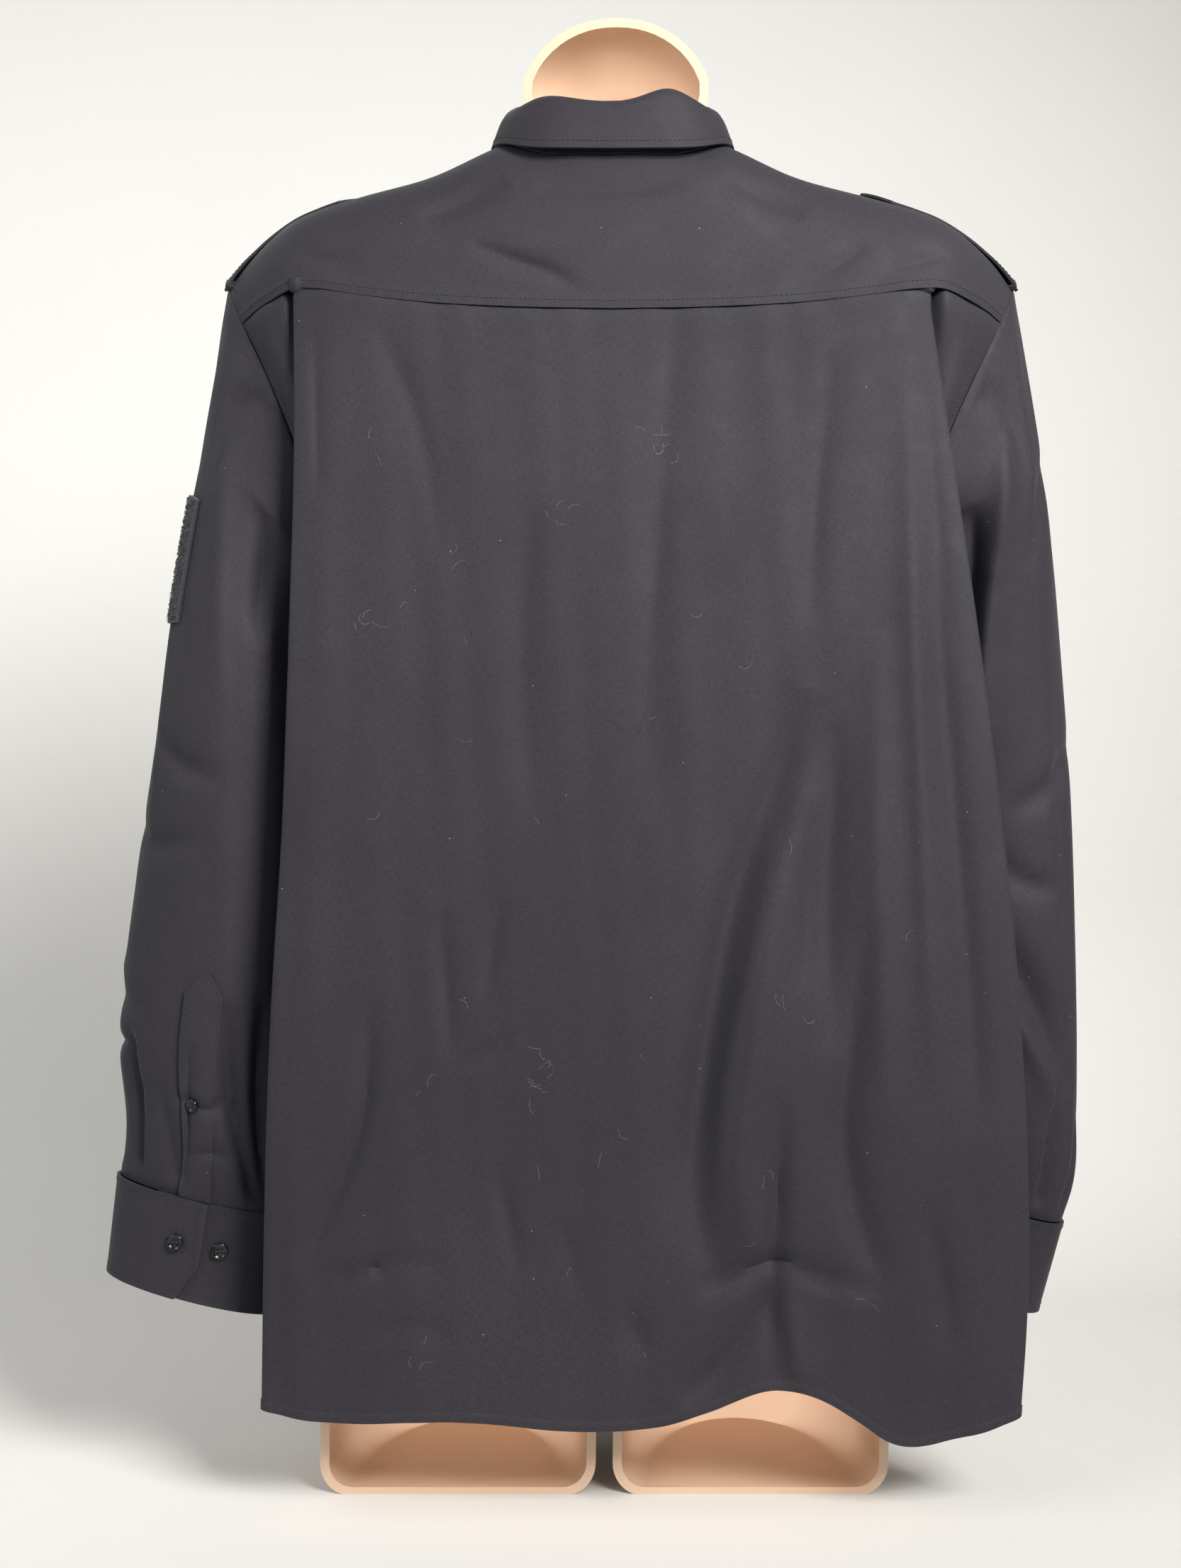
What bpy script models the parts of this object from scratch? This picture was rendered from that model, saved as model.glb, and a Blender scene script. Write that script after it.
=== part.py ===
"""A long-sleeved uniform shirt with epaulettes on a hollow-backed torso form.

Metres. +X is the wearer's left, +Y the back, +Z up, and the form stands on z = 0. Each cloth panel is a
wall lofted through rows of points worked out from the short tables below, just clear of its neighbours.
"""

import math

import bpy
import numpy as np
from mathutils import Vector

LEFT, RIGHT = 1, -1
SIDE_NAMES = {LEFT: "left", RIGHT: "right"}

# Walls and gaps
CLOTH = 0.0015
FIRM = 0.0022
SEAM = 0.0003
LIFT = 0.0008

# The model's middle above the floor, as a shift of the garment's own frame
FRAME_SHIFT = (-0.0096, 0.0299, 0.0)

# Back: plan of each half at six heights, as the pleat's edge, the pleat's root and the side
BACK_PLAN = {
    LEFT: {
        "height": (0.060, 0.250, 0.450, 0.5775, 0.680, 0.760),
        "edge_x": (0.2220, 0.2190, 0.2090, 0.2045, 0.2025, 0.2030),
        "edge_y": (0.0830, 0.0830, 0.0810, 0.0795, 0.0770, 0.0745),
        "root_x": (0.2085, 0.2010, 0.1920, 0.1875, 0.1830, 0.1800),
        "root_y": (0.0500, 0.0500, 0.0500, 0.0550, 0.0640, 0.0690),
        "side_x": (0.1950, 0.1900, 0.1850, 0.1900, 0.2060, 0.2430),
        "side_y": (0.0000, 0.0000, -0.003, 0.0000, 0.0560, 0.0420),
        "bulge": (0.0000, 0.0000, 0.0000, 0.0020, 0.0060, 0.0110),
    },
    RIGHT: {
        "height": (0.060, 0.117, 0.314, 0.461, 0.657, 0.760),
        "edge_x": (0.2560, 0.2600, 0.2560, 0.2420, 0.2160, 0.2010),
        "edge_y": (0.0830, 0.0830, 0.0825, 0.0810, 0.0780, 0.0745),
        "root_x": (0.2385, 0.2380, 0.2290, 0.2180, 0.1960, 0.1780),
        "root_y": (0.0500, 0.0500, 0.0490, 0.0520, 0.0620, 0.0690),
        "side_x": (0.2020, 0.2000, 0.1930, 0.1880, 0.2000, 0.2540),
        "side_y": (0.0000, 0.0000, -0.002, -0.003, 0.0550, 0.0420),
        "bulge": (0.0000, 0.0000, 0.0000, 0.0000, 0.0060, 0.0110),
    },
}
BACK_CENTRE = {"height": (0.060, 0.250, 0.450, 0.600, 0.760), "y": (0.090, 0.090, 0.088, 0.086, 0.083)}

# Cloth distance from the centre of the back to its stations
EDGE_AT, ROOT_AT, SIDE_AT = 0.205, 0.238, 0.300
EDGE_ROUND, FOLD_REACH = 0.0048, 0.008
BACK_COLUMNS = (
    *(0.0, 0.022, 0.044, 0.064, 0.084, 0.102, 0.120, 0.138, 0.156, 0.174, 0.188, 0.1965),
    *(0.2015, 0.206, 0.212, 0.221, 0.230, 0.236, 0.241, 0.250, 0.266, 0.283, 0.300),
)

# Back hem: height along x, the wearer's right first
BACK_HEM = {
    "x": (-0.256, -0.220, -0.171, -0.154, -0.122, -0.102, -0.058, -0.033, 0.012, 0.089, 0.200, 0.222),
    "z": (0.0640, 0.0525, 0.0495, 0.0610, 0.0780, 0.0815, 0.0670, 0.0595, 0.0555, 0.0610, 0.0635, 0.0680),
}
HEM_AT_ROOT, HEM_AT_SIDE = 0.080, 0.100

# Armhole: an upright loop, its x by height on each side
ARMHOLE_Z, ARMHOLE_HALF_HEIGHT = 0.685, 0.1075
ARMHOLE_Y, ARMHOLE_HALF_DEPTH, ARMHOLE_POWER = -0.001, 0.056, 0.8
ARMHOLE = {
    "height": (0.5775, 0.620, 0.680, 0.720, 0.763, 0.7925),
    LEFT: (0.1900, 0.1920, 0.2060, 0.2220, 0.2430, 0.2565),
    RIGHT: (0.1920, 0.1980, 0.2145, 0.2320, 0.2540, 0.2675),
}
BACK_SEAM_TURN, FRONT_SEAM_TURN = 45.0, 120.0
LOOP_STEPS = 24

# Shoulder: back yoke seam and ridge along x, and the drop to the chest in front
SHOULDER = {
    "x": (0.000, 0.070, 0.120, 0.165, 0.190, 0.203, 0.218, 0.231, 0.243, 0.2565),
    "ridge_y": (0.016, 0.015, 0.008, 0.004, 0.003, 0.003, 0.002, 0.001, 0.000, -0.001),
    "front_reach": (0.131, 0.130, 0.123, 0.119, 0.112, 0.104, 0.090, 0.076, 0.064, 0.058),
    "ridge_z": (0.8970, 0.8820, 0.8610, 0.8500, 0.8430, 0.8380, 0.8290, 0.8180, 0.8050, 0.7925),
    "seam_y": (0.0830, 0.0830, 0.0820, 0.0802, 0.0785, 0.0755, 0.0650, 0.0530, 0.0414, 0.0400),
    "seam_z": (0.7605, 0.7620, 0.7650, 0.7705, 0.7745, 0.7750, 0.7708, 0.7664, 0.7610, 0.7590),
}
SHOULDER_POWER = 0.8
SHOULDER_SEAM_END, SHOULDER_END = 0.2420, 0.2482
CHEST_Z = 0.695
RIGHT_STRETCH, STRETCH_FROM, STRETCH_TO = 0.045, 0.140, 0.240

# Neckline: an oval in plan, with its height by the angle from the centre back
NECK_HALF_WIDTH, NECK_Y, NECK_HALF_DEPTH, NECK_SQUARE = 0.072, -0.010, 0.077, 0.6
NECK_HEIGHT = {
    "angle": (0, 21, 45, 65, 90, 105, 130, 155, 180),
    "z": (0.8632, 0.8640, 0.8715, 0.8785, 0.8812, 0.8765, 0.8520, 0.8200, 0.8000),
}
NECK_CORNER, NECK_SHARE = 105.0, 0.4
YOKE_COLUMNS = (0.0, 0.08, 0.16, 0.24, 0.32, 0.4, 0.48, 0.56, 0.64, 0.72, 0.79, 0.85, 0.90, 0.95, 1.0)

# Fronts: points from the centre to near the side, a row per level from the hem up
FRONT_SHARES = (0.0, 0.2, 0.4, 0.6, 0.8)
FRONT_LEVELS = (0.0, 0.2, 0.4, 0.6, 0.8)
FRONT_ROWS = {
    "hem": {
        "x": (0.0, 0.050, 0.100, 0.148, 0.183),
        "y": (-0.150, -0.149, -0.142, -0.118, -0.068),
        "z": (0.055, 0.056, 0.060, 0.068, 0.082),
    },
    "hip": {
        "x": (0.0, 0.050, 0.099, 0.143, 0.176),
        "y": (-0.146, -0.145, -0.136, -0.111, -0.064),
        "z": (0.287, 0.289, 0.295, 0.306, 0.322),
    },
    "waist": {
        "x": (0.0, 0.050, 0.098, 0.142, 0.175),
        "y": (-0.146, -0.145, -0.136, -0.112, -0.070),
        "z": (0.520, 0.522, 0.530, 0.545, 0.563),
    },
    "chest": {
        "x": (0.0, 0.050, 0.100, 0.145, 0.178),
        "y": (-0.151, -0.150, -0.141, -0.122, -0.088),
        "z": (0.620, 0.620, 0.620, 0.620, 0.618),
    },
    "breast": {
        "x": (0.0, 0.045, 0.090, 0.135, 0.180),
        "y": (-0.138, -0.135, -0.124, -0.110, -0.092),
        "z": (0.715, 0.720, 0.735, 0.740, 0.728),
    },
}
FRONT_COLUMNS = (0.13, 0.20, 0.27, 0.34, 0.4, 0.48, 0.56, 0.64, 0.72, 0.79, 0.85, 0.90, 0.95, 1.0)
CENTRE_STEP = 0.25
BAND_HALF, BAND_RAISED, BAND_CLEAR, UNDER_BAND = 0.0175, 0.001, 0.002, 0.0020

# Rows of a panel: the share of them below the underarm, and the height they cover at the middle
LOW_SHARE, LOW_RISE = 0.4, 0.62
LOW_ROWS = 10
BACK_STEPS = round(LOOP_STEPS * (BACK_SEAM_TURN + 90) / 360)
YOKE_STEPS = round(LOOP_STEPS * (FRONT_SEAM_TURN - BACK_SEAM_TURN) / 360)
FRONT_STEPS = LOOP_STEPS - BACK_STEPS - YOKE_STEPS

# Sleeves: the armhole's loop, then tilted oval sections down to the cuff, a column per measure
SLEEVES = {
    LEFT: {
        "along": (0.231, 0.335, 0.438, 0.505, 0.557, 0.592),
        "outer_x": (0.2920, 0.3060, 0.3200, 0.3255, 0.3215, 0.3246),
        "outer_z": (0.5640, 0.4610, 0.3580, 0.2910, 0.2395, 0.2050),
        "half_width": (0.0475, 0.0525, 0.0565, 0.0575, 0.0560, 0.0585),
        "half_depth": (0.0500, 0.0430, 0.0390, 0.0370, 0.0340, 0.0275),
        "y": (0.010, 0.017, 0.021, 0.022, 0.022, 0.022),
        "tilt": (6.0, 10.0, 12.0, 13.0, 13.5, 13.5),
        "turn": (0.0, 0.0, 0.0, 0.0, 0.0, 0.0),
    },
    RIGHT: {
        "along": (0.172, 0.252, 0.332, 0.439, 0.546, 0.594, 0.629),
        "outer_x": (0.2957, 0.3030, 0.3090, 0.3125, 0.3128, 0.3112, 0.3020),
        "outer_z": (0.6200, 0.5410, 0.4610, 0.3540, 0.2468, 0.1986, 0.1670),
        "half_width": (0.0470, 0.0500, 0.0525, 0.0550, 0.0560, 0.0540, 0.0500),
        "half_depth": (0.0500, 0.0470, 0.0430, 0.0400, 0.0370, 0.0340, 0.0275),
        "y": (-0.006, -0.012, -0.015, -0.018, -0.020, -0.021, -0.022),
        "tilt": (5.0, 7.0, 8.0, 4.0, -4.0, -10.0, -17.0),
        "turn": (0.0, 5.0, 8.0, 12.0, 18.0, 22.0, 25.0),
    },
}
CUFF_END = {
    LEFT: {
        "outer_x": 0.3317,
        "outer_z": 0.1415,
        "half_width": 0.0560,
        "half_depth": 0.0275,
        "y": 0.022,
        "tilt": 15.0,
        "turn": 0.0,
    },
    RIGHT: {
        "outer_x": 0.2855,
        "outer_z": 0.1075,
        "half_width": 0.0480,
        "half_depth": 0.0275,
        "y": -0.022,
        "tilt": -17.0,
        "turn": 25.0,
    },
}
LAP_FROM, LAP_TO, LAP_RAISED, LAP_RISE = 62.0, 456.0, 0.0036, (335.0, 75.0)
CUFF_COLUMNS, CUFF_GROWN, CUFF_MITRE = 34, 0.0008, 12.0
METRE_PER_DEGREE = 0.00095

# Collar: the stand's top edge and the fall's lower edge by the angle from the centre back
STAND_TOP = {
    "angle": (0, 22, 60, 90, 130, 155, 180),
    "z": (0.8930, 0.8985, 0.9035, 0.9060, 0.8835, 0.8520, 0.8320),
    "half_width": 0.0630, "y": -0.0085, "half_depth": 0.071,
}
FALL_EDGE = {
    "angle": (0, 30, 60, 90, 120, 150, 172),
    "x": (0.000, 0.048, 0.0735, 0.0815, 0.0820, 0.068, 0.050),
    "y": (0.087, 0.0810, 0.0500, 0.0080, -0.050, -0.096, -0.130),
    "z": (0.867, 0.8690, 0.8785, 0.8830, 0.8705, 0.812, 0.762),
}
STAND_GAP, FALL_END = 0.0013, 171.0
FALL_ROLL = ((-0.0018, 0.0029), (0.0010, 0.0038), (0.0044, 0.0022))
FALL_REST = ((0.38, 0.0042), (0.70, 0.0024), (1.0, 0.0))
STAND_LAP, STAND_LAP_RAISED, STAND_LAP_RISE = 187.0, 0.0036, (140.0, 32.0)
COLLAR_COLUMNS = 30

# Creases on the back: a path of x and z, how far it sinks (or rises, below 0) and its half-width
BACK_CREASES = {
    "deep_pull": {
        "x": (-0.122, -0.092, -0.073, -0.058, -0.050, -0.068),
        "z": (0.520, 0.436, 0.373, 0.289, 0.205, 0.139),
        "sinks": 0.0090,
        "half": 0.016,
    },
    "deep_ridge": {
        "x": (-0.118, -0.100, -0.088, -0.078, -0.090),
        "z": (0.470, 0.373, 0.300, 0.220, 0.150),
        "sinks": -0.0050,
        "half": 0.014,
    },
    "outer_pull": {
        "x": (-0.161, -0.149, -0.144, -0.154, -0.171),
        "z": (0.380, 0.299, 0.240, 0.186, 0.142),
        "sinks": 0.0060,
        "half": 0.013,
    },
    "hem_pull": {
        "x": (-0.080, -0.100, -0.102),
        "z": (0.170, 0.125, 0.083),
        "sinks": 0.0060,
        "half": 0.016,
    },
    "right_valley": {
        "x": (-0.200, -0.205, -0.213, -0.225, -0.230),
        "z": (0.731, 0.559, 0.461, 0.314, 0.240),
        "sinks": 0.0040,
        "half": 0.012,
    },
    "low_slant": {
        "x": (-0.038, -0.060, -0.085),
        "z": (0.068, 0.088, 0.104),
        "sinks": 0.0030,
        "half": 0.011,
    },
    "left_slant": {
        "x": (0.150, 0.160, 0.180, 0.200),
        "z": (0.320, 0.250, 0.190, 0.150),
        "sinks": 0.0030,
        "half": 0.012,
    },
}

# Creases on the sleeves: x is the way round from the outer side, z the way down from the shoulder
SLEEVE_CREASES = {
    LEFT: {
        "pressed_line": {
            "x": (0.048, 0.060, 0.072, 0.086),
            "z": (0.060, 0.130, 0.200, 0.290),
            "sinks": -0.0030,
            "half": 0.010,
        },
        "inner_valley": {
            "x": (0.086, 0.100, 0.108),
            "z": (0.100, 0.160, 0.240),
            "sinks": 0.0070,
            "half": 0.014,
        },
        "elbow_pinch": {
            "x": (-0.030, 0.000, 0.030, 0.052),
            "z": (0.455, 0.470, 0.478, 0.470),
            "sinks": 0.0050,
            "half": 0.012,
        },
        "cuff_pleat": {
            "x": (0.010, 0.022, 0.032),
            "z": (0.500, 0.540, 0.588),
            "sinks": 0.0050,
            "half": 0.009,
        },
        "front_drag": {
            "x": (-0.085, -0.070, -0.060),
            "z": (0.070, 0.160, 0.260),
            "sinks": 0.0060,
            "half": 0.016,
        },
    },
    RIGHT: {
        "upper_ridge": {
            "x": (0.060, 0.078, 0.090),
            "z": (0.070, 0.140, 0.200),
            "sinks": -0.0040,
            "half": 0.010,
        },
        "hole": {
            "x": (0.100, 0.106, 0.108),
            "z": (0.120, 0.200, 0.260),
            "sinks": 0.0080,
            "half": 0.013,
        },
        "elbow_slant": {
            "x": (0.080, 0.050, 0.018),
            "z": (0.430, 0.480, 0.540),
            "sinks": 0.0060,
            "half": 0.012,
        },
        "cuff_pleat": {
            "x": (0.020, 0.032, 0.040),
            "z": (0.540, 0.585, 0.622),
            "sinks": 0.0050,
            "half": 0.009,
        },
        "front_drag": {
            "x": (-0.080, -0.070, -0.055),
            "z": (0.080, 0.170, 0.270),
            "sinks": 0.0060,
            "half": 0.016,
        },
    },
}

# Tower plackets above the cuffs: middle and half-width round the sleeve in degrees, from tip to cuff
PLACKET_LENGTH, PLACKET_TIP = 0.149, 0.014
PLACKET_MIDDLE, PLACKET_HALF = (95.0, 87.0), (12.5, 10.0)

# Epaulettes lie along the ridge from the sleeve seam to a pointed tip, and the patch on the left sleeve
EPAULETTE_X, EPAULETTE_HALF, EPAULETTE_POINT = (0.2525, 0.160), 0.024, 0.016
EPAULETTE_END_LIFT, EPAULETTE_TIP_LIFT = 0.0040, {LEFT: 0.0008, RIGHT: 0.0045}
PATCH_ROUND, PATCH_ALONG, PATCH_WALL = (-48.0, 38.0), (0.141, 0.228), 0.002

# Torso form: the outline's half-width, the shell's depth and its rim, a row per height
FORM_WALL, FORM_BEAD, FORM_BEAD_REACH = 0.003, 0.003, 0.004
FORM_ROWS = (
    {"height": 0.020, "half_width": 0.1830, "depth": 0.145, "rim_y": 0.045},
    {"height": 0.100, "half_width": 0.1830, "depth": 0.147, "rim_y": 0.045},
    {"height": 0.200, "half_width": 0.1830, "depth": 0.150, "rim_y": 0.045},
    {"height": 0.280, "half_width": 0.1810, "depth": 0.152, "rim_y": 0.045},
    {"height": 0.380, "half_width": 0.1710, "depth": 0.150, "rim_y": 0.045},
    {"height": 0.470, "half_width": 0.1650, "depth": 0.150, "rim_y": 0.045},
    {"height": 0.560, "half_width": 0.1670, "depth": 0.158, "rim_y": 0.045},
    {"height": 0.640, "half_width": 0.1740, "depth": 0.168, "rim_y": 0.045},
    {"height": 0.700, "half_width": 0.1800, "depth": 0.162, "rim_y": 0.045},
    {"height": 0.760, "half_width": 0.1840, "depth": 0.135, "rim_y": 0.043},
    {"height": 0.800, "half_width": 0.1760, "depth": 0.112, "rim_y": 0.040},
    {"height": 0.825, "half_width": 0.1550, "depth": 0.100, "rim_y": 0.037},
    {"height": 0.842, "half_width": 0.1250, "depth": 0.094, "rim_y": 0.034},
    {"height": 0.856, "half_width": 0.0900, "depth": 0.089, "rim_y": 0.030},
    {"height": 0.872, "half_width": 0.0600, "depth": 0.086, "rim_y": 0.027},
    {"height": 0.900, "half_width": 0.0545, "depth": 0.084, "rim_y": 0.024},
)
FORM_OUTLINE = {key: [row[key] for row in FORM_ROWS] for key in FORM_ROWS[0]}
FORM_NECK_Z, FORM_TOP_Z, FORM_TOP_HALF = 0.900, 0.9585, 0.009
FORM_LEAN = (0.006, -0.0088)
FORM_COLUMNS = (0.0, 0.025, 0.10, 0.22, 0.36, 0.50, 0.66, 0.82, 0.95, 1.0)
FORM_LEVELS = (
    *(0.020, 0.065, 0.110, 0.135, 0.160, 0.190, 0.240, 0.300, 0.370, 0.450, 0.530, 0.600, 0.660),
    *(0.710, 0.755, 0.785, 0.808, 0.826, 0.842, 0.856, 0.872, 0.900),
)
FORM_TOP_TURNS = (28.0, 52.0, 72.0, 90.0)
SLIT_HALF, CROTCH_Z, FORK_Z = 0.0070, 0.110, 0.190
FOOT_CORNER, FLOOR_INSET, FLOOR_SHARES = 0.020, 0.009, (0.0, 0.35, 0.7)

BUTTON_RADIUS, BUTTON_SMALL, BUTTON_THICK = 0.0055, 0.0045, 0.0026
CUFF_BUTTONS = {"over": 440.0, "spare": 108.0}
PLACKET_BUTTON, PLACKET_LIFT = 0.57, 0.0012
NECK_CORNER_X = NECK_HALF_WIDTH * math.sin(math.radians(NECK_CORNER))
SLEEVE_ROWS = (0.0, 0.055, 0.12, 0.20, 0.28, 0.36, 0.45, 0.54, 0.63, 0.71, 0.78, 0.84, 0.90, 0.95, 1.0)

FINISHES = {
    "shirt_cloth": ((0.030, 0.030, 0.036), 0.85),
    "loop_tape": ((0.022, 0.023, 0.030), 0.95),
    "button_plastic": ((0.010, 0.010, 0.012), 0.35),
    "form_plastic": ((0.72, 0.45, 0.30), 0.45),
}
BAND_BUTTONS = (0.745, 0.655, 0.565, 0.475, 0.385, 0.295, 0.205)


def smooth(at, values, x):
    """Cubic curve through `values` at the positions `at`, sloped as between each value's neighbours."""
    at, values, x = np.asarray(at, float), np.asarray(values, float), np.asarray(x, float)
    slopes = np.gradient(values, at, axis=0)
    x = np.clip(x, at[0], at[-1])
    i = np.clip(np.searchsorted(at, x, side="right") - 1, 0, len(at) - 2)
    step = at[i + 1] - at[i]
    t = (x - at[i]) / step
    if values.ndim > 1:
        step, t = (a.reshape(a.shape + (1,) * (values.ndim - 1)) for a in (step, t))
    start = (1 + 2 * t) * (1 - t) ** 2 * values[i] + t * (1 - t) ** 2 * step * slopes[i]
    end = t * t * (3 - 2 * t) * values[i + 1] + t * t * (t - 1) * step * slopes[i + 1]
    return start + end


def mix(a, b, share):
    """The value a `share` of the way from `a` to `b`."""
    return a + (b - a) * share


def unit(vectors):
    """Vectors of length one."""
    return vectors / np.maximum(np.linalg.norm(vectors, axis=-1, keepdims=True), 1e-12)


def soft_step(x):
    """0 below 0 and 1 above 1, with a smooth rise between."""
    x = np.clip(x, 0, 1)
    return x * x * (3 - 2 * x)


def grid_normals(grid, ring=False):
    """Unit normals of rows of points, from the steps to each point's neighbours."""
    around = np.roll(grid, -1, 1) - np.roll(grid, 1, 1) if ring else np.gradient(grid, axis=1)
    return unit(np.cross(around, np.gradient(grid, axis=0)))


def make_material(name, colour, roughness, metallic=0.0):
    """A plain Principled finish."""
    material = bpy.data.materials.new(name)
    material.use_nodes = True
    shader = material.node_tree.nodes["Principled BSDF"]
    shader.inputs["Base Color"].default_value = (*colour, 1.0)
    shader.inputs["Roughness"].default_value = roughness
    shader.inputs["Metallic"].default_value = metallic
    material.diffuse_color = (*colour, 1.0)
    return material


def add_mesh(name, points, faces, material, frame, collection):
    """An object of its own from points and faces, under the model's frame."""
    mesh = bpy.data.meshes.new(name)
    mesh.from_pydata([tuple(p) for p in points], [], [tuple(f) for f in faces])
    mesh.materials.append(material)
    mesh.shade_smooth()
    mesh.update()
    body = bpy.data.objects.new(name, mesh)
    body.parent = frame
    collection.objects.link(body)
    return body


def wall_faces(grid, ring=False, skip=None):
    """Triangles of a closed wall over a grid: its outer side, its inner side and the rims between them.

    Each quad is cut along its shorter diagonal.
    """
    rows, columns = grid.shape[:2]
    across = np.arange(columns if ring else columns - 1)
    row, column = np.meshgrid(np.arange(rows - 1), across, indexing="ij")
    a = row * columns + column
    b = row * columns + (column + 1) % columns
    quads = np.stack([a, b, b + columns, a + columns], -1)
    if skip is not None:
        quads = quads[~skip]
    quads = quads.reshape(-1, 4)
    corners = grid.reshape(-1, 3)[quads]
    one, other = (np.linalg.norm(corners[:, k] - corners[:, k + 2], axis=1) for k in (0, 1))
    quads = np.where((one <= other)[:, None], quads, np.roll(quads, -1, 1))
    outer = np.concatenate([quads[:, [0, 1, 2]], quads[:, [0, 2, 3]]])
    inner = outer[:, ::-1] + rows * columns
    edges = {(int(tri[k - 1]), int(tri[k])) for tri in outer for k in range(3)}
    rims = []
    for p, q in sorted(edges):
        if (q, p) not in edges:
            rims += [(q, p, p + rows * columns), (q, p + rows * columns, q + rows * columns)]
    return [*outer.tolist(), *inner.tolist(), *rims]


def cloth_wall(name, outer, thickness, material, place, ring=False, seams=None):
    """A wall under rows of outer points that run upward and, seen from above, anticlockwise.

    `seams` gives the wall's own direction along an edge that it shares with another panel.
    """
    across = grid_normals(outer, ring)
    whole = slice(None)
    places = {"bottom": (0, whole), "top": (-1, whole), "start": (whole, 0), "end": (whole, -1)}
    for edge, direction in (seams or {}).items():
        across[places[edge]] = unit(direction)
    inner = outer - across * thickness
    points = np.concatenate([outer.reshape(-1, 3), inner.reshape(-1, 3)])
    return add_mesh(name, points, wall_faces(outer, ring), material, *place)


def crease_depth(x, z, creases):
    """How far a table of creases sinks a surface at (x, z), each one fading out at both its ends."""
    total = np.zeros(np.broadcast(x, z).shape)
    for crease in creases.values():
        path = np.stack([crease["x"], crease["z"]], -1)
        route = smooth(range(len(path)), path, np.linspace(0, len(path) - 1, 40))
        fade = np.sin(np.linspace(0, math.pi, 40)) ** 0.7
        away = np.hypot(x[..., None] - route[:, 0], z[..., None] - route[:, 1])
        nearest = away.argmin(-1)
        total += crease["sinks"] * fade[nearest] * np.exp(-((away.min(-1) / crease["half"]) ** 2))
    return total


def armhole_loop(side, turn):
    """The armhole's loop: turn 90 is the shoulder's end, 0 the back, -90 the underarm and 180 the front."""
    angle = np.radians(turn)
    z = ARMHOLE_Z + ARMHOLE_HALF_HEIGHT * np.sin(angle)
    reach = np.sign(np.cos(angle)) * np.abs(np.cos(angle)) ** ARMHOLE_POWER
    y = ARMHOLE_Y + ARMHOLE_HALF_DEPTH * reach
    return np.stack([side * smooth(ARMHOLE["height"], ARMHOLE[side], z), y, z], -1)


def armhole_across(side, turn, sleeve=False):
    """The wall's direction at the armhole, shared by body and sleeve but for the underarm."""
    angle = np.radians(np.asarray(turn, float))
    out = 0.5 + (1.5 * np.minimum(np.sin(angle), 0) if sleeve else 0 * angle)
    up = 0.85 * np.maximum(np.sin(angle), 0)
    return unit(np.stack([side * out, 0.9 * np.cos(angle), up], -1))


def side_edge(side, share, last_turn):
    """A body panel's side edge from the hem up: the side seam, then the armhole round to `last_turn`."""
    plan = BACK_PLAN[side]
    low_top = ARMHOLE["height"][0]
    low = np.clip(share / LOW_SHARE, 0, 1)
    height = mix(HEM_AT_SIDE, low_top, low)
    seam_x = smooth(plan["height"], plan["side_x"], height)
    seam_y = mix(0.0, ARMHOLE_Y, low)
    side_x = mix(seam_x, ARMHOLE[side][0], soft_step((height - 0.45) / (low_top - 0.45)))
    seam = np.stack([side * side_x, seam_y, height], -1)
    loop = armhole_loop(side, mix(-90.0, last_turn, np.clip((share - LOW_SHARE) / (1 - LOW_SHARE), 0, 1)))
    return np.where((share < LOW_SHARE)[..., None], seam, loop)


def panel_rows(seam_rows):
    """Row shares of a body panel: even below the underarm, then one for each step of the armhole."""
    low = np.linspace(0, LOW_SHARE, LOW_ROWS + 1)
    return np.concatenate([low, np.linspace(LOW_SHARE, 1, seam_rows + 1)[1:]])


def seam_height(side, x):
    """Height of the yoke's back seam at signed x, along the yoke's own straight steps."""
    columns = np.array(YOKE_COLUMNS) * SHOULDER_SEAM_END
    return np.interp(np.abs(x), np.abs(shoulder_x(side, columns)), shoulder_columns(columns)["seam_z"])


def smooth_stations(at, stations, along):
    """A curve through stations that are grids themselves, taken at one place `along` for each column."""
    slopes = np.gradient(stations, at, axis=0)
    at = np.asarray(at)
    i = np.clip(np.searchsorted(at, along, side="right") - 1, 0, len(at) - 2)
    step = (at[i + 1] - at[i])[:, None, None]
    t = ((along - at[i])[:, None, None]) / step
    column = np.arange(len(along))
    low, high = stations[i, :, column], stations[i + 1, :, column]
    leaving, arriving = step * slopes[i, :, column], step * slopes[i + 1, :, column]
    start = (1 + 2 * t) * (1 - t) ** 2 * low + t * (1 - t) ** 2 * leaving
    end = t * t * (3 - 2 * t) * high + t * t * (t - 1) * arriving
    return np.swapaxes(start + end, 0, 1)


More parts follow.
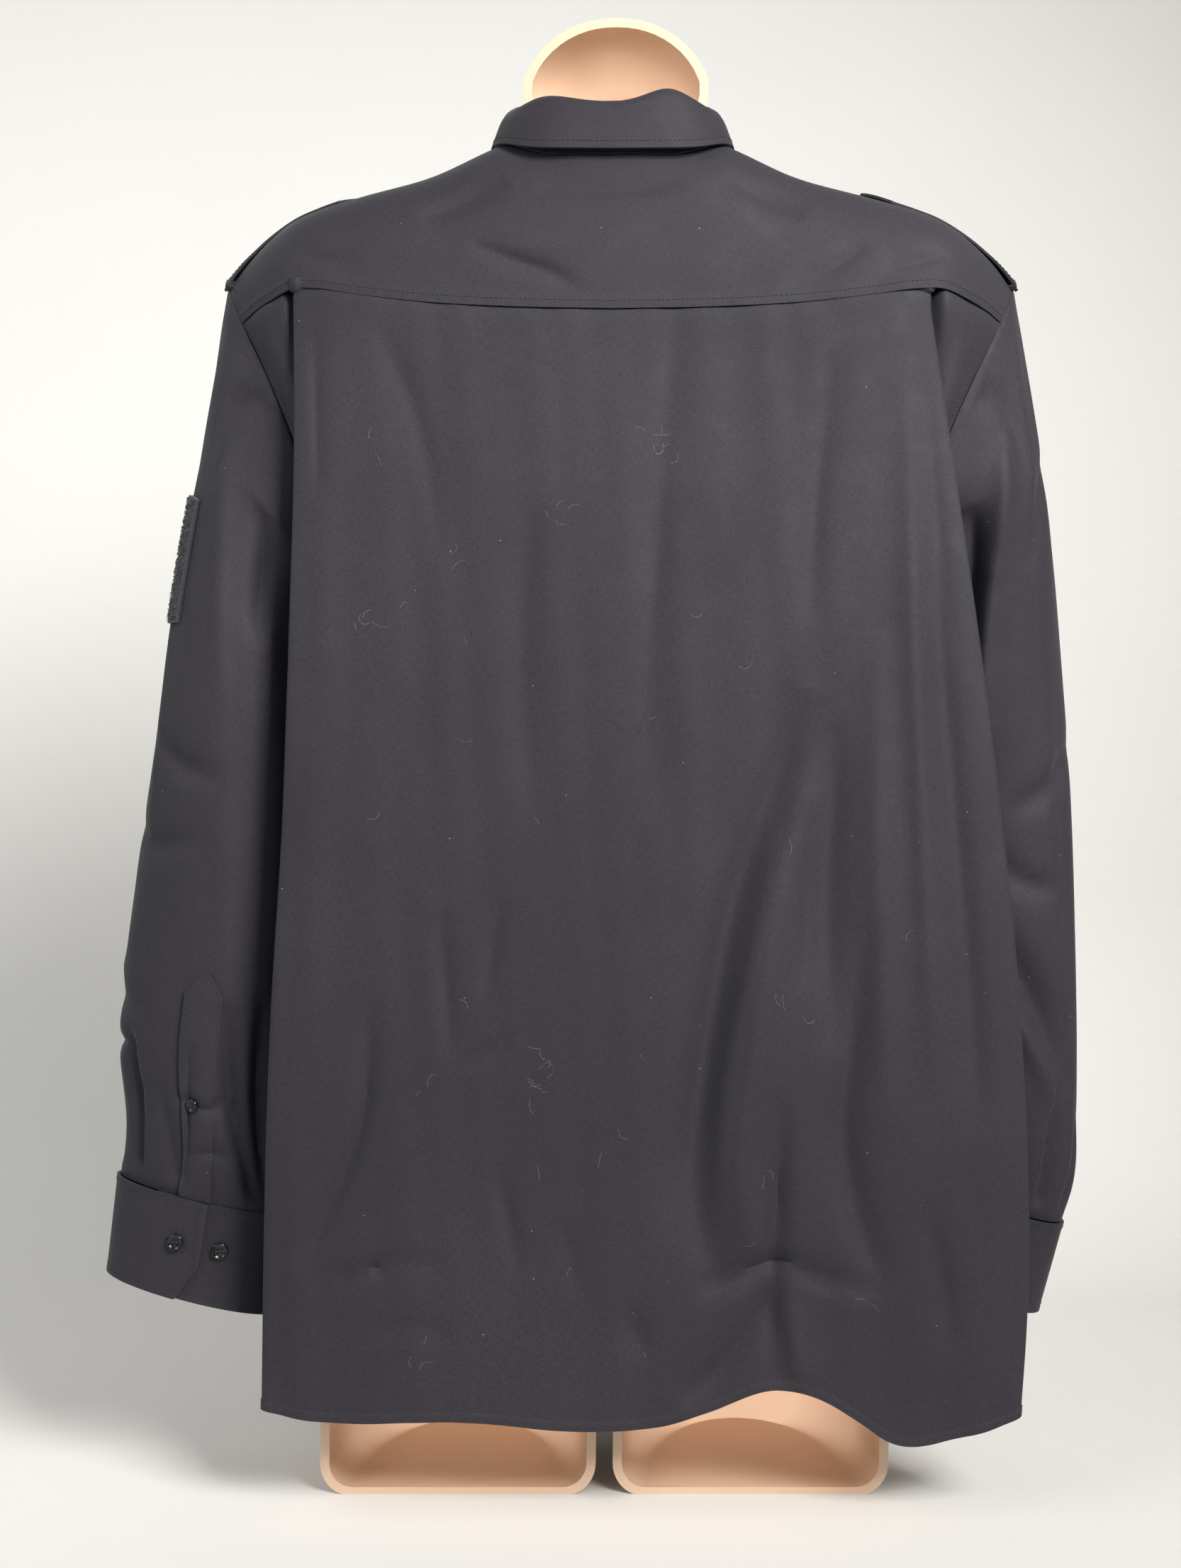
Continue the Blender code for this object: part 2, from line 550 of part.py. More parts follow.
def back_plan(side, along, height):
    """Points of half the back at cloth distances `along` from the centre, every point at its own height."""
    table = BACK_PLAN[side]
    plan = {key: smooth(table["height"], table[key], height) for key in table if key != "height"}
    centre_y = smooth(BACK_CENTRE["height"], BACK_CENTRE["y"], height)
    edge = np.stack([plan["edge_x"], plan["edge_y"]], -1)
    root = np.stack([plan["root_x"], plan["root_y"]], -1)
    end = np.stack([plan["side_x"], plan["side_y"]], -1)
    inward, outward = unit(root - edge), unit(end - root)
    backward = np.stack([-outward[..., 1], outward[..., 0]], -1)
    middle = mix(root, end, 0.55) + backward * plan["bulge"][..., None]
    flat_shares = (0.0, 0.3, 0.6, 0.8)
    edge_back = edge[..., 1] + EDGE_ROUND
    flat = [np.stack([edge[..., 0] * s, mix(centre_y, edge_back, s**4)], -1) for s in flat_shares]
    stations = [
        *flat,
        edge + (-3 * EDGE_ROUND, 0.9 * EDGE_ROUND),
        edge,
        edge + inward * FOLD_REACH,
        root - inward * FOLD_REACH,
        root,
        root + outward * FOLD_REACH,
        middle,
        end,
    ]
    places = [s * EDGE_AT for s in flat_shares] + [
        EDGE_AT - 3 * EDGE_ROUND,
        EDGE_AT,
        EDGE_AT + FOLD_REACH,
        ROOT_AT - FOLD_REACH,
        ROOT_AT,
        ROOT_AT + FOLD_REACH,
        mix(ROOT_AT, SIDE_AT, 0.55),
        SIDE_AT,
    ]
    curve = smooth_stations(places, np.stack(stations), along)
    x = side * curve[..., 0]
    sunk = crease_depth(x, height, BACK_CREASES) * soft_step((EDGE_AT - EDGE_ROUND - along) / 0.012)
    return np.stack([x, curve[..., 1] - sunk, height], -1)


def half_back(side, along, share):
    """Half of the back: columns at cloth distances `along` from its centre, rows at shares of its height."""
    edge = side_edge(side, share, BACK_SEAM_TURN) - (side * SEAM, 0, 0)
    low = LOW_RISE * share / LOW_SHARE
    rise = np.where(share < LOW_SHARE, low, mix(LOW_RISE, 1, (share - LOW_SHARE) / (1 - LOW_SHARE)))
    edge_x = BACK_PLAN[side]["edge_x"][0]
    hem_x = side * edge_x * np.minimum(along, EDGE_AT) / EDGE_AT
    hem_edge = smooth(BACK_HEM["x"], BACK_HEM["z"], side * edge_x)
    hem_past = smooth((EDGE_AT, ROOT_AT, SIDE_AT), (hem_edge, HEM_AT_ROOT, HEM_AT_SIDE), along)
    hem = np.where(along < EDGE_AT, smooth(BACK_HEM["x"], BACK_HEM["z"], hem_x), hem_past)
    top_x = back_plan(side, along, np.full((1, len(along)), BACK_PLAN[side]["height"][-1]))[0, :, 0]
    top = seam_height(side, top_x) - SEAM * np.where(along < EDGE_AT - 2 * EDGE_ROUND, 2, 6)
    weight = (along / SIDE_AT) ** 2
    height = mix(hem, top, rise[:, None])
    height = height + (edge[:, None, 2] - 2 * SEAM * (rise[:, None] >= 1) - height[:, -1:]) * weight
    points = back_plan(side, along, height)
    return points + (edge[:, None] - points[:, -1:]) * weight[None, :, None] ** 4


def build_back(material, place):
    """The back: one panel with a knife pleat on each side, open from the yoke's seam down to the hem."""
    share = panel_rows(BACK_STEPS)
    along = np.array(BACK_COLUMNS)
    left = half_back(LEFT, along, share)[:, ::-1]
    right = half_back(RIGHT, along, share)[:, 1:]
    outer = np.concatenate([left, right], 1)
    turns = mix(-90.0, BACK_SEAM_TURN, np.clip((share - LOW_SHARE) / (1 - LOW_SHARE), 0, 1))
    level = grid_normals(outer)[-1] * (1, 1, 0)
    seams = {"top": level, "start": armhole_across(LEFT, turns), "end": armhole_across(RIGHT, turns)}
    cloth_wall("back", outer, CLOTH, material, place, seams=seams)


def shoulder_x(side, x):
    """Signed x of a place on the shoulder: the wearer's right one is a little longer."""
    longer = RIGHT_STRETCH * soft_step((x - STRETCH_FROM) / (STRETCH_TO - STRETCH_FROM)) * (side == RIGHT)
    return side * x * (1 + longer)


def shoulder_columns(x):
    """The shoulder table's columns at distances x from the centre."""
    return {key: smooth(SHOULDER["x"], SHOULDER[key], x) for key in SHOULDER if key != "x"}


def shoulder_turn(x, y):
    """Where on the shoulder's round a point lies: 1 at the back seam, 0 on the ridge, below 0 in front."""
    at = shoulder_columns(x)
    reach = np.where(y > at["ridge_y"], at["seam_y"] - at["ridge_y"], at["front_reach"])
    share = np.clip(np.abs(y - at["ridge_y"]) / reach, 0, 1) ** (1 / SHOULDER_POWER)
    return np.sign(y - at["ridge_y"]) * np.arcsin(share) / (math.pi / 2)


def shoulder_point(side, x, turn):
    """A point of the shoulder at distance x and a turn about its ridge."""
    at = shoulder_columns(x)
    angle = np.abs(turn) * math.pi / 2
    back = turn > 0
    reach = np.where(back, at["seam_y"] - at["ridge_y"], -at["front_reach"])
    low = np.where(back, at["seam_z"], CHEST_Z)
    y = at["ridge_y"] + reach * np.sin(angle) ** SHOULDER_POWER
    z = low + (at["ridge_z"] - low) * np.cos(angle) ** SHOULDER_POWER
    return np.stack([shoulder_x(side, x), y, z], -1)


def from_back(angle):
    """Angles from the centre back, the same on both sides, and past the centre front as before it."""
    return 180.0 - np.abs(180.0 - np.abs(angle))


def neck_round(angle):
    """Plan of a ring round the neck, of size one: oval in front and squarer behind."""
    sin, cos = np.sin(np.radians(angle)), np.cos(np.radians(angle))
    power = np.where(cos > 0, NECK_SQUARE, 1.0)
    return np.stack([np.sign(sin) * np.abs(sin) ** power, np.sign(cos) * np.abs(cos) ** power], -1)


def neckline(angle, raised=0.0):
    """The neckline at an angle from the centre back, positive to the wearer's left."""
    plan = neck_round(angle) * (NECK_HALF_WIDTH, NECK_HALF_DEPTH) + (0, NECK_Y)
    z = smooth(NECK_HEIGHT["angle"], NECK_HEIGHT["z"], from_back(angle)) + raised
    return np.concatenate([plan, z[..., None]], -1)


def shoulder_front(side, share):
    """The yoke's far edge: round the neckline from the centre back, then the front seam to the armhole."""
    corner = np.radians(NECK_CORNER)
    end = armhole_loop(side, FRONT_SEAM_TURN)
    neck = neckline(side * NECK_CORNER * np.clip(share / NECK_SHARE, 0, 1))
    past = np.clip((share - NECK_SHARE) / (1 - NECK_SHARE), 0, 1)
    x = mix(NECK_HALF_WIDTH * math.sin(corner), SHOULDER_END, past)
    y = mix(neck[..., 1], end[1], past)
    seam = shoulder_point(side, x, shoulder_turn(x, y))
    return np.where((share < NECK_SHARE)[..., None], neck, seam), x, y


def half_yoke(side, share, rise):
    """Half of the yoke: columns at shares of its width, rows from the back seam to its far edge."""
    edge, x_edge, y_edge = shoulder_front(side, share)
    x_end = np.where(share < NECK_SHARE, np.abs(edge[:, 0]), x_edge)
    y_end = np.where(share < NECK_SHARE, edge[:, 1], y_edge)
    x = mix(share * SHOULDER_SEAM_END, x_end, rise[:, None])
    turn = mix(1.0, shoulder_turn(x_end, y_end), rise[:, None])
    points = shoulder_point(side, x, turn)
    points = points + (edge - points[-1:]) * rise[:, None, None] ** 3
    loop = armhole_loop(side, mix(BACK_SEAM_TURN, FRONT_SEAM_TURN, rise)) - (side * SEAM, 0, 0)
    return points + (loop[:, None] - points[:, -1:]) * share[None, :, None] ** 6


def front_seam_across(side, share):
    """The walls' shared direction along the seam between yoke and front."""
    out = mix(0.1, 0.5, share)
    return unit(np.stack([side * out, np.full_like(out, -0.5), np.full_like(out, 0.75)], -1))


def build_yoke(material, place):
    """The yoke: over both shoulders, from the back seam to the neckline and the front seams."""
    rise = np.linspace(0, 1, YOKE_STEPS + 1)
    share = np.array(YOKE_COLUMNS)
    left, right = (half_yoke(side, share, rise) for side in (LEFT, RIGHT))
    outer = np.concatenate([left[:, ::-1], right[:, 1:]], 1)
    natural = grid_normals(outer)
    turns = mix(BACK_SEAM_TURN, FRONT_SEAM_TURN, rise)
    shared = np.concatenate([front_seam_across(LEFT, share[::-1]), front_seam_across(RIGHT, share[1:])])
    on_seam = np.concatenate([share[::-1], share[1:]]) >= NECK_SHARE
    seams = {
        "bottom": natural[0] * (1, 1, 0),
        "top": np.where(on_seam[:, None], shared, natural[-1]),
        "start": armhole_across(LEFT, turns),
        "end": armhole_across(RIGHT, turns),
    }
    cloth_wall("yoke", outer, CLOTH, material, place, seams=seams)


def front_top(side, share):
    """A front's upper edge: the neckline from the centre front, then the front seam to the armhole."""
    neck = neckline(side * mix(180.0, NECK_CORNER, share / NECK_SHARE))
    past = np.clip((share - NECK_SHARE) / (1 - NECK_SHARE), 0, 1)
    seam = shoulder_front(side, mix(NECK_SHARE, 1.0, past))[0]
    loop = armhole_loop(side, FRONT_SEAM_TURN) - (side * SEAM, 0, 0)
    seam = seam + (loop - shoulder_front(side, np.ones(1))[0]) * share[:, None] ** 6
    seam = seam + np.array((0, -1, -1)) * SEAM
    return np.where((share < NECK_SHARE)[:, None], neck, seam)


def front_surface(side, share, rise):
    """A front: columns at shares of its width from the centre, rows from the hem up; x is signed."""
    own = np.array((side, 1, 1))
    edge = (side_edge(side, rise, FRONT_SEAM_TURN - 360.0) - (side * SEAM, SEAM, 0)) * own
    levels = np.array((*FRONT_LEVELS, 1.0))
    shares = np.array((*FRONT_SHARES, 1.0))
    net = np.zeros((len(levels), len(shares), 3))
    net[:-1, :-1] = [np.transpose(list(row.values())) for row in FRONT_ROWS.values()]
    net[:, -1] = (side_edge(side, levels, FRONT_SEAM_TURN - 360.0) - (side * SEAM, SEAM, 0)) * own
    net[-1] = front_top(side, shares) * own
    away = np.abs(share)
    rows = np.swapaxes(smooth(levels, net, rise), 0, 1)
    points = np.swapaxes(smooth(shares, rows, away), 0, 1)
    top = front_top(side, away) * own
    points = points + (top - points[-1:]) * rise[:, None, None] ** 6
    if away[-1] == 1:
        points = points + (edge[:, None] - points[:, -1:]) * away[None, :, None] ** 6
    points[..., 0] *= np.sign(share) * side
    return points


def build_fronts(material, place):
    """The two fronts: the left one ends beside the button band and the right one runs in under it."""
    rise = panel_rows(FRONT_STEPS)
    turns = mix(-90.0, FRONT_SEAM_TURN - 360.0, np.clip((rise - LOW_SHARE) / (1 - LOW_SHARE), 0, 1))
    for side in (LEFT, RIGHT):
        edge_x = BAND_HALF + SEAM if side == LEFT else -BAND_HALF + BAND_CLEAR
        share = np.concatenate([[edge_x / CENTRE_STEP], FRONT_COLUMNS])
        if side == RIGHT:
            share = np.concatenate([[edge_x / CENTRE_STEP, 0.0, BAND_HALF / CENTRE_STEP], FRONT_COLUMNS])
        outer = front_surface(side, share, rise)
        outer[:, 0, 0] = side * edge_x
        if side == RIGHT:
            under = soft_step((BAND_HALF + BAND_CLEAR * 6 + outer[..., 0]) / (BAND_CLEAR * 5))
            outer = outer - grid_normals(outer[:, ::-1])[:, ::-1] * (UNDER_BAND * under)[..., None]
        natural = grid_normals(outer if side == LEFT else outer[:, ::-1])
        if side == RIGHT:
            natural = natural[:, ::-1]
        on_seam = share >= NECK_SHARE
        top = np.where(on_seam[:, None], front_seam_across(side, share), natural[-1])
        armhole = armhole_across(side, turns)
        if side == LEFT:
            seams = {"top": top, "end": armhole}
        else:
            outer, seams = outer[:, ::-1], {"top": top[::-1], "start": armhole}
        cloth_wall(f"front_{SIDE_NAMES[side]}", outer, CLOTH, material, place, seams=seams)


def band_surface(rise):
    """The button band down the centre front, a little proud of the left front."""
    x = np.array((-BAND_HALF, 0.0, BAND_HALF))
    points = front_surface(LEFT, x / CENTRE_STEP, rise)
    points[..., 0] = x
    return points + grid_normals(points) * BAND_RAISED


def oval(side, section, phi):
    """A tilted oval section of a sleeve and the way out of it: phi 0 is the outer side and 90 the back."""
    angle, tilt, turn = (np.radians(a) for a in (phi, section["tilt"], section["turn"]))
    own = np.array((side, 1, 1))
    wide = np.array((math.cos(turn) * math.cos(tilt), math.sin(turn), math.sin(tilt))) * own
    deep = np.array((-math.sin(turn), math.cos(turn), 0)) * own
    half_width, half_depth = section["half_width"], section["half_depth"]
    outermost = np.array((side * section["outer_x"], section["y"], section["outer_z"]))
    centre = outermost - half_width * wide * (1, 0, 1)
    cos, sin = np.cos(angle)[:, None], np.sin(angle)[:, None]
    points = centre + half_width * cos * wide + half_depth * sin * deep
    return points, unit(cos / half_width * wide + sin / half_depth * deep)


def sleeve_section(side, number):
    """One row of a sleeve's table."""
    return {key: column[number] for key, column in SLEEVES[side].items()}


def sleeve_surface(side, phi, along):
    """A sleeve from the armhole's loop to the cuff, with its creases; phi in degrees, along in metres."""
    table = SLEEVES[side]
    rings = [armhole_loop(side, 90.0 - phi)]
    rings += [oval(side, sleeve_section(side, k), phi)[0] for k in range(len(table["along"]))]
    points = smooth((0.0, *table["along"]), np.stack(rings), along)
    around = np.mod(phi + 90.0, 360.0) - 90.0
    flat_x, flat_z = np.broadcast_arrays(around * METRE_PER_DEGREE, np.asarray(along)[:, None])
    sunk = crease_depth(flat_x, flat_z, SLEEVE_CREASES[side])
    angle = np.radians(phi)
    outward = np.stack([side * np.cos(angle), np.sin(angle), 0 * angle], -1)
    return points - outward * sunk[..., None]


def order_columns(side, grid):
    """Columns turned round on the wearer's right, so that they stay anticlockwise seen from above."""
    return grid if side == LEFT else grid[:, ::-1]


def laid_on(grid, lift, thickness):
    """Outer points of a strip laid on a surface's own points, moved out by a gap and the strip's wall."""
    return grid + grid_normals(grid) * (np.asarray(lift)[..., None] + thickness)


def sleeve_length(side):
    """Distance from the armhole to the cuff along the sleeve's outer side."""
    return SLEEVES[side]["along"][-1]


def build_sleeve(side, material, place):
    """A sleeve: a tube from the armhole down to the cuff."""
    phi = np.arange(LOOP_STEPS) * 360.0 / LOOP_STEPS
    along = sleeve_length(side) * np.array(SLEEVE_ROWS)
    outer = sleeve_surface(side, phi, along)
    radial = oval(side, sleeve_section(side, -1), phi)[1]
    head = armhole_across(side, 90.0 - phi, sleeve=True)
    edges = order_columns(side, np.stack([radial, head]))
    outer = order_columns(side, outer)[::-1]
    seams = {"bottom": edges[0], "top": edges[1]}
    cloth_wall(f"sleeve_{SIDE_NAMES[side]}", outer, CLOTH, material, place, ring=True, seams=seams)


def cuff_surface(side, phi, drop):
    """A cuff: oval rows from its top to its lower edge, raised where it laps over its own start."""
    top = sleeve_section(side, -1)
    start, out = oval(side, top, phi)
    end = oval(side, CUFF_END[side], phi)[0]
    down = unit((end - start).mean(axis=0))
    raised = CUFF_GROWN + LAP_RAISED * soft_step((phi - LAP_RISE[0]) / LAP_RISE[1])
    return mix(start + down * SEAM, end, drop[:, None, None]) + out * raised[:, None]


def build_cuff(side, material, place):
    """A cuff: a firm strip wound once round with its mitred end lapped over its start."""
    phi = np.linspace(LAP_FROM, LAP_TO, CUFF_COLUMNS)
    outer = cuff_surface(side, phi, np.array((1.0, 0.62, 0.0)))
    mitred = cuff_surface(side, np.array((LAP_TO - CUFF_MITRE,)), np.ones(1))
    outer[0, -1] = mitred[0, 0]
    radial = oval(side, sleeve_section(side, -1), phi)[1]
    seams = {"top": radial if side == LEFT else radial[::-1]}
    cloth_wall(f"cuff_{SIDE_NAMES[side]}", order_columns(side, outer), FIRM, material, place, seams=seams)


def placket_surface(side, share, across):
    """A sleeve placket's points: rows from the pointed tip to the cuff, columns across it."""
    length = sleeve_length(side)
    along = mix(length - PLACKET_LENGTH, length - 2 * SEAM, share)
    tip = np.clip(share * PLACKET_LENGTH / PLACKET_TIP, 0, 1)
    half = mix(*PLACKET_HALF, share) * mix(0.12, 1.0, tip)
    rows = [
        sleeve_surface(side, mix(*PLACKET_MIDDLE, s) + h * across, np.array((a,)))[0]
        for s, h, a in zip(share, half, along)
    ]
    return np.stack(rows)


def build_placket(side, material, place):
    """A tower placket, laid on the back of the sleeve above the cuff."""
    share = np.concatenate([[0.0, PLACKET_TIP / PLACKET_LENGTH], np.linspace(0.2, 1.0, 7)])
    grid = placket_surface(side, share, np.array((-1.0, 0.0, 1.0)))[::-1]
    grid = order_columns(side, grid)
    cloth_wall(f"placket_{SIDE_NAMES[side]}", laid_on(grid, PLACKET_LIFT, CLOTH), CLOTH, material, place)


def stand_edges(angle):
    """The collar stand's lower and upper edges at signed angles from the centre back."""
    z = smooth(STAND_TOP["angle"], STAND_TOP["z"], from_back(angle))
    plan = neck_round(angle) * (STAND_TOP["half_width"], STAND_TOP["half_depth"]) + (0, STAND_TOP["y"])
    raised = STAND_LAP_RAISED * soft_step((angle - STAND_LAP_RISE[0]) / STAND_LAP_RISE[1])
    out = neck_outward(angle) * raised[:, None]
    return neckline(angle, STAND_GAP) + out, np.concatenate([plan, z[:, None]], -1) + out


def neck_outward(angle):
    """Level directions away from the neck."""
    turn = np.radians(angle)
    return np.stack([np.sin(turn), np.cos(turn), np.zeros_like(turn)], -1)


def build_stand(material, place):
    """The collar's stand round the neck, its left end lapped over the right."""
    angle = np.linspace(STAND_LAP, -STAND_LAP, COLLAR_COLUMNS + 2)
    low, high = stand_edges(angle)
    outer = np.stack([low, mix(low, high, 0.5), high])
    cloth_wall("collar_stand", outer, FIRM, material, place)


def fall_surface(angle):
    """The collar's fall: rows from inside the stand's top edge, over it and down to the lower edge."""
    edge_at = np.abs(angle) / FALL_END * FALL_EDGE["angle"][-1]
    edge = np.stack([smooth(FALL_EDGE["angle"], FALL_EDGE[key], edge_at) for key in "xyz"], -1)
    edge[:, 0] *= np.sign(angle)
    out = neck_outward(angle)
    top = stand_edges(angle)[1]
    along = unit(np.gradient(top, axis=0))
    up = unit(np.array((0, 0, 1)) - along * along[:, 2:])
    rows = [top + outward * out + rise * up for outward, rise in FALL_ROLL]
    rows += [mix(top, edge, share) + (out + up) * bulge for share, bulge in FALL_REST]
    return np.stack(rows[::-1])


def build_fall(material, place):
    """The collar's fall, folded over the stand and ending in two points in front."""
    angle = np.linspace(FALL_END, -FALL_END, COLLAR_COLUMNS)
    cloth_wall("collar_fall", fall_surface(angle), FIRM, material, place)


def on_yoke(side, share, y):
    """Points of the yoke at shares of its width, each column at its own list of y."""
    rise = np.linspace(0, 1, 80)
    yoke = half_yoke(side, np.append(share, 1.0), rise)[:, :-1]
    points = np.empty((y.shape[0], len(share), 3))
    for column in range(len(share)):
        line = yoke[::-1, column]
        points[:, column, 1] = y[:, column]
        for axis in (0, 2):
            points[:, column, axis] = np.interp(y[:, column], line[:, 1], line[:, axis])
    return points


def build_epaulette(side, material, place):
    """An epaulette along the shoulder's ridge: its outer end stands up and its inner one is pointed."""
    outer_x, tip_x = EPAULETTE_X
    x = np.concatenate([np.linspace(outer_x, tip_x + EPAULETTE_POINT, 8), [tip_x + 0.001]])
    share = (x - NECK_CORNER_X) / (SHOULDER_END - NECK_CORNER_X) * (1 - NECK_SHARE) + NECK_SHARE
    half = np.where(x > tip_x + EPAULETTE_POINT / 2, EPAULETTE_HALF, EPAULETTE_HALF * 0.12)
    ridge = smooth(SHOULDER["x"], SHOULDER["ridge_y"], x)
    y = ridge + np.linspace(-1, 1, 5)[:, None] * half
    grid = on_yoke(side, np.minimum(share, 0.995), y)
    if side == LEFT:
        grid, x = grid[:, ::-1], x[::-1]
    lift = LIFT + EPAULETTE_END_LIFT * soft_step((x - 0.225) / 0.025)
    lift = lift + EPAULETTE_TIP_LIFT[side] * soft_step((tip_x + 0.02 - x) / 0.02)
    outer = laid_on(grid, np.broadcast_to(lift, grid.shape[:2]), CLOTH)
    cloth_wall(f"epaulette_{SIDE_NAMES[side]}", outer, CLOTH, material, place)
    return outer


def build_patch(material, place):
    """A bare patch of loop tape on the outer side of the left sleeve."""
    phi = np.linspace(*PATCH_ROUND, 7)
    along = np.linspace(*PATCH_ALONG, 5)
    grid = sleeve_surface(LEFT, phi, along)[::-1]
    cloth_wall("loop_patch", laid_on(grid, LIFT, PATCH_WALL), PATCH_WALL, material, place)


def build_band(material, place):
    """The button band on the left front."""
    rise = panel_rows(FRONT_STEPS)
    cloth_wall("front_band", band_surface(rise), FIRM, material, place)


def add_button(name, grid_point, normal, radius, material, frame, collection):
    """A button: a disc with rounded edges, lying on the cloth."""
    bpy.ops.mesh.primitive_cylinder_add(vertices=12, radius=radius, depth=BUTTON_THICK)
    button = bpy.context.object
    button.name = button.data.name = name
    rounded = button.modifiers.new("rounded_edge", "BEVEL")
    rounded.width, rounded.segments, rounded.limit_method = BUTTON_THICK / 4, 1, "ANGLE"
    centre = grid_point + normal * (BUTTON_THICK / 2 + 3 * SEAM)
    button.location = centre
    button.rotation_euler = Vector(normal).to_track_quat("Z", "Y").to_euler()
    button.parent = frame
    button.data.materials.append(material)
    button.data.shade_smooth()
    for owner in list(button.users_collection):
        owner.objects.unlink(button)
    collection.objects.link(button)


def surface_spot(grid):
    """The middle point and normal of a small 3 by 3 grid of outer points."""
    return grid[1, 1], grid_normals(grid)[1, 1]


def build_buttons(epaulettes, material, place):
    """Every button: down the band, at the collar, on the cuffs and plackets, and on the epaulettes."""
    rise = np.linspace(0, 1, 200)
    band = band_surface(rise)
    for number, height in enumerate(BAND_BUTTONS, 1):
        row = int(np.abs(band[:, 1, 2] - height).argmin())
        spot = band[row - 1 : row + 2]
        add_button(f"button_front_{number}", *surface_spot(spot), BUTTON_RADIUS, material, *place)
    angle = np.array((182.0, 179.0, 176.0))
    low, high = stand_edges(angle)
    stand = np.stack([mix(low, high, share) for share in (0.35, 0.5, 0.65)])
    add_button("button_collar", *surface_spot(stand), BUTTON_RADIUS, material, *place)
    for side in (LEFT, RIGHT):
        word = SIDE_NAMES[side]
        for label, phi in CUFF_BUTTONS.items():
            drop = np.array((0.51, 0.43, 0.35))
            spot = order_columns(side, cuff_surface(side, phi + np.array((-3.0, 0.0, 3.0)), drop))
            name = f"button_cuff_{word}_{label}"
            add_button(name, *surface_spot(spot), BUTTON_RADIUS, material, *place)
        share = PLACKET_BUTTON + np.array((0.03, 0.0, -0.03))
        spot = order_columns(side, placket_surface(side, share, np.array((-0.3, 0.0, 0.3))))
        point, normal = surface_spot(spot)
        point = point + normal * (PLACKET_LIFT + CLOTH)
        add_button(f"button_placket_{word}", point, normal, BUTTON_SMALL, material, *place)
        grid = order_columns(-side, epaulettes[side])
        spot = order_columns(-side, grid[1:4, -4:-1])
        add_button(f"button_epaulette_{word}", *surface_spot(spot), BUTTON_RADIUS, material, *place)


def form_rows():
    """Rows of the form from its feet up: height, half-width, inner edge, rim, depth, the legs' parting."""
    rows = []
    heights = FORM_OUTLINE["height"]
    foot, rim, depth = (FORM_OUTLINE[key][0] for key in ("half_width", "rim_y", "depth"))
    for share in FLOOR_SHARES:
        drawn_in = FOOT_CORNER + FLOOR_INSET * (1 - share)
        rows.append((0.0, foot - drawn_in, SLIT_HALF + drawn_in, rim, depth * share, 1.0))
    for angle in np.radians((0.0, 32.0, 62.0)):
        drawn_in = FOOT_CORNER * (1 - math.sin(angle))
        rise = FOOT_CORNER * (1 - math.cos(angle))
        rows.append((rise, foot - drawn_in, SLIT_HALF + drawn_in, rim, depth, 1.0))
    for height in FORM_LEVELS:
        half, rim, depth = (
            float(smooth(heights, FORM_OUTLINE[key], height)) for key in ("half_width", "rim_y", "depth")
        )
        parted = 1 - float(soft_step((height - CROTCH_Z) / (FORK_Z - CROTCH_Z)))
        rows.append((height, half, SLIT_HALF, rim, depth, parted))
    for angle in np.radians(FORM_TOP_TURNS):
        cos = math.cos(angle) if angle < math.pi / 2 else 0.0
        top = mix(FORM_NECK_Z, FORM_TOP_Z, math.sin(angle))
        rows.append((top, mix(FORM_TOP_HALF, half, cos), SLIT_HALF, rim, depth * cos**0.6, 0.0))
    return rows


def form_surface():
    """The form's outer points: each row a half oval that parts into two below the fork."""
    share = np.array(FORM_COLUMNS)
    grid = []
    for height, half, inner, rim, depth, parted in form_rows():
        whole, leg = np.radians(90 * (1 - share)), np.radians(90 - 180 * share)
        across = mix(np.sin(whole), (1 + np.sin(leg)) / 2, parted)
        x = inner + (half - inner) * across
        y = rim - depth * mix(np.cos(whole), np.cos(leg), parted)
        left = np.stack([x, y, np.full_like(x, height)], -1)
        lean = FORM_LEAN[0] + FORM_LEAN[1] * height
        grid.append(np.concatenate([left, left[::-1] * (-1, 1, 1)]) + (lean, 0, 0))
    return np.stack(grid)


def build_form(material, place):
    """The torso form: a shell open at the back, standing on two thigh stubs, with a bead along its rim."""
    grid = form_surface()
    legs_join = next(k for k, row in enumerate(form_rows()) if row[-1] < 1.0)
    rows, columns = grid.shape[:2]
    middle = columns // 2
    floor_rows = len(FLOOR_SHARES)
    normals = np.empty_like(grid)
    normals[floor_rows:] = grid_normals(grid[:, ::-1])[floor_rows:, ::-1]
    for half in (slice(0, middle), slice(middle, columns)):
        leg = grid_normals(grid[: legs_join + 1, half][:, ::-1])[:, ::-1]
        normals[floor_rows:legs_join, half] = leg[floor_rows:-1]
    normals[:floor_rows] = (0, 0, -1)
    rims = np.array([row[3] for row in form_rows()])[:, None]
    bead = np.exp(-(((rims - grid[..., 1]) / FORM_BEAD_REACH) ** 2))[..., None] * FORM_BEAD / 2
    outer = grid + normals * bead
    outer[..., 2] = np.maximum(outer[..., 2], 0.0)
    inner = grid - normals * (FORM_WALL + bead)
    skip = np.zeros((rows - 1, columns - 1), bool)
    skip[: legs_join - 1, middle - 1] = True
    points = np.concatenate([outer[:, ::-1].reshape(-1, 3), inner[:, ::-1].reshape(-1, 3)])
    add_mesh("torso_form", points, wall_faces(outer[:, ::-1], skip=skip[:, ::-1]), material, *place)


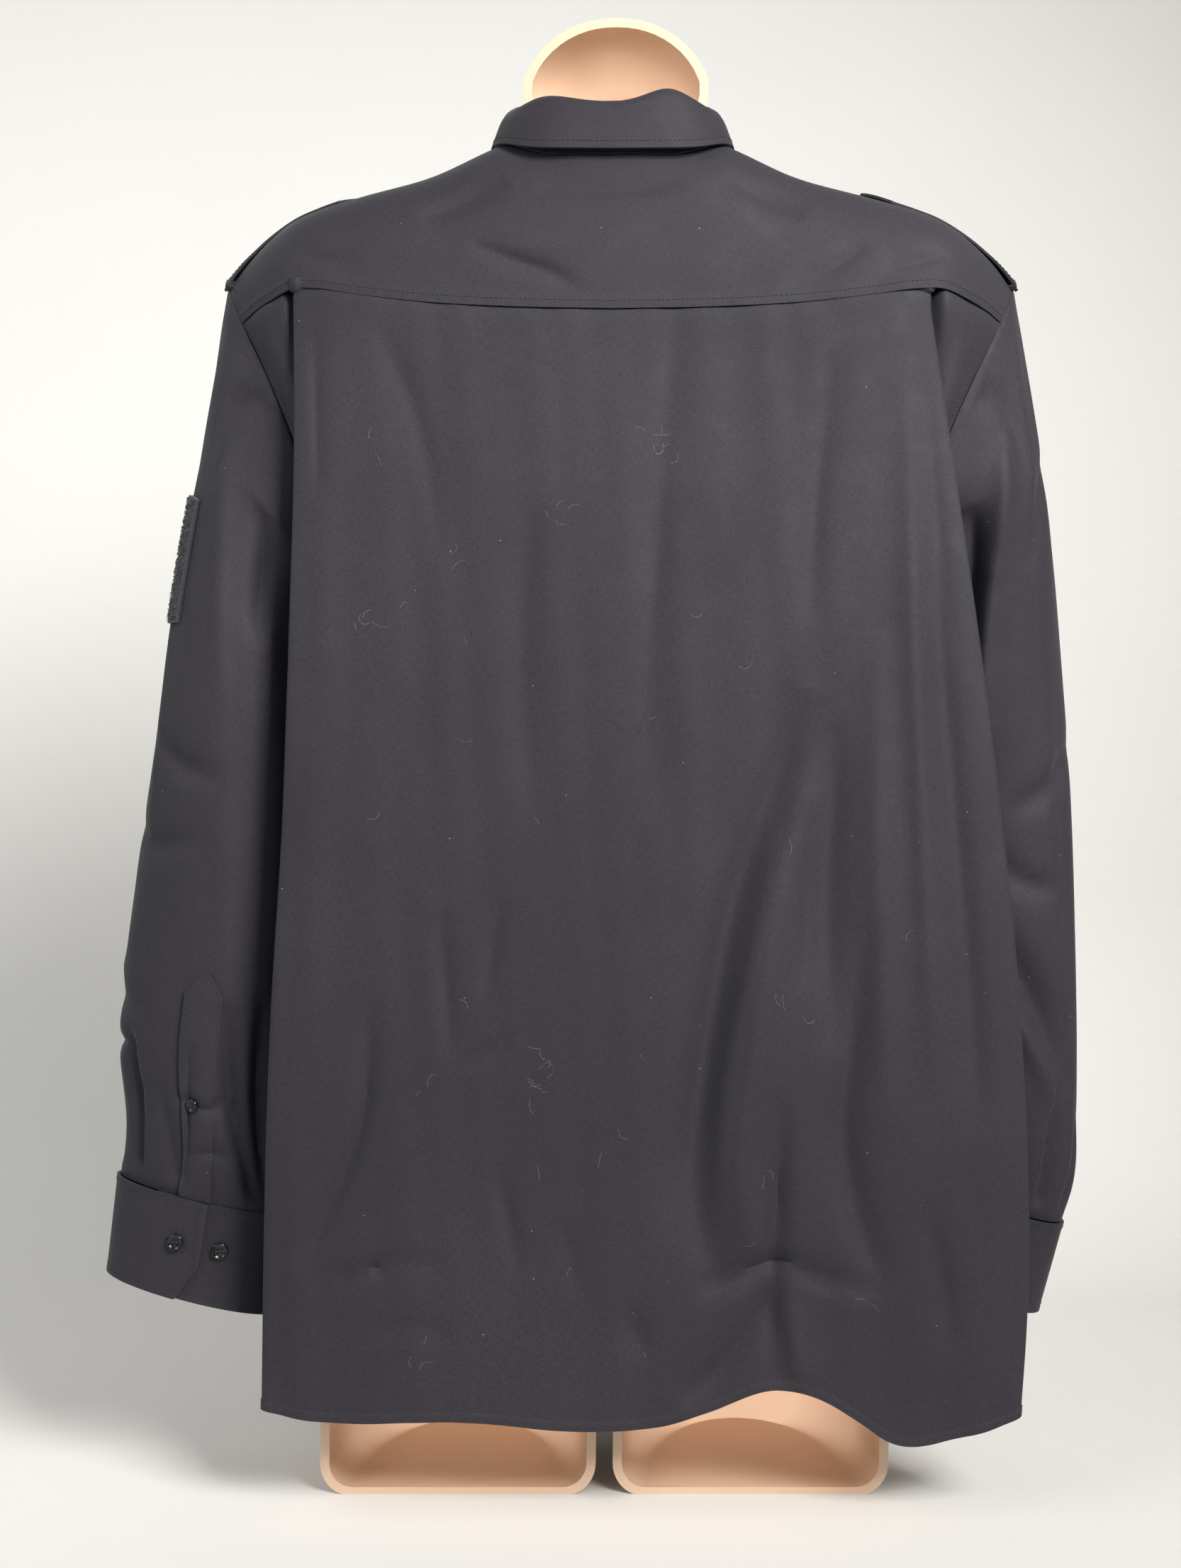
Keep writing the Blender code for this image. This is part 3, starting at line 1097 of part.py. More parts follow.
def main():
    """Builds the shirt and the form under one frame."""
    for thing in list(bpy.data.objects):
        bpy.data.objects.remove(thing, do_unlink=True)
    collection = bpy.data.collections.new("uniform_shirt_on_torso_form")
    bpy.context.scene.collection.children.link(collection)
    frame = bpy.data.objects.new("frame", None)
    frame.location = FRAME_SHIFT
    collection.objects.link(frame)
    place = (frame, collection)
    materials = {name: make_material(name, *finish) for name, finish in FINISHES.items()}
    cloth = materials["shirt_cloth"]
    build_back(cloth, place)
    build_yoke(cloth, place)
    build_fronts(cloth, place)
    build_band(cloth, place)
    build_stand(cloth, place)
    build_fall(cloth, place)
    epaulettes = {}
    for side in (LEFT, RIGHT):
        build_sleeve(side, cloth, place)
        build_cuff(side, cloth, place)
        build_placket(side, cloth, place)
        epaulettes[side] = build_epaulette(side, cloth, place)
    build_patch(materials["loop_tape"], place)
    build_buttons(epaulettes, materials["button_plastic"], place)
    build_form(materials["form_plastic"], place)


main()
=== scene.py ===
"""A long-sleeved uniform shirt worn by a hollow-backed torso form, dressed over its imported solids.

Metres. +X is the wearer's left, +Y the back, +Z up. Cloth panels are walls over grids of points that numpy
works out from short tables; stitches, buttons, finishes, stage, light and camera are added here too.
"""

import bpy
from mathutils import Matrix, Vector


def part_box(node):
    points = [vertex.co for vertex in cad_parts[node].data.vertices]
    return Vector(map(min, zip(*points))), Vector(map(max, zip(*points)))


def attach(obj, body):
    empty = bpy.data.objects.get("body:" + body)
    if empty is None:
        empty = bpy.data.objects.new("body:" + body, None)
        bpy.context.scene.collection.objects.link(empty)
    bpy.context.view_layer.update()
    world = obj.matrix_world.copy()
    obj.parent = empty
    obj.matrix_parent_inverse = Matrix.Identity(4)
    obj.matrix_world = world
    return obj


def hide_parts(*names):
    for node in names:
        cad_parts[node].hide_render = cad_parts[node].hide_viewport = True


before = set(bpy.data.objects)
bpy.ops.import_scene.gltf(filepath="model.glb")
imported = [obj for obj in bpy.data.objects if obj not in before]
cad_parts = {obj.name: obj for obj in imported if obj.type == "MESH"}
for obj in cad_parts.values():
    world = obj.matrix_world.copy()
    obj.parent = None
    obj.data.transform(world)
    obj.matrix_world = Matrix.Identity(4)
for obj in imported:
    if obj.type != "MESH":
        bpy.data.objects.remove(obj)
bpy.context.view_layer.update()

import logging
import math
from dataclasses import dataclass, field
from enum import Enum

import bmesh
import bpy
import numpy as np
from mathutils import Vector

Array = np.ndarray
log = logging.getLogger("shirt")

LEFT, RIGHT = 1, -1
SIDE_NAMES = {LEFT: "left", RIGHT: "right"}

# Walls and gaps
CLOTH = 0.0015
FIRM = 0.0022
SEAM = 0.0003
LIFT = 0.0008

# The model's middle above the floor, as a shift of the garment's own frame
FRAME_SHIFT = (-0.0096, 0.0299, 0.0)

# Back: plan of each half at six heights, as the pleat's edge, the pleat's root and the side
BACK_PLAN = {
    LEFT: {
        "height": (0.06, 0.25, 0.45, 0.5775, 0.68, 0.76),
        "edge_x": (0.222, 0.219, 0.209, 0.2045, 0.2025, 0.203),
        "edge_y": (0.083, 0.083, 0.081, 0.0795, 0.077, 0.0745),
        "root_x": (0.2085, 0.201, 0.192, 0.1875, 0.183, 0.18),
        "root_y": (0.05, 0.05, 0.05, 0.055, 0.064, 0.069),
        "side_x": (0.195, 0.19, 0.185, 0.19, 0.206, 0.243),
        "side_y": (0.0, 0.0, -0.003, 0.0, 0.056, 0.042),
        "bulge": (0.0, 0.0, 0.0, 0.002, 0.006, 0.011),
    },
    RIGHT: {
        "height": (0.06, 0.117, 0.314, 0.461, 0.657, 0.76),
        "edge_x": (0.256, 0.26, 0.256, 0.242, 0.216, 0.201),
        "edge_y": (0.083, 0.083, 0.0825, 0.081, 0.078, 0.0745),
        "root_x": (0.2385, 0.238, 0.229, 0.218, 0.196, 0.178),
        "root_y": (0.05, 0.05, 0.049, 0.052, 0.062, 0.069),
        "side_x": (0.202, 0.2, 0.193, 0.188, 0.2, 0.254),
        "side_y": (0.0, 0.0, -0.002, -0.003, 0.055, 0.042),
        "bulge": (0.0, 0.0, 0.0, 0.0, 0.006, 0.011),
    },
}
BACK_CENTRE = {"height": (0.06, 0.25, 0.45, 0.6, 0.76), "y": (0.09, 0.09, 0.088, 0.086, 0.083)}

# Cloth distance from the centre of the back to its stations
EDGE_AT, ROOT_AT, SIDE_AT = 0.205, 0.238, 0.3
EDGE_ROUND, FOLD_REACH = 0.0048, 0.008
BACK_COLUMNS = (
    *(0.0, 0.022, 0.044, 0.064, 0.084, 0.102, 0.12, 0.138, 0.156, 0.174, 0.188, 0.1965),
    *(0.2015, 0.206, 0.212, 0.221, 0.23, 0.236, 0.241, 0.25, 0.266, 0.283, 0.3),
)

# Back hem: height along x, the wearer's right first
BACK_HEM = {
    "x": (-0.256, -0.22, -0.171, -0.154, -0.122, -0.102, -0.058, -0.033, 0.012, 0.089, 0.2, 0.222),
    "z": (0.064, 0.0525, 0.0495, 0.061, 0.078, 0.0815, 0.067, 0.0595, 0.0555, 0.061, 0.0635, 0.068),
}
HEM_AT_ROOT, HEM_AT_SIDE = 0.08, 0.1

# Armhole: an upright loop, its x by height on each side
ARMHOLE_Z, ARMHOLE_HALF_HEIGHT = 0.685, 0.1075
ARMHOLE_Y, ARMHOLE_HALF_DEPTH, ARMHOLE_POWER = -0.001, 0.056, 0.8
ARMHOLE = {
    "height": (0.5775, 0.62, 0.68, 0.72, 0.763, 0.7925),
    LEFT: (0.19, 0.192, 0.206, 0.222, 0.243, 0.2565),
    RIGHT: (0.192, 0.198, 0.2145, 0.232, 0.254, 0.2675),
}
BACK_SEAM_TURN, FRONT_SEAM_TURN = 45.0, 120.0
LOOP_STEPS = 24

# Shoulder: back yoke seam and ridge along x, and the drop to the chest in front
SHOULDER = {
    "x": (0.0, 0.07, 0.12, 0.165, 0.19, 0.203, 0.218, 0.231, 0.243, 0.2565),
    "ridge_y": (0.016, 0.015, 0.008, 0.004, 0.003, 0.003, 0.002, 0.001, 0.0, -0.001),
    "front_reach": (0.131, 0.13, 0.123, 0.119, 0.112, 0.104, 0.09, 0.076, 0.064, 0.058),
    "ridge_z": (0.897, 0.882, 0.861, 0.85, 0.843, 0.838, 0.829, 0.818, 0.805, 0.7925),
    "seam_y": (0.083, 0.083, 0.082, 0.0802, 0.0785, 0.0755, 0.065, 0.053, 0.0414, 0.04),
    "seam_z": (0.7605, 0.762, 0.765, 0.7705, 0.7745, 0.775, 0.7708, 0.7664, 0.761, 0.759),
}
SHOULDER_POWER = 0.8
SHOULDER_SEAM_END, SHOULDER_END = 0.242, 0.2482
CHEST_Z = 0.695
RIGHT_STRETCH, STRETCH_FROM, STRETCH_TO = 0.045, 0.14, 0.24

# Neckline: an oval in plan, with its height by the angle from the centre back
NECK_HALF_WIDTH, NECK_Y, NECK_HALF_DEPTH, NECK_SQUARE = 0.072, -0.01, 0.077, 0.6
NECK_HEIGHT = {
    "angle": (0, 21, 45, 65, 90, 105, 130, 155, 180),
    "z": (0.8632, 0.864, 0.8715, 0.8785, 0.8812, 0.8765, 0.852, 0.82, 0.8),
}
NECK_CORNER, NECK_SHARE = 105.0, 0.4
YOKE_COLUMNS = (0.0, 0.08, 0.16, 0.24, 0.32, 0.4, 0.48, 0.56, 0.64, 0.72, 0.79, 0.85, 0.9, 0.95, 1.0)

# Fronts: points from the centre to near the side, a row per level from the hem up
FRONT_SHARES = (0.0, 0.2, 0.4, 0.6, 0.8)
FRONT_LEVELS = (0.0, 0.2, 0.4, 0.6, 0.8)
FRONT_ROWS = {
    "hem": {
        "x": (0.0, 0.05, 0.1, 0.148, 0.183),
        "y": (-0.15, -0.149, -0.142, -0.118, -0.068),
        "z": (0.055, 0.056, 0.06, 0.068, 0.082),
    },
    "hip": {
        "x": (0.0, 0.05, 0.099, 0.143, 0.176),
        "y": (-0.146, -0.145, -0.136, -0.111, -0.064),
        "z": (0.287, 0.289, 0.295, 0.306, 0.322),
    },
    "waist": {
        "x": (0.0, 0.05, 0.098, 0.142, 0.175),
        "y": (-0.146, -0.145, -0.136, -0.112, -0.07),
        "z": (0.52, 0.522, 0.53, 0.545, 0.563),
    },
    "chest": {
        "x": (0.0, 0.05, 0.1, 0.145, 0.178),
        "y": (-0.151, -0.15, -0.141, -0.122, -0.088),
        "z": (0.62, 0.62, 0.62, 0.62, 0.618),
    },
    "breast": {
        "x": (0.0, 0.045, 0.09, 0.135, 0.18),
        "y": (-0.138, -0.135, -0.124, -0.11, -0.092),
        "z": (0.715, 0.72, 0.735, 0.74, 0.728),
    },
}
FRONT_COLUMNS = (0.13, 0.2, 0.27, 0.34, 0.4, 0.48, 0.56, 0.64, 0.72, 0.79, 0.85, 0.9, 0.95, 1.0)
CENTRE_STEP = 0.25
BAND_HALF, BAND_RAISED, BAND_CLEAR, UNDER_BAND = 0.0175, 0.001, 0.002, 0.002

# Rows of a panel: the share of them below the underarm, and the height they cover at the middle
LOW_SHARE, LOW_RISE = 0.4, 0.62
LOW_ROWS = 10
BACK_STEPS = round(LOOP_STEPS * (BACK_SEAM_TURN + 90) / 360)
YOKE_STEPS = round(LOOP_STEPS * (FRONT_SEAM_TURN - BACK_SEAM_TURN) / 360)
FRONT_STEPS = LOOP_STEPS - BACK_STEPS - YOKE_STEPS

# Sleeves: the armhole's loop, then tilted oval sections down to the cuff, a column per measure
SLEEVES = {
    LEFT: {
        "along": (0.231, 0.335, 0.438, 0.505, 0.557, 0.592),
        "outer_x": (0.292, 0.306, 0.32, 0.3255, 0.3215, 0.3246),
        "outer_z": (0.564, 0.461, 0.358, 0.291, 0.2395, 0.205),
        "half_width": (0.0475, 0.0525, 0.0565, 0.0575, 0.056, 0.0585),
        "half_depth": (0.05, 0.043, 0.039, 0.037, 0.034, 0.0275),
        "y": (0.01, 0.017, 0.021, 0.022, 0.022, 0.022),
        "tilt": (6.0, 10.0, 12.0, 13.0, 13.5, 13.5),
        "turn": (0.0, 0.0, 0.0, 0.0, 0.0, 0.0),
    },
    RIGHT: {
        "along": (0.172, 0.252, 0.332, 0.439, 0.546, 0.594, 0.629),
        "outer_x": (0.2957, 0.303, 0.309, 0.3125, 0.3128, 0.3112, 0.302),
        "outer_z": (0.62, 0.541, 0.461, 0.354, 0.2468, 0.1986, 0.167),
        "half_width": (0.047, 0.05, 0.0525, 0.055, 0.056, 0.054, 0.05),
        "half_depth": (0.05, 0.047, 0.043, 0.04, 0.037, 0.034, 0.0275),
        "y": (-0.006, -0.012, -0.015, -0.018, -0.02, -0.021, -0.022),
        "tilt": (5.0, 7.0, 8.0, 4.0, -4.0, -10.0, -17.0),
        "turn": (0.0, 5.0, 8.0, 12.0, 18.0, 22.0, 25.0),
    },
}
CUFF_END = {
    LEFT: {
        "outer_x": 0.3317,
        "outer_z": 0.1415,
        "half_width": 0.056,
        "half_depth": 0.0275,
        "y": 0.022,
        "tilt": 15.0,
        "turn": 0.0,
    },
    RIGHT: {
        "outer_x": 0.2855,
        "outer_z": 0.1075,
        "half_width": 0.048,
        "half_depth": 0.0275,
        "y": -0.022,
        "tilt": -17.0,
        "turn": 25.0,
    },
}
LAP_FROM, LAP_TO, LAP_RAISED, LAP_RISE = 62.0, 456.0, 0.0036, (335.0, 75.0)
CUFF_GROWN, CUFF_MITRE = 0.0008, 12.0
# Creases fade out just above the sleeve's end inside the cuff
CUFF_TUCK, CUFF_FADE = 0.004, 0.012
METRE_PER_DEGREE = 0.00095

# Collar: the stand's top edge and the fall's lower edge by the angle from the centre back
STAND_TOP = {
    "angle": (0, 22, 60, 90, 130, 155, 180),
    "z": (0.893, 0.8985, 0.9035, 0.906, 0.8835, 0.852, 0.832),
    "half_width": 0.063, "y": -0.0085, "half_depth": 0.071,
}
FALL_EDGE = {
    "angle": (0, 30, 60, 90, 120, 150, 172),
    "x": (0.0, 0.048, 0.0735, 0.0815, 0.082, 0.068, 0.05),
    "y": (0.076, 0.0715, 0.0465, 0.007, -0.05, -0.096, -0.13),
    "z": (0.8638, 0.8658, 0.876, 0.8812, 0.869, 0.812, 0.762),
}
STAND_GAP, FALL_END = 0.0004, 171.0
FALL_ROLL = ((-0.0018, 0.0029), (0.001, 0.0038), (0.0044, 0.0022))
FALL_REST = ((0.38, 0.0042), (0.7, 0.0024), (1.0, 0.0))
STAND_LAP, STAND_LAP_RAISED, STAND_LAP_RISE = 187.0, 0.0036, (140.0, 32.0)

# Creases on the back: a path of x and z, how far it sinks (or rises, below 0) and its half-width
BACK_CREASES = {
    "deep_pull": (
        (-0.122, -0.092, -0.073, -0.058, -0.05, -0.068),
        (0.52, 0.436, 0.373, 0.289, 0.205, 0.139),
        0.0121,
        0.016,
    ),
    "deep_ridge": ((-0.118, -0.1, -0.088, -0.078, -0.09), (0.47, 0.373, 0.3, 0.22, 0.15), -0.0068, 0.014),
    "outer_pull": (
        (-0.161, -0.149, -0.144, -0.154, -0.171),
        (0.38, 0.299, 0.24, 0.186, 0.142),
        0.0081,
        0.013,
    ),
    "hem_pull": ((-0.08, -0.1, -0.102), (0.17, 0.125, 0.083), 0.0042, 0.011),
    "right_valley": (
        (-0.2, -0.205, -0.213, -0.225, -0.23),
        (0.731, 0.559, 0.461, 0.314, 0.24),
        0.0054,
        0.012,
    ),
    "low_slant": ((-0.096, -0.083, -0.062, -0.04), (0.142, 0.114, 0.09, 0.074), 0.0075, 0.0125),
    "left_slant": ((0.15, 0.16, 0.18, 0.2), (0.32, 0.25, 0.19, 0.15), 0.0026, 0.012),
    "beside_pull": ((-0.124, -0.123, -0.12), (0.45, 0.39, 0.33), 0.0045, 0.007),
    "pull_lip": ((-0.104, -0.086, -0.07, -0.064), (0.43, 0.35, 0.27, 0.18), -0.0045, 0.007),
    "inner_low": ((-0.106, -0.103, -0.1005, -0.0985), (0.262, 0.21, 0.161, 0.105), 0.0061, 0.007),
    "hem_slant": ((-0.05, -0.075, -0.101, -0.13, -0.172), (0.144, 0.151, 0.161, 0.152, 0.14), 0.0057, 0.006),
    "hem_ridge": ((-0.108, -0.112, -0.118), (0.14, 0.11, 0.082), -0.005, 0.01),
    "left_thin": ((0.153, 0.157, 0.176, 0.2), (0.32, 0.255, 0.2, 0.157), 0.004, 0.005),
    "left_level": ((0.19, 0.143, 0.105), (0.146, 0.159, 0.161), 0.0042, 0.004),
    "left_lower": ((0.165, 0.13, 0.1), (0.112, 0.121, 0.116), 0.0026, 0.005),
    "faint_a": ((0.109, 0.102), (0.38, 0.29), 0.0024, 0.006),
    "faint_b": ((0.07, 0.082), (0.39, 0.325), 0.0024, 0.006),
    "faint_c": ((0.096, 0.063), (0.284, 0.3), 0.002, 0.004),
    "upper_left": ((0.153, 0.129, 0.116, 0.109), (0.756, 0.7065, 0.657, 0.6), 0.0022, 0.009),
    "centre_long": (
        (-0.041, -0.033, -0.028, -0.021, -0.026),
        (0.75, 0.7065, 0.608, 0.535, 0.44),
        0.0022,
        0.011,
    ),
    "centre_left": ((0.052, 0.058, 0.05), (0.64, 0.54, 0.43), 0.0024, 0.012),
    "upper_right": ((-0.137, -0.128, -0.122), (0.735, 0.64, 0.56), 0.0031, 0.01),
    "low_a": ((0.072, 0.06), (0.22, 0.155), 0.0028, 0.006),
    "low_b": ((0.032, 0.023), (0.19, 0.14), 0.0024, 0.006),
    "low_c": ((-0.008, -0.02), (0.135, 0.1), 0.0036, 0.009),
    "right_ridge": ((-0.184, -0.188, -0.194, -0.2), (0.72, 0.56, 0.42, 0.27), -0.0045, 0.01),
    "right_dark": ((-0.14, -0.134, -0.138), (0.5, 0.38, 0.29), 0.0057, 0.011),
    "right_broad": ((-0.165, -0.166, -0.172), (0.56, 0.4, 0.24), -0.0049, 0.014),
    "right_low": ((-0.196, -0.205, -0.214), (0.2, 0.15, 0.1), 0.0036, 0.009),
    "pleat_left": ((0.19, 0.186), (0.75, 0.64), 0.0024, 0.006),
}

# Creases on the sleeves: x is the way round from the outer side, z the way down from the shoulder
SLEEVE_CREASES = {
    LEFT: {
        "pressed_line": ((0.048, 0.06, 0.072, 0.086), (0.06, 0.13, 0.2, 0.29), -0.0041, 0.01),
        "inner_valley": ((0.086, 0.1, 0.108), (0.1, 0.16, 0.24), 0.0095, 0.014),
        "elbow_pinch": ((-0.03, 0.0, 0.03, 0.052), (0.455, 0.47, 0.478, 0.47), 0.0026, 0.012),
        "cuff_pleat": ((0.032, 0.038, 0.042), (0.49, 0.54, 0.59), 0.01, 0.007),
        "front_drag": ((-0.085, -0.07, -0.06), (0.07, 0.16, 0.26), 0.0081, 0.016),
        "slit_side": ((0.0835, 0.08, 0.074), (0.489, 0.54, 0.592), 0.004, 0.0045),
        "outer_slit": ((-0.02, 0.014, 0.042), (0.498, 0.504, 0.5), 0.0046, 0.0055),
        "wrist_d": ((0.104, 0.112, 0.122), (0.46, 0.53, 0.59), 0.008, 0.009),
        "wrist_e": ((0.13, 0.131, 0.134), (0.45, 0.52, 0.59), 0.007, 0.007),
        "wrist_f": ((0.06, 0.066, 0.07), (0.52, 0.56, 0.59), 0.004, 0.006),
        "placket_a": ((0.072, 0.09, 0.108), (0.524, 0.53, 0.522), 0.0026, 0.005),
        "placket_b": ((0.076, 0.092, 0.11), (0.566, 0.558, 0.562), 0.0022, 0.005),
        "head_fold": ((0.07, 0.05, 0.044), (0.012, 0.06, 0.13), 0.0045, 0.007),
        "back_line": ((0.02, 0.024, 0.03), (0.12, 0.24, 0.38), -0.0024, 0.009),
        "elbow_a": ((0.02, 0.055, 0.09), (0.3, 0.318, 0.325), 0.0041, 0.008),
        "elbow_b": ((0.0, 0.04, 0.082), (0.36, 0.372, 0.362), 0.0036, 0.008),
        "elbow_c": ((-0.06, -0.03, 0.004), (0.33, 0.345, 0.34), 0.0041, 0.009),
        "wrist_a": ((-0.01, 0.0, 0.006), (0.52, 0.555, 0.588), 0.0053, 0.006),
        "wrist_b": ((0.04, 0.045, 0.048), (0.53, 0.56, 0.588), -0.0041, 0.006),
        "wrist_c": ((-0.05, -0.045, -0.042), (0.5, 0.55, 0.588), 0.0053, 0.008),
        "pinch_lip": ((-0.03, 0.0, 0.036), (0.44, 0.452, 0.458), -0.001, 0.008),
    },
    RIGHT: {
        "upper_ridge": ((0.06, 0.078, 0.09), (0.07, 0.14, 0.2), -0.0054, 0.01),
        "hole": ((0.1, 0.106, 0.108), (0.12, 0.2, 0.26), 0.0108, 0.013),
        "elbow_slant": ((0.08, 0.05, 0.018), (0.43, 0.48, 0.54), 0.0081, 0.012),
        "cuff_pleat": ((0.028, 0.036, 0.042), (0.53, 0.58, 0.624), 0.0095, 0.0075),
        "front_drag": ((-0.08, -0.07, -0.055), (0.08, 0.17, 0.27), 0.0081, 0.016),
        "wrist_d": ((0.1, 0.106, 0.112), (0.5, 0.57, 0.624), 0.008, 0.009),
        "head_fold": ((0.066, 0.052, 0.048), (0.014, 0.06, 0.12), 0.0045, 0.007),
        "hole_lip": ((0.088, 0.093, 0.092), (0.18, 0.24, 0.3), -0.0049, 0.007),
        "elbow_a": ((0.0, 0.04, 0.078), (0.3, 0.33, 0.345), 0.0045, 0.009),
        "elbow_b": ((0.03, 0.06, 0.088), (0.4, 0.395, 0.372), 0.0045, 0.008),
        "elbow_c": ((-0.07, -0.036, 0.0), (0.36, 0.385, 0.38), 0.0045, 0.009),
        "slant_lip": ((0.088, 0.062, 0.032), (0.452, 0.5, 0.556), -0.0045, 0.008),
        "wrist_a": ((0.0, 0.008, 0.012), (0.55, 0.59, 0.624), 0.0053, 0.006),
        "wrist_b": ((-0.04, -0.036, -0.03), (0.54, 0.585, 0.624), 0.0053, 0.008),
        "upper_slant": ((0.01, 0.036, 0.058), (0.11, 0.14, 0.19), 0.0032, 0.009),
    },
}

# Tower plackets above the cuffs: middle and half-width round the sleeve in degrees, from tip to cuff
PLACKET_LENGTH, PLACKET_TIP = 0.149, 0.014
PLACKET_MIDDLE, PLACKET_HALF = (95.0, 87.0), (12.5, 10.0)

# Epaulettes lie along the ridge from the sleeve seam to a pointed tip, and the patch on the left sleeve
EPAULETTE_X, EPAULETTE_HALF, EPAULETTE_POINT = (0.2525, 0.16), 0.024, 0.016
EPAULETTE_END_LIFT, EPAULETTE_TIP_LIFT = 0.0022, {LEFT: 0.0008, RIGHT: 0.0045}
PATCH_ROUND, PATCH_ALONG, PATCH_WALL = (-48.0, 38.0), (0.141, 0.228), 0.002

# Torso form: the outline's half-width, the shell's depth and its rim, a row per height
FORM_WALL, FORM_BEAD, FORM_BEAD_REACH = 0.003, 0.003, 0.004
FORM_ROWS = (
    {"height": 0.02, "half_width": 0.183, "depth": 0.145, "rim_y": 0.045},
    {"height": 0.1, "half_width": 0.183, "depth": 0.147, "rim_y": 0.045},
    {"height": 0.2, "half_width": 0.183, "depth": 0.15, "rim_y": 0.045},
    {"height": 0.28, "half_width": 0.181, "depth": 0.152, "rim_y": 0.045},
    {"height": 0.38, "half_width": 0.171, "depth": 0.15, "rim_y": 0.045},
    {"height": 0.47, "half_width": 0.165, "depth": 0.15, "rim_y": 0.045},
    {"height": 0.56, "half_width": 0.167, "depth": 0.158, "rim_y": 0.045},
    {"height": 0.64, "half_width": 0.174, "depth": 0.168, "rim_y": 0.045},
    {"height": 0.7, "half_width": 0.18, "depth": 0.162, "rim_y": 0.045},
    {"height": 0.76, "half_width": 0.184, "depth": 0.135, "rim_y": 0.043},
    {"height": 0.8, "half_width": 0.176, "depth": 0.112, "rim_y": 0.04},
    {"height": 0.825, "half_width": 0.155, "depth": 0.1, "rim_y": 0.037},
    {"height": 0.842, "half_width": 0.125, "depth": 0.094, "rim_y": 0.034},
    {"height": 0.856, "half_width": 0.09, "depth": 0.089, "rim_y": 0.03},
    {"height": 0.872, "half_width": 0.06, "depth": 0.086, "rim_y": 0.027},
    {"height": 0.9, "half_width": 0.0545, "depth": 0.084, "rim_y": 0.024},
    {"height": 0.908, "half_width": 0.058, "depth": 0.084, "rim_y": 0.024},
)
FORM_OUTLINE = {key: [row[key] for row in FORM_ROWS] for key in FORM_ROWS[0]}
FORM_NECK_Z, FORM_TOP_Z, FORM_TOP_HALF = 0.908, 0.965, 0.002
FORM_LEAN = (0.006, -0.0088)
FORM_COLUMNS = (0.0, 0.025, 0.1, 0.22, 0.36, 0.5, 0.66, 0.82, 0.95, 1.0)
FORM_LEVELS = (
    *(0.02, 0.065, 0.11, 0.135, 0.16, 0.19, 0.24, 0.3, 0.37, 0.45, 0.53, 0.6, 0.66),
    *(0.71, 0.755, 0.785, 0.808, 0.826, 0.842, 0.856, 0.872, 0.9, 0.908),
)
FORM_TOP_TURNS = (28.0, 52.0, 72.0, 90.0)
FORM_FLARE, FORM_FLARE_TURN = 0.0045, 0.3
SLIT_HALF, CROTCH_Z, FORK_Z = 0.007, 0.11, 0.19
FOOT_CORNER, FLOOR_INSET, FLOOR_SHARES = 0.02, 0.009, (0.0, 0.35, 0.7)

BUTTON_RADIUS, BUTTON_SMALL, BUTTON_THICK = 0.0055, 0.0045, 0.0026
CUFF_BUTTONS = {"over": 440.0, "spare": 108.0}
PLACKET_BUTTON, PLACKET_LIFT = 0.57, 0.0012
NECK_CORNER_X = NECK_HALF_WIDTH * math.sin(math.radians(NECK_CORNER))
SLEEVE_ROWS = (0.0, 0.055, 0.12, 0.2, 0.28, 0.36, 0.45, 0.54, 0.63, 0.71, 0.78, 0.84, 0.9, 0.95, 1.0)

BAND_BUTTONS = (0.745, 0.655, 0.565, 0.475, 0.385, 0.295, 0.205)

# Creases on the yoke and on both fronts, in the same columns
YOKE_CREASES = {
    "left_drag": ((0.092, 0.065, 0.04, 0.018), (0.802, 0.792, 0.783, 0.768), 0.0041, 0.006),
    "right_drag": ((-0.16, -0.127, -0.1), (0.802, 0.78, 0.772), 0.0036, 0.006),
    "left_hollow": ((0.124, 0.096, 0.068), (0.82, 0.832, 0.846), 0.0049, 0.009),
    "right_hollow": ((-0.122, -0.096, -0.07), (0.822, 0.836, 0.85), 0.0045, 0.01),
    "left_end": ((0.205, 0.18, 0.16), (0.8, 0.792, 0.79), 0.0028, 0.007),
    "right_end": ((-0.215, -0.19, -0.172), (0.8, 0.79, 0.786), 0.0028, 0.007),
    "under_collar": ((0.05, 0.0, -0.045), (0.842, 0.838, 0.843), 0.0024, 0.008),
}
FRONT_CREASES = {
    LEFT: {
        "armhole_drag": ((0.175, 0.13, 0.085), (0.64, 0.6, 0.585), 0.0045, 0.01),
        "chest_fall": ((0.08, 0.07, 0.074), (0.56, 0.42, 0.25), 0.0039, 0.013),
        "side_fall": ((0.14, 0.128, 0.132, 0.126), (0.56, 0.42, 0.28, 0.12), 0.0051, 0.014),
        "waist_pull": ((0.05, 0.095, 0.15), (0.42, 0.395, 0.4), 0.0027, 0.008),
        "collar_drag": ((0.062, 0.085, 0.12), (0.78, 0.745, 0.72), 0.0024, 0.008),
        "hem_turn": ((0.09, 0.096), (0.19, 0.07), -0.0039, 0.014),
    },
    RIGHT: {
        "armhole_drag": ((-0.17, -0.128, -0.092), (0.655, 0.61, 0.575), 0.0042, 0.011),
        "chest_fall": ((-0.092, -0.08, -0.072), (0.545, 0.4, 0.22), 0.0045, 0.012),
        "side_fall": ((-0.15, -0.14, -0.146), (0.53, 0.36, 0.17), 0.0051, 0.015),
        "waist_pull": ((-0.055, -0.1, -0.145), (0.33, 0.345, 0.325), 0.003, 0.008),
        "button_pull": ((-0.045, -0.08, -0.125), (0.57, 0.56, 0.53), 0.0021, 0.007),
        "hem_turn": ((-0.11, -0.104), (0.2, 0.075), -0.0036, 0.013),
    },
}
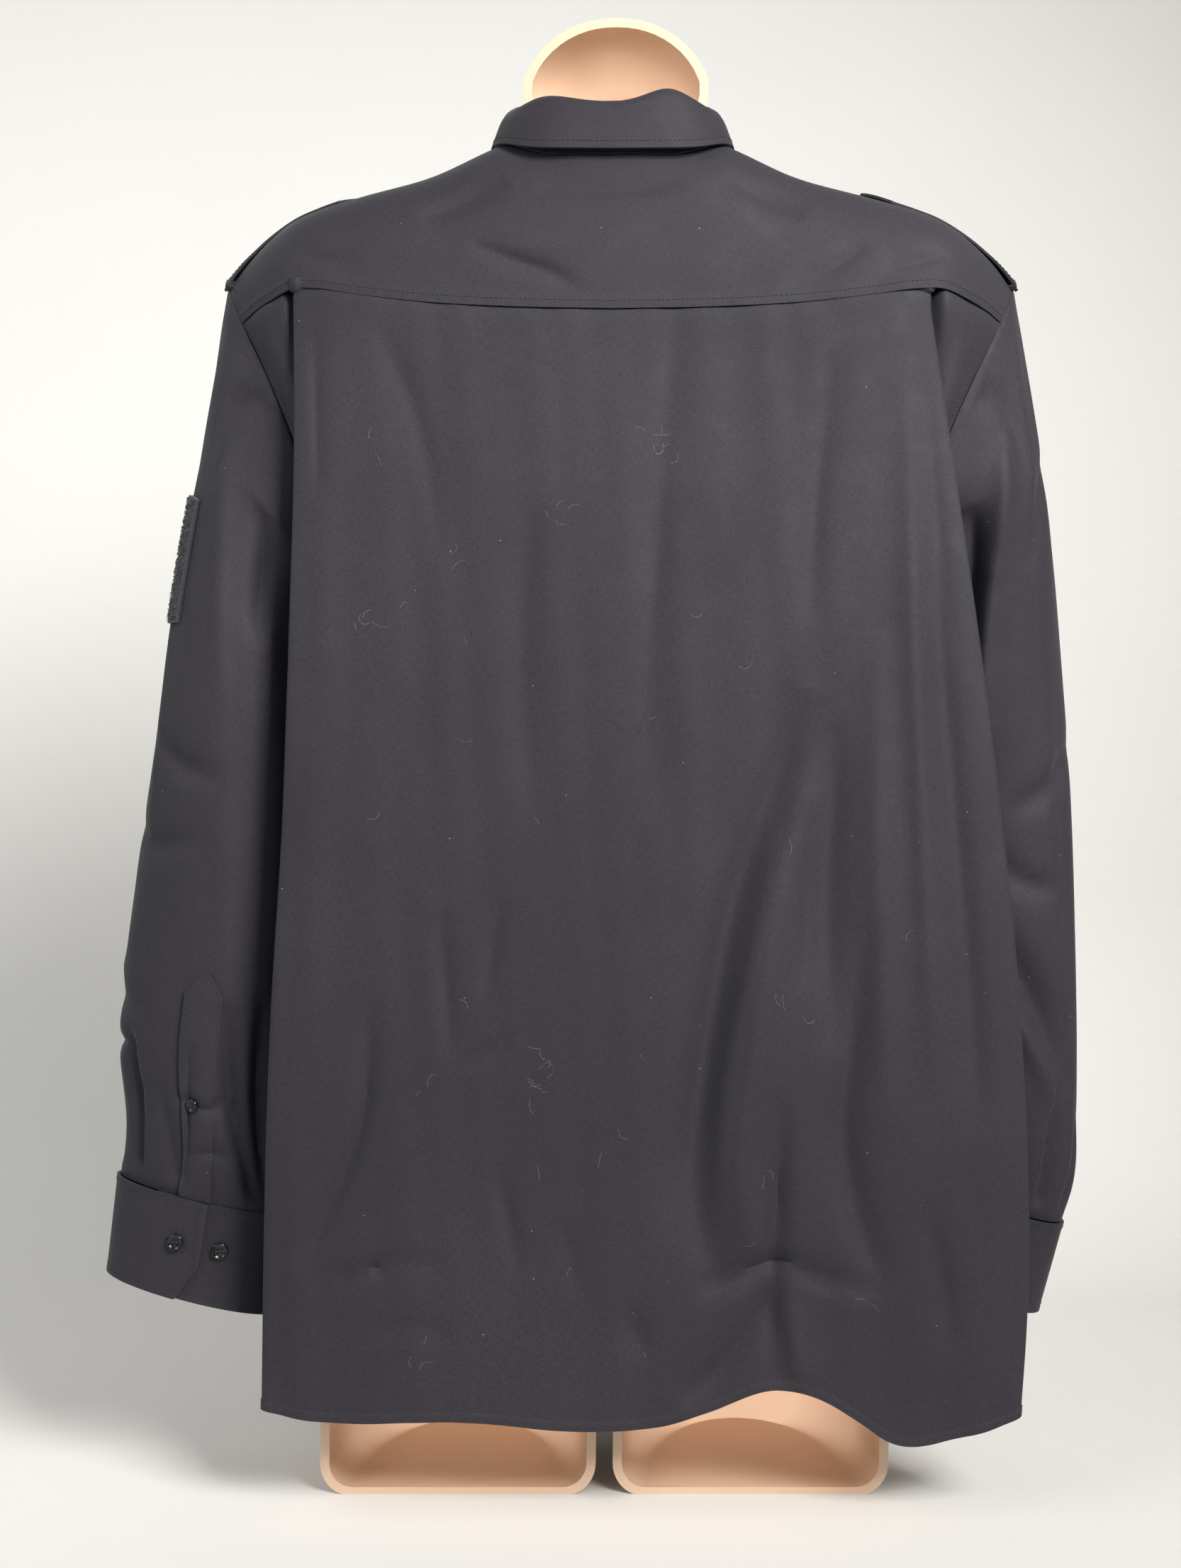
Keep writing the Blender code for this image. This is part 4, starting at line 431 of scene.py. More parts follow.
STAND_WAVES = ((-19.0, 15.0, 0.005), (-58.0, 20.0, -0.004), (58.0, 20.0, -0.004))
CUFF_SPOT, CUFF_SPOT_TURN = np.array((0.51, 0.43, 0.35)), 440.0
# The step of a folded edge, and the dip of a sewn one
FOLD_STEP, SEAM_DEPTH, SEAM_REACH = 0.0016, 0.0007, 0.003
FOOT_TURNS = tuple(range(0, 81, 10))


# How the surfaces are built up from the tables
SIDE_SWING_Z, BULGE_AT, CREASE_STOP, POINT_SHARE = 0.45, 0.55, 0.012, 0.12
FLAT_SHARES = (0.0, 0.3, 0.6, 0.8)
SEAM_STEPS, YOKE_TRIAL_ROWS = 240, 80
CREASE_STEPS, CREASE_FADE, CREASE_REACH, CREASE_STEEP = 24, 0.7, 3, 1.5
CREASE_BLUNT, CREASE_BLUNT_SQUARE = 0.4, 0.16
RIPPLE_WAVES, RIPPLE_LEAN, RIPPLE_SIZES = 7, 0.6, (0.6, 1.7)
HEM_SHARES = np.linspace(0, 0.012, 9)
SPOT_TURNS = np.array((-3.0, 0.0, 3.0))


def smooth(at: Array, values: Array, x: Array) -> Array:
    """Cubic curve through `values` at the positions `at`, sloped as between each value's neighbours.

    Args:
        at: Positions of the values, rising.
        values: A value, or a row of points, at each position.
        x: Where to take the curve.

    Returns:
        The curve's values at x.
    """
    at, values, x = np.asarray(at, float), np.asarray(values, float), np.asarray(x, float)
    slopes = np.gradient(values, at, axis=0)
    x = np.clip(x, at[0], at[-1])
    i = np.clip(np.searchsorted(at, x, side="right") - 1, 0, len(at) - 2)
    step = at[i + 1] - at[i]
    t = (x - at[i]) / step
    if values.ndim > 1:
        step, t = (a.reshape(a.shape + (1,) * (values.ndim - 1)) for a in (step, t))
    start = (1 + 2 * t) * (1 - t) ** 2 * values[i] + t * (1 - t) ** 2 * step * slopes[i]
    end = t * t * (3 - 2 * t) * values[i + 1] + t * t * (t - 1) * step * slopes[i + 1]
    return start + end


def mix(a: Array, b: Array, share: Array) -> Array:
    """The value a `share` of the way from `a` to `b`.

    Args:
        a: The value at 0.
        b: The value at 1.
        share: Shares of the way along, 0 to 1.

    Returns:
        The value between.
    """
    return a + (b - a) * share


def unit(vectors: Array) -> Array:
    """Vectors of length one.

    Args:
        vectors: Vectors, one to a row.

    Returns:
        The same directions, one long.
    """
    return vectors / np.maximum(np.linalg.norm(vectors, axis=-1, keepdims=True), 1e-12)


def soft_step(x: Array) -> Array:
    """0 below 0 and 1 above 1, with a smooth rise between.

    Args:
        x: The values.

    Returns:
        The risen share.
    """
    x = np.clip(x, 0, 1)
    return x * x * (3 - 2 * x)


def grid_normals(grid: Array, ring: bool = False) -> Array:
    """Unit normals of rows of points, from the steps to each point's neighbours.

    Args:
        grid: Rows of points.
        ring: Whether the columns close into a ring.

    Returns:
        A normal for each point.
    """
    around = np.roll(grid, -1, 1) - np.roll(grid, 1, 1) if ring else np.gradient(grid, axis=1)
    return unit(np.cross(around, np.gradient(grid, axis=0)))


def armhole_loop(side: int, turn: Array) -> Array:
    """The armhole's loop: turn 90 is the shoulder's end, 0 the back, -90 the underarm and 180 the front.

    Args:
        side: LEFT or RIGHT.
        turn: Degrees round the armhole.

    Returns:
        Points of the loop.
    """
    angle = np.radians(turn)
    z = ARMHOLE_Z + ARMHOLE_HALF_HEIGHT * np.sin(angle)
    reach = np.sign(np.cos(angle)) * np.abs(np.cos(angle)) ** ARMHOLE_POWER
    y = ARMHOLE_Y + ARMHOLE_HALF_DEPTH * reach
    return np.stack([side * smooth(ARMHOLE["height"], ARMHOLE[side], z), y, z], -1)


def armhole_across(side: int, turn: Array, sleeve: bool = False) -> Array:
    """The wall's direction at the armhole, shared by body and sleeve but for the underarm.

    Args:
        side: LEFT or RIGHT.
        turn: Degrees round the armhole.
        sleeve: Whether the wall is the sleeve's.

    Returns:
        Unit directions out of the wall.
    """
    angle = np.radians(np.asarray(turn, float))
    out = 0.5 + (1.5 * np.minimum(np.sin(angle), 0) if sleeve else 0 * angle)
    up = 0.85 * np.maximum(np.sin(angle), 0)
    return unit(np.stack([side * out, 0.9 * np.cos(angle), up], -1))


def side_edge(side: int, share: Array, last_turn: float) -> Array:
    """A body panel's side edge from the hem up: the side seam, then the armhole round to `last_turn`.

    Args:
        side: LEFT or RIGHT.
        share: Shares of the way along, 0 to 1.
        last_turn: Degrees round the armhole where the panel ends.

    Returns:
        Points of the edge.
    """
    plan = BACK_PLAN[side]
    low_top = ARMHOLE["height"][0]
    low = np.clip(share / LOW_SHARE, 0, 1)
    height = mix(HEM_AT_SIDE, low_top, low)
    seam_x = smooth(plan["height"], plan["side_x"], height)
    seam_y = mix(0.0, ARMHOLE_Y, low)
    swing = soft_step((height - SIDE_SWING_Z) / (low_top - SIDE_SWING_Z))
    side_x = mix(seam_x, ARMHOLE[side][0], swing)
    seam = np.stack([side * side_x, seam_y, height], -1)
    loop = armhole_loop(side, mix(-90.0, last_turn, np.clip((share - LOW_SHARE) / (1 - LOW_SHARE), 0, 1)))
    return np.where((share < LOW_SHARE)[..., None], seam, loop)


def panel_rows(seam_rows: int) -> Array:
    """Row shares of a body panel: even below the underarm, then one for each step of the armhole.

    Args:
        seam_rows: Steps along the armhole.

    Returns:
        The rows' shares.
    """
    low = np.linspace(0, LOW_SHARE, LOW_ROWS + 1)
    return np.concatenate([low, np.linspace(LOW_SHARE, 1, seam_rows + 1)[1:]])


def seam_height(side: int, x: Array) -> Array:
    """Height of the yoke's back seam at signed x, along the yoke's own straight steps.

    Args:
        side: LEFT or RIGHT.
        x: Distances from the centre, in metres.

    Returns:
        Heights of the seam.
    """
    columns = np.linspace(0, SHOULDER_SEAM_END, SEAM_STEPS)
    return np.interp(np.abs(x), np.abs(shoulder_x(side, columns)), shoulder_columns(columns)["seam_z"])


def smooth_stations(at: Array, stations: Array, along: Array) -> Array:
    """A curve through stations that are grids themselves, taken at one place `along` for each column.

    Args:
        at: Positions of the values, rising.
        stations: A grid of points at each station.
        along: Distances along the cloth.

    Returns:
        Rows of points.
    """
    slopes = np.gradient(stations, at, axis=0)
    at = np.asarray(at)
    i = np.clip(np.searchsorted(at, along, side="right") - 1, 0, len(at) - 2)
    step = (at[i + 1] - at[i])[:, None, None]
    t = ((along - at[i])[:, None, None]) / step
    column = np.arange(len(along))
    low, high = stations[i, :, column], stations[i + 1, :, column]
    leaving, arriving = step * slopes[i, :, column], step * slopes[i + 1, :, column]
    start = (1 + 2 * t) * (1 - t) ** 2 * low + t * (1 - t) ** 2 * leaving
    end = t * t * (3 - 2 * t) * high + t * t * (t - 1) * arriving
    return np.swapaxes(start + end, 0, 1)


def back_plan(side: int, along: Array, height: Array) -> Array:
    """Points of half the back at cloth distances `along` from the centre, every point at its own height.

    Args:
        side: LEFT or RIGHT.
        along: Distances along the cloth.
        height: The height of every point.

    Returns:
        Rows of points.
    """
    table = BACK_PLAN[side]
    plan = {key: smooth(table["height"], table[key], height) for key in table if key != "height"}
    centre_y = smooth(BACK_CENTRE["height"], BACK_CENTRE["y"], height)
    edge = np.stack([plan["edge_x"], plan["edge_y"]], -1)
    root = np.stack([plan["root_x"], plan["root_y"]], -1)
    end = np.stack([plan["side_x"], plan["side_y"]], -1)
    inward, outward = unit(root - edge), unit(end - root)
    backward = np.stack([-outward[..., 1], outward[..., 0]], -1)
    middle = mix(root, end, BULGE_AT) + backward * plan["bulge"][..., None]
    edge_back = edge[..., 1] + EDGE_ROUND
    flat = [np.stack([edge[..., 0] * s, mix(centre_y, edge_back, s**4)], -1) for s in FLAT_SHARES]
    stations = [
        *flat, edge + (-3 * EDGE_ROUND, 0.9 * EDGE_ROUND), edge, edge + inward * FOLD_REACH,
        root - inward * FOLD_REACH, root, root + outward * FOLD_REACH, middle, end,
    ]
    places = [s * EDGE_AT for s in FLAT_SHARES] + [
        EDGE_AT - 3 * EDGE_ROUND, EDGE_AT, EDGE_AT + FOLD_REACH, ROOT_AT - FOLD_REACH, ROOT_AT,
        ROOT_AT + FOLD_REACH, mix(ROOT_AT, SIDE_AT, BULGE_AT), SIDE_AT,
    ]
    curve = smooth_stations(places, np.stack(stations), along)
    x = side * curve[..., 0]
    sunk = crease_depth(x, height, BACK_CREASES) * soft_step((EDGE_AT - EDGE_ROUND - along) / CREASE_STOP)
    return np.stack([x, curve[..., 1] - sunk, height], -1)


def half_back(side: int, along: Array, share: Array) -> Array:
    """Half of the back: columns at cloth distances `along` from its centre, rows at shares of its height.

    Args:
        side: LEFT or RIGHT.
        along: Distances along the cloth.
        share: Shares of the way along, 0 to 1.

    Returns:
        Rows of points.
    """
    edge = side_edge(side, share, BACK_SEAM_TURN) - (side * SEAM, 0, 0)
    low = LOW_RISE * share / LOW_SHARE
    rise = np.where(share < LOW_SHARE, low, mix(LOW_RISE, 1, (share - LOW_SHARE) / (1 - LOW_SHARE)))
    edge_x = BACK_PLAN[side]["edge_x"][0]
    hem_x = side * edge_x * np.minimum(along, EDGE_AT) / EDGE_AT
    hem_edge = smooth(BACK_HEM["x"], BACK_HEM["z"], side * edge_x)
    hem_past = smooth((EDGE_AT, ROOT_AT, SIDE_AT), (hem_edge, HEM_AT_ROOT, HEM_AT_SIDE), along)
    hem = np.where(along < EDGE_AT, smooth(BACK_HEM["x"], BACK_HEM["z"], hem_x), hem_past)
    top_x = back_plan(side, along, np.full((1, len(along)), BACK_PLAN[side]["height"][-1]))[0, :, 0]
    top = seam_height(side, top_x) - SEAM * np.where(along < EDGE_AT - 2 * EDGE_ROUND, 2, 6)
    weight = (along / SIDE_AT) ** 2
    height = mix(hem, top, rise[:, None])
    height = height + (edge[:, None, 2] - 2 * SEAM * (rise[:, None] >= 1) - height[:, -1:]) * weight
    points = back_plan(side, along, height)
    return points + (edge[:, None] - points[:, -1:]) * weight[None, :, None] ** 4


def shoulder_x(side: int, x: Array) -> Array:
    """Signed x of a place on the shoulder: the wearer's right one is a little longer.

    Args:
        side: LEFT or RIGHT.
        x: Distances from the centre, in metres.

    Returns:
        Signed x.
    """
    longer = RIGHT_STRETCH * soft_step((x - STRETCH_FROM) / (STRETCH_TO - STRETCH_FROM)) * (side == RIGHT)
    return side * x * (1 + longer)


def shoulder_columns(x: Array) -> dict:
    """The shoulder table's columns at distances x from the centre.

    Args:
        x: Distances from the centre, in metres.

    Returns:
        The table's columns at x.
    """
    return {key: smooth(SHOULDER["x"], SHOULDER[key], x) for key in SHOULDER if key != "x"}


def shoulder_turn(x: Array, y: Array) -> Array:
    """Where on the shoulder's round a point lies: 1 at the back seam, 0 on the ridge, below 0 in front.

    Args:
        x: Distances from the centre, in metres.
        y: Depths, + to the back.

    Returns:
        The turns.
    """
    at = shoulder_columns(x)
    reach = np.where(y > at["ridge_y"], at["seam_y"] - at["ridge_y"], at["front_reach"])
    share = np.clip(np.abs(y - at["ridge_y"]) / reach, 0, 1) ** (1 / SHOULDER_POWER)
    return np.sign(y - at["ridge_y"]) * np.arcsin(share) / (math.pi / 2)


def shoulder_point(side: int, x: Array, turn: Array) -> Array:
    """A point of the shoulder at distance x and a turn about its ridge.

    Args:
        side: LEFT or RIGHT.
        x: Distances from the centre, in metres.
        turn: The turn about the ridge, as shoulder_turn gives it.

    Returns:
        Points of the shoulder.
    """
    at = shoulder_columns(x)
    angle = np.abs(turn) * math.pi / 2
    back = turn > 0
    reach = np.where(back, at["seam_y"] - at["ridge_y"], -at["front_reach"])
    low = np.where(back, at["seam_z"], CHEST_Z)
    y = at["ridge_y"] + reach * np.sin(angle) ** SHOULDER_POWER
    z = low + (at["ridge_z"] - low) * np.cos(angle) ** SHOULDER_POWER
    return np.stack([shoulder_x(side, x), y, z], -1)


def from_back(angle: Array) -> Array:
    """Angles from the centre back, the same on both sides, and past the centre front as before it.

    Args:
        angle: Degrees from the centre back, + to the wearer's left.

    Returns:
        Angles of 0 to 180.
    """
    return 180.0 - np.abs(180.0 - np.abs(angle))


def neck_round(angle: Array) -> Array:
    """Plan of a ring round the neck, of size one: oval in front and squarer behind.

    Args:
        angle: Degrees from the centre back, + to the wearer's left.

    Returns:
        x and y of the ring.
    """
    sin, cos = np.sin(np.radians(angle)), np.cos(np.radians(angle))
    power = np.where(cos > 0, NECK_SQUARE, 1.0)
    return np.stack([np.sign(sin) * np.abs(sin) ** power, np.sign(cos) * np.abs(cos) ** power], -1)


def neckline(angle: Array, raised: float = 0.0) -> Array:
    """The neckline at an angle from the centre back, positive to the wearer's left.

    Args:
        angle: Degrees from the centre back, + to the wearer's left.
        raised: Metres added to the height.

    Returns:
        Points of the neckline.
    """
    plan = neck_round(angle) * (NECK_HALF_WIDTH, NECK_HALF_DEPTH) + (0, NECK_Y)
    z = smooth(NECK_HEIGHT["angle"], NECK_HEIGHT["z"], from_back(angle)) + raised
    return np.concatenate([plan, z[..., None]], -1)


def shoulder_front(side: int, share: Array) -> tuple:
    """The yoke's far edge: round the neckline from the centre back, then the front seam to the armhole.

    Args:
        side: LEFT or RIGHT.
        share: Shares of the way along, 0 to 1.

    Returns:
        The edge's points, and its x and y.
    """
    corner = np.radians(NECK_CORNER)
    end = armhole_loop(side, FRONT_SEAM_TURN)
    neck = neckline(side * NECK_CORNER * np.clip(share / NECK_SHARE, 0, 1))
    past = np.clip((share - NECK_SHARE) / (1 - NECK_SHARE), 0, 1)
    x = mix(NECK_HALF_WIDTH * math.sin(corner), SHOULDER_END, past)
    y = mix(neck[..., 1], end[1], past)
    seam = shoulder_point(side, x, shoulder_turn(x, y))
    return np.where((share < NECK_SHARE)[..., None], neck, seam), x, y


def half_yoke(side: int, share: Array, rise: Array) -> Array:
    """Half of the yoke: columns at shares of its width, rows from the back seam to its far edge.

    Args:
        side: LEFT or RIGHT.
        share: Shares of the way along, 0 to 1.
        rise: Shares of the way up, 0 to 1.

    Returns:
        Rows of points.
    """
    edge, x_edge, y_edge = shoulder_front(side, share)
    x_end = np.where(share < NECK_SHARE, np.abs(edge[:, 0]), x_edge)
    y_end = np.where(share < NECK_SHARE, edge[:, 1], y_edge)
    x = mix(share * SHOULDER_SEAM_END, x_end, rise[:, None])
    turn = mix(1.0, shoulder_turn(x_end, y_end), rise[:, None])
    points = shoulder_point(side, x, turn)
    points = points + (edge - points[-1:]) * rise[:, None, None] ** 3
    loop = armhole_loop(side, mix(BACK_SEAM_TURN, FRONT_SEAM_TURN, rise)) - (side * SEAM, 0, 0)
    return points + (loop[:, None] - points[:, -1:]) * share[None, :, None] ** 6


def front_seam_across(side: int, share: Array) -> Array:
    """The walls' shared direction along the seam between yoke and front.

    Args:
        side: LEFT or RIGHT.
        share: Shares of the way along, 0 to 1.

    Returns:
        Unit directions out of the wall.
    """
    out = mix(0.1, 0.5, share)
    return unit(np.stack([side * out, np.full_like(out, -0.5), np.full_like(out, 0.75)], -1))


def front_top(side: int, share: Array) -> Array:
    """A front's upper edge: the neckline from the centre front, then the front seam to the armhole.

    Args:
        side: LEFT or RIGHT.
        share: Shares of the way along, 0 to 1.

    Returns:
        Points of the edge.
    """
    neck = neckline(side * mix(180.0, NECK_CORNER, share / NECK_SHARE))
    past = np.clip((share - NECK_SHARE) / (1 - NECK_SHARE), 0, 1)
    seam = shoulder_front(side, mix(NECK_SHARE, 1.0, past))[0]
    loop = armhole_loop(side, FRONT_SEAM_TURN) - (side * SEAM, 0, 0)
    seam = seam + (loop - shoulder_front(side, np.ones(1))[0]) * share[:, None] ** 6
    seam = seam + np.array((0, -1, -1)) * SEAM
    return np.where((share < NECK_SHARE)[:, None], neck, seam)


def front_surface(side: int, share: Array, rise: Array) -> Array:
    """A front: columns at shares of its width from the centre, rows from the hem up; x is signed.

    Args:
        side: LEFT or RIGHT.
        share: Shares of the way along, 0 to 1.
        rise: Shares of the way up, 0 to 1.

    Returns:
        Rows of points.
    """
    own = np.array((side, 1, 1))
    edge = (side_edge(side, rise, FRONT_SEAM_TURN - 360.0) - (side * SEAM, SEAM, 0)) * own
    levels = np.array((*FRONT_LEVELS, 1.0))
    shares = np.array((*FRONT_SHARES, 1.0))
    net = np.zeros((len(levels), len(shares), 3))
    net[:-1, :-1] = [np.transpose(list(row.values())) for row in FRONT_ROWS.values()]
    net[:, -1] = (side_edge(side, levels, FRONT_SEAM_TURN - 360.0) - (side * SEAM, SEAM, 0)) * own
    net[-1] = front_top(side, shares) * own
    away = np.abs(share)
    rows = np.swapaxes(smooth(levels, net, rise), 0, 1)
    points = np.swapaxes(smooth(shares, rows, away), 0, 1)
    top = front_top(side, away) * own
    points = points + (top - points[-1:]) * rise[:, None, None] ** 6
    if away[-1] == 1:
        points = points + (edge[:, None] - points[:, -1:]) * away[None, :, None] ** 6
    points[..., 0] *= np.sign(share) * side
    return points


def band_surface(rise: Array) -> Array:
    """The button band down the centre front, a little proud of the left front.

    Args:
        rise: Shares of the way up, 0 to 1.

    Returns:
        Rows of points.
    """
    x = np.array((-BAND_HALF, 0.0, BAND_HALF))
    points = front_surface(LEFT, x / CENTRE_STEP, rise)
    points[..., 0] = x
    return points + grid_normals(points) * BAND_RAISED


def oval(side: int, section: dict, phi: Array) -> tuple:
    """A tilted oval section of a sleeve and the way out of it: phi 0 is the outer side and 90 the back.

    Args:
        side: LEFT or RIGHT.
        section: One row of the sleeve's table.
        phi: Degrees round, 0 at the outer side and 90 at the back.

    Returns:
        Points, and unit directions out of the oval.
    """
    angle, tilt, turn = (np.radians(a) for a in (phi, section["tilt"], section["turn"]))
    own = np.array((side, 1, 1))
    wide = np.array((math.cos(turn) * math.cos(tilt), math.sin(turn), math.sin(tilt))) * own
    deep = np.array((-math.sin(turn), math.cos(turn), 0)) * own
    half_width, half_depth = section["half_width"], section["half_depth"]
    outermost = np.array((side * section["outer_x"], section["y"], section["outer_z"]))
    centre = outermost - half_width * wide * (1, 0, 1)
    cos, sin = np.cos(angle)[:, None], np.sin(angle)[:, None]
    points = centre + half_width * cos * wide + half_depth * sin * deep
    return points, unit(cos / half_width * wide + sin / half_depth * deep)


def sleeve_section(side: int, number: int) -> dict:
    """One row of a sleeve's table.

    Args:
        side: LEFT or RIGHT.
        number: The row's number.

    Returns:
        The row's values by name.
    """
    return {key: column[number] for key, column in SLEEVES[side].items()}


def sleeve_surface(side: int, phi: Array, along: Array) -> Array:
    """A sleeve from the armhole's loop to the cuff, with its creases; phi in degrees, along in metres.

    Args:
        side: LEFT or RIGHT.
        phi: Degrees round, 0 at the outer side and 90 at the back.
        along: Distances along the cloth.

    Returns:
        Rows of points.
    """
    table = SLEEVES[side]
    rings = [armhole_loop(side, 90.0 - phi)]
    rings += [oval(side, sleeve_section(side, k), phi)[0] for k in range(len(table["along"]))]
    points = smooth((0.0, *table["along"]), np.stack(rings), along)
    around = np.mod(phi + 90.0, 360.0) - 90.0
    flat_x, flat_z = np.broadcast_arrays(around * METRE_PER_DEGREE, np.asarray(along)[:, None])
    fade = soft_step((table["along"][-1] - flat_z - CUFF_TUCK) / CUFF_FADE)
    sunk = crease_depth(flat_x, flat_z, SLEEVE_CREASES[side]) * fade
    angle = np.radians(phi)
    outward = np.stack([side * np.cos(angle), np.sin(angle), 0 * angle], -1)
    return points - outward * sunk[..., None]


def order_columns(side: int, grid: Array) -> Array:
    """Columns turned round on the wearer's right, so that they stay anticlockwise seen from above.

    Args:
        side: LEFT or RIGHT.
        grid: Rows of points.

    Returns:
        The ordered rows.
    """
    return grid if side == LEFT else grid[:, ::-1]


def laid_on(grid: Array, lift: Array, thickness: float) -> Array:
    """Outer points of a strip laid on a surface's own points, moved out by a gap and the strip's wall.

    Args:
        grid: Rows of points.
        lift: Gap under the strip.
        thickness: The strip's wall.

    Returns:
        The strip's outer points.
    """
    return grid + grid_normals(grid) * (np.asarray(lift)[..., None] + thickness)


def sleeve_length(side: int) -> float:
    """Distance from the armhole to the cuff along the sleeve's outer side.

    Args:
        side: LEFT or RIGHT.

    Returns:
        The length in metres.
    """
    return SLEEVES[side]["along"][-1]


def cuff_surface(side: int, phi: Array, drop: Array) -> Array:
    """A cuff: oval rows from its top to its lower edge, raised where it laps over its own start.

    Args:
        side: LEFT or RIGHT.
        phi: Degrees round, 0 at the outer side and 90 at the back.
        drop: Shares of the cuff's depth, a row each.

    Returns:
        Rows of points.
    """
    top = sleeve_section(side, -1)
    start, out = oval(side, top, phi)
    end = oval(side, CUFF_END[side], phi)[0]
    down = unit((end - start).mean(axis=0))
    raised = CUFF_GROWN + LAP_RAISED * soft_step((phi - LAP_RISE[0]) / LAP_RISE[1])
    drop = drop[..., None] if drop.ndim == 2 else drop[:, None, None]
    return mix(start + down * SEAM, end, drop) + out * raised[:, None]


def placket_surface(side: int, share: Array, across: Array) -> Array:
    """A sleeve placket's points: rows from the pointed tip to the cuff, columns across it.

    Args:
        side: LEFT or RIGHT.
        share: Shares of the way along, 0 to 1.
        across: Places across the strip, -1 to 1.

    Returns:
        Rows of points.
    """
    length = sleeve_length(side)
    along = mix(length - PLACKET_LENGTH, length - 2 * SEAM, share)
    tip = np.clip(share * PLACKET_LENGTH / PLACKET_TIP, 0, 1)
    half = mix(*PLACKET_HALF, share) * mix(POINT_SHARE, 1.0, tip)
    rows = [
        sleeve_surface(side, mix(*PLACKET_MIDDLE, s) + h * across, np.array((a,)))[0]
        for s, h, a in zip(share, half, along)
    ]
    return np.stack(rows)


def stand_edges(angle: Array) -> tuple:
    """The collar stand's lower and upper edges at signed angles from the centre back.

    Args:
        angle: Degrees from the centre back, + to the wearer's left.

    Returns:
        Points of the lower and of the upper edge.
    """
    z = smooth(STAND_TOP["angle"], STAND_TOP["z"], from_back(angle))
    for middle, wide, rise in STAND_WAVES:
        z = z + rise * np.exp(-(((angle - middle) / wide) ** 2))
    plan = neck_round(angle) * (STAND_TOP["half_width"], STAND_TOP["half_depth"]) + (0, STAND_TOP["y"])
    raised = STAND_LAP_RAISED * soft_step((angle - STAND_LAP_RISE[0]) / STAND_LAP_RISE[1])
    out = neck_outward(angle) * raised[:, None]
    return neckline(angle, STAND_GAP) + out, np.concatenate([plan, z[:, None]], -1) + out


def neck_outward(angle: Array) -> Array:
    """Level directions away from the neck.

    Args:
        angle: Degrees from the centre back, + to the wearer's left.

    Returns:
        Unit directions.
    """
    turn = np.radians(angle)
    return np.stack([np.sin(turn), np.cos(turn), np.zeros_like(turn)], -1)


def fall_surface(angle: Array) -> Array:
    """The collar's fall: rows from inside the stand's top edge, over it and down to the lower edge.

    Args:
        angle: Degrees from the centre back, + to the wearer's left.

    Returns:
        Rows of points.
    """
    edge_at = np.abs(angle) / FALL_END * FALL_EDGE["angle"][-1]
    edge = np.stack([smooth(FALL_EDGE["angle"], FALL_EDGE[key], edge_at) for key in "xyz"], -1)
    edge[:, 0] *= np.sign(angle)
    out = neck_outward(angle)
    top = stand_edges(angle)[1]
    along = unit(np.gradient(top, axis=0))
    up = unit(np.array((0, 0, 1)) - along * along[:, 2:])
    rows = [top + outward * out + rise * up for outward, rise in FALL_ROLL]
    rows += [mix(top, edge, share) + (out + up) * bulge for share, bulge in FALL_REST]
    return np.stack(rows[::-1])


def on_yoke(side: int, share: Array, y: Array) -> Array:
    """Points of the yoke at shares of its width, each column at its own list of y.

    Args:
        side: LEFT or RIGHT.
        share: Shares of the way along, 0 to 1.
        y: Depths, + to the back.

    Returns:
        Points of the yoke.
    """
    rise = np.linspace(0, 1, YOKE_TRIAL_ROWS)
    yoke = half_yoke(side, np.append(share, 1.0), rise)[:, :-1]
    points = np.empty((y.shape[0], len(share), 3))
    for column in range(len(share)):
        line = yoke[::-1, column]
        points[:, column, 1] = y[:, column]
        for axis in (0, 2):
            points[:, column, axis] = np.interp(y[:, column], line[:, 1], line[:, axis])
    return points


def form_rows() -> list:
    """Rows of the form from its feet up: height, half-width, inner edge, rim, depth, the legs' parting.

    Returns:
        A tuple of measures for each row.
    """
    rows = []
    heights = FORM_OUTLINE["height"]
    foot, rim, depth = (FORM_OUTLINE[key][0] for key in ("half_width", "rim_y", "depth"))
    for share in FLOOR_SHARES:
        drawn_in = FOOT_CORNER + FLOOR_INSET * (1 - share)
        rows.append((0.0, foot - drawn_in, SLIT_HALF + drawn_in, rim, depth * share, 1.0))
    for angle in np.radians(FOOT_TURNS):
        drawn_in = FOOT_CORNER * (1 - math.sin(angle))
        rise = FOOT_CORNER * (1 - math.cos(angle))
        rows.append((rise, foot - drawn_in, SLIT_HALF + drawn_in, rim, depth, 1.0))
    for height in FORM_LEVELS:
        half, rim, depth = (
            float(smooth(heights, FORM_OUTLINE[key], height)) for key in ("half_width", "rim_y", "depth")
        )
        parted = 1 - float(soft_step((height - CROTCH_Z) / (FORK_Z - CROTCH_Z)))
        rows.append((height, half, SLIT_HALF, rim, depth, parted))
    for angle in np.radians(FORM_TOP_TURNS):
        cos = math.cos(angle) if angle < math.pi / 2 else 0.0
        top = mix(FORM_NECK_Z, FORM_TOP_Z, math.sin(angle))
        wide = half + FORM_FLARE * float(soft_step(angle / FORM_FLARE_TURN))
        inner = mix(FORM_TOP_HALF / 4, SLIT_HALF, cos)
        rows.append((top, mix(FORM_TOP_HALF, wide, cos), inner, rim, depth * cos**0.6, 0.0))
    return rows


# Grids, walls and finished pieces


def refine(values: tuple, parts: int) -> Array:
    """Rising values with each step cut into equal parts.

    Args:
        values: The values.
        parts: Parts of each step.

    Returns:
        The finer values.
    """
    places = np.linspace(0, len(values) - 1, (len(values) - 1) * parts + 1)
    return np.interp(places, np.arange(len(values)), np.asarray(values, float))


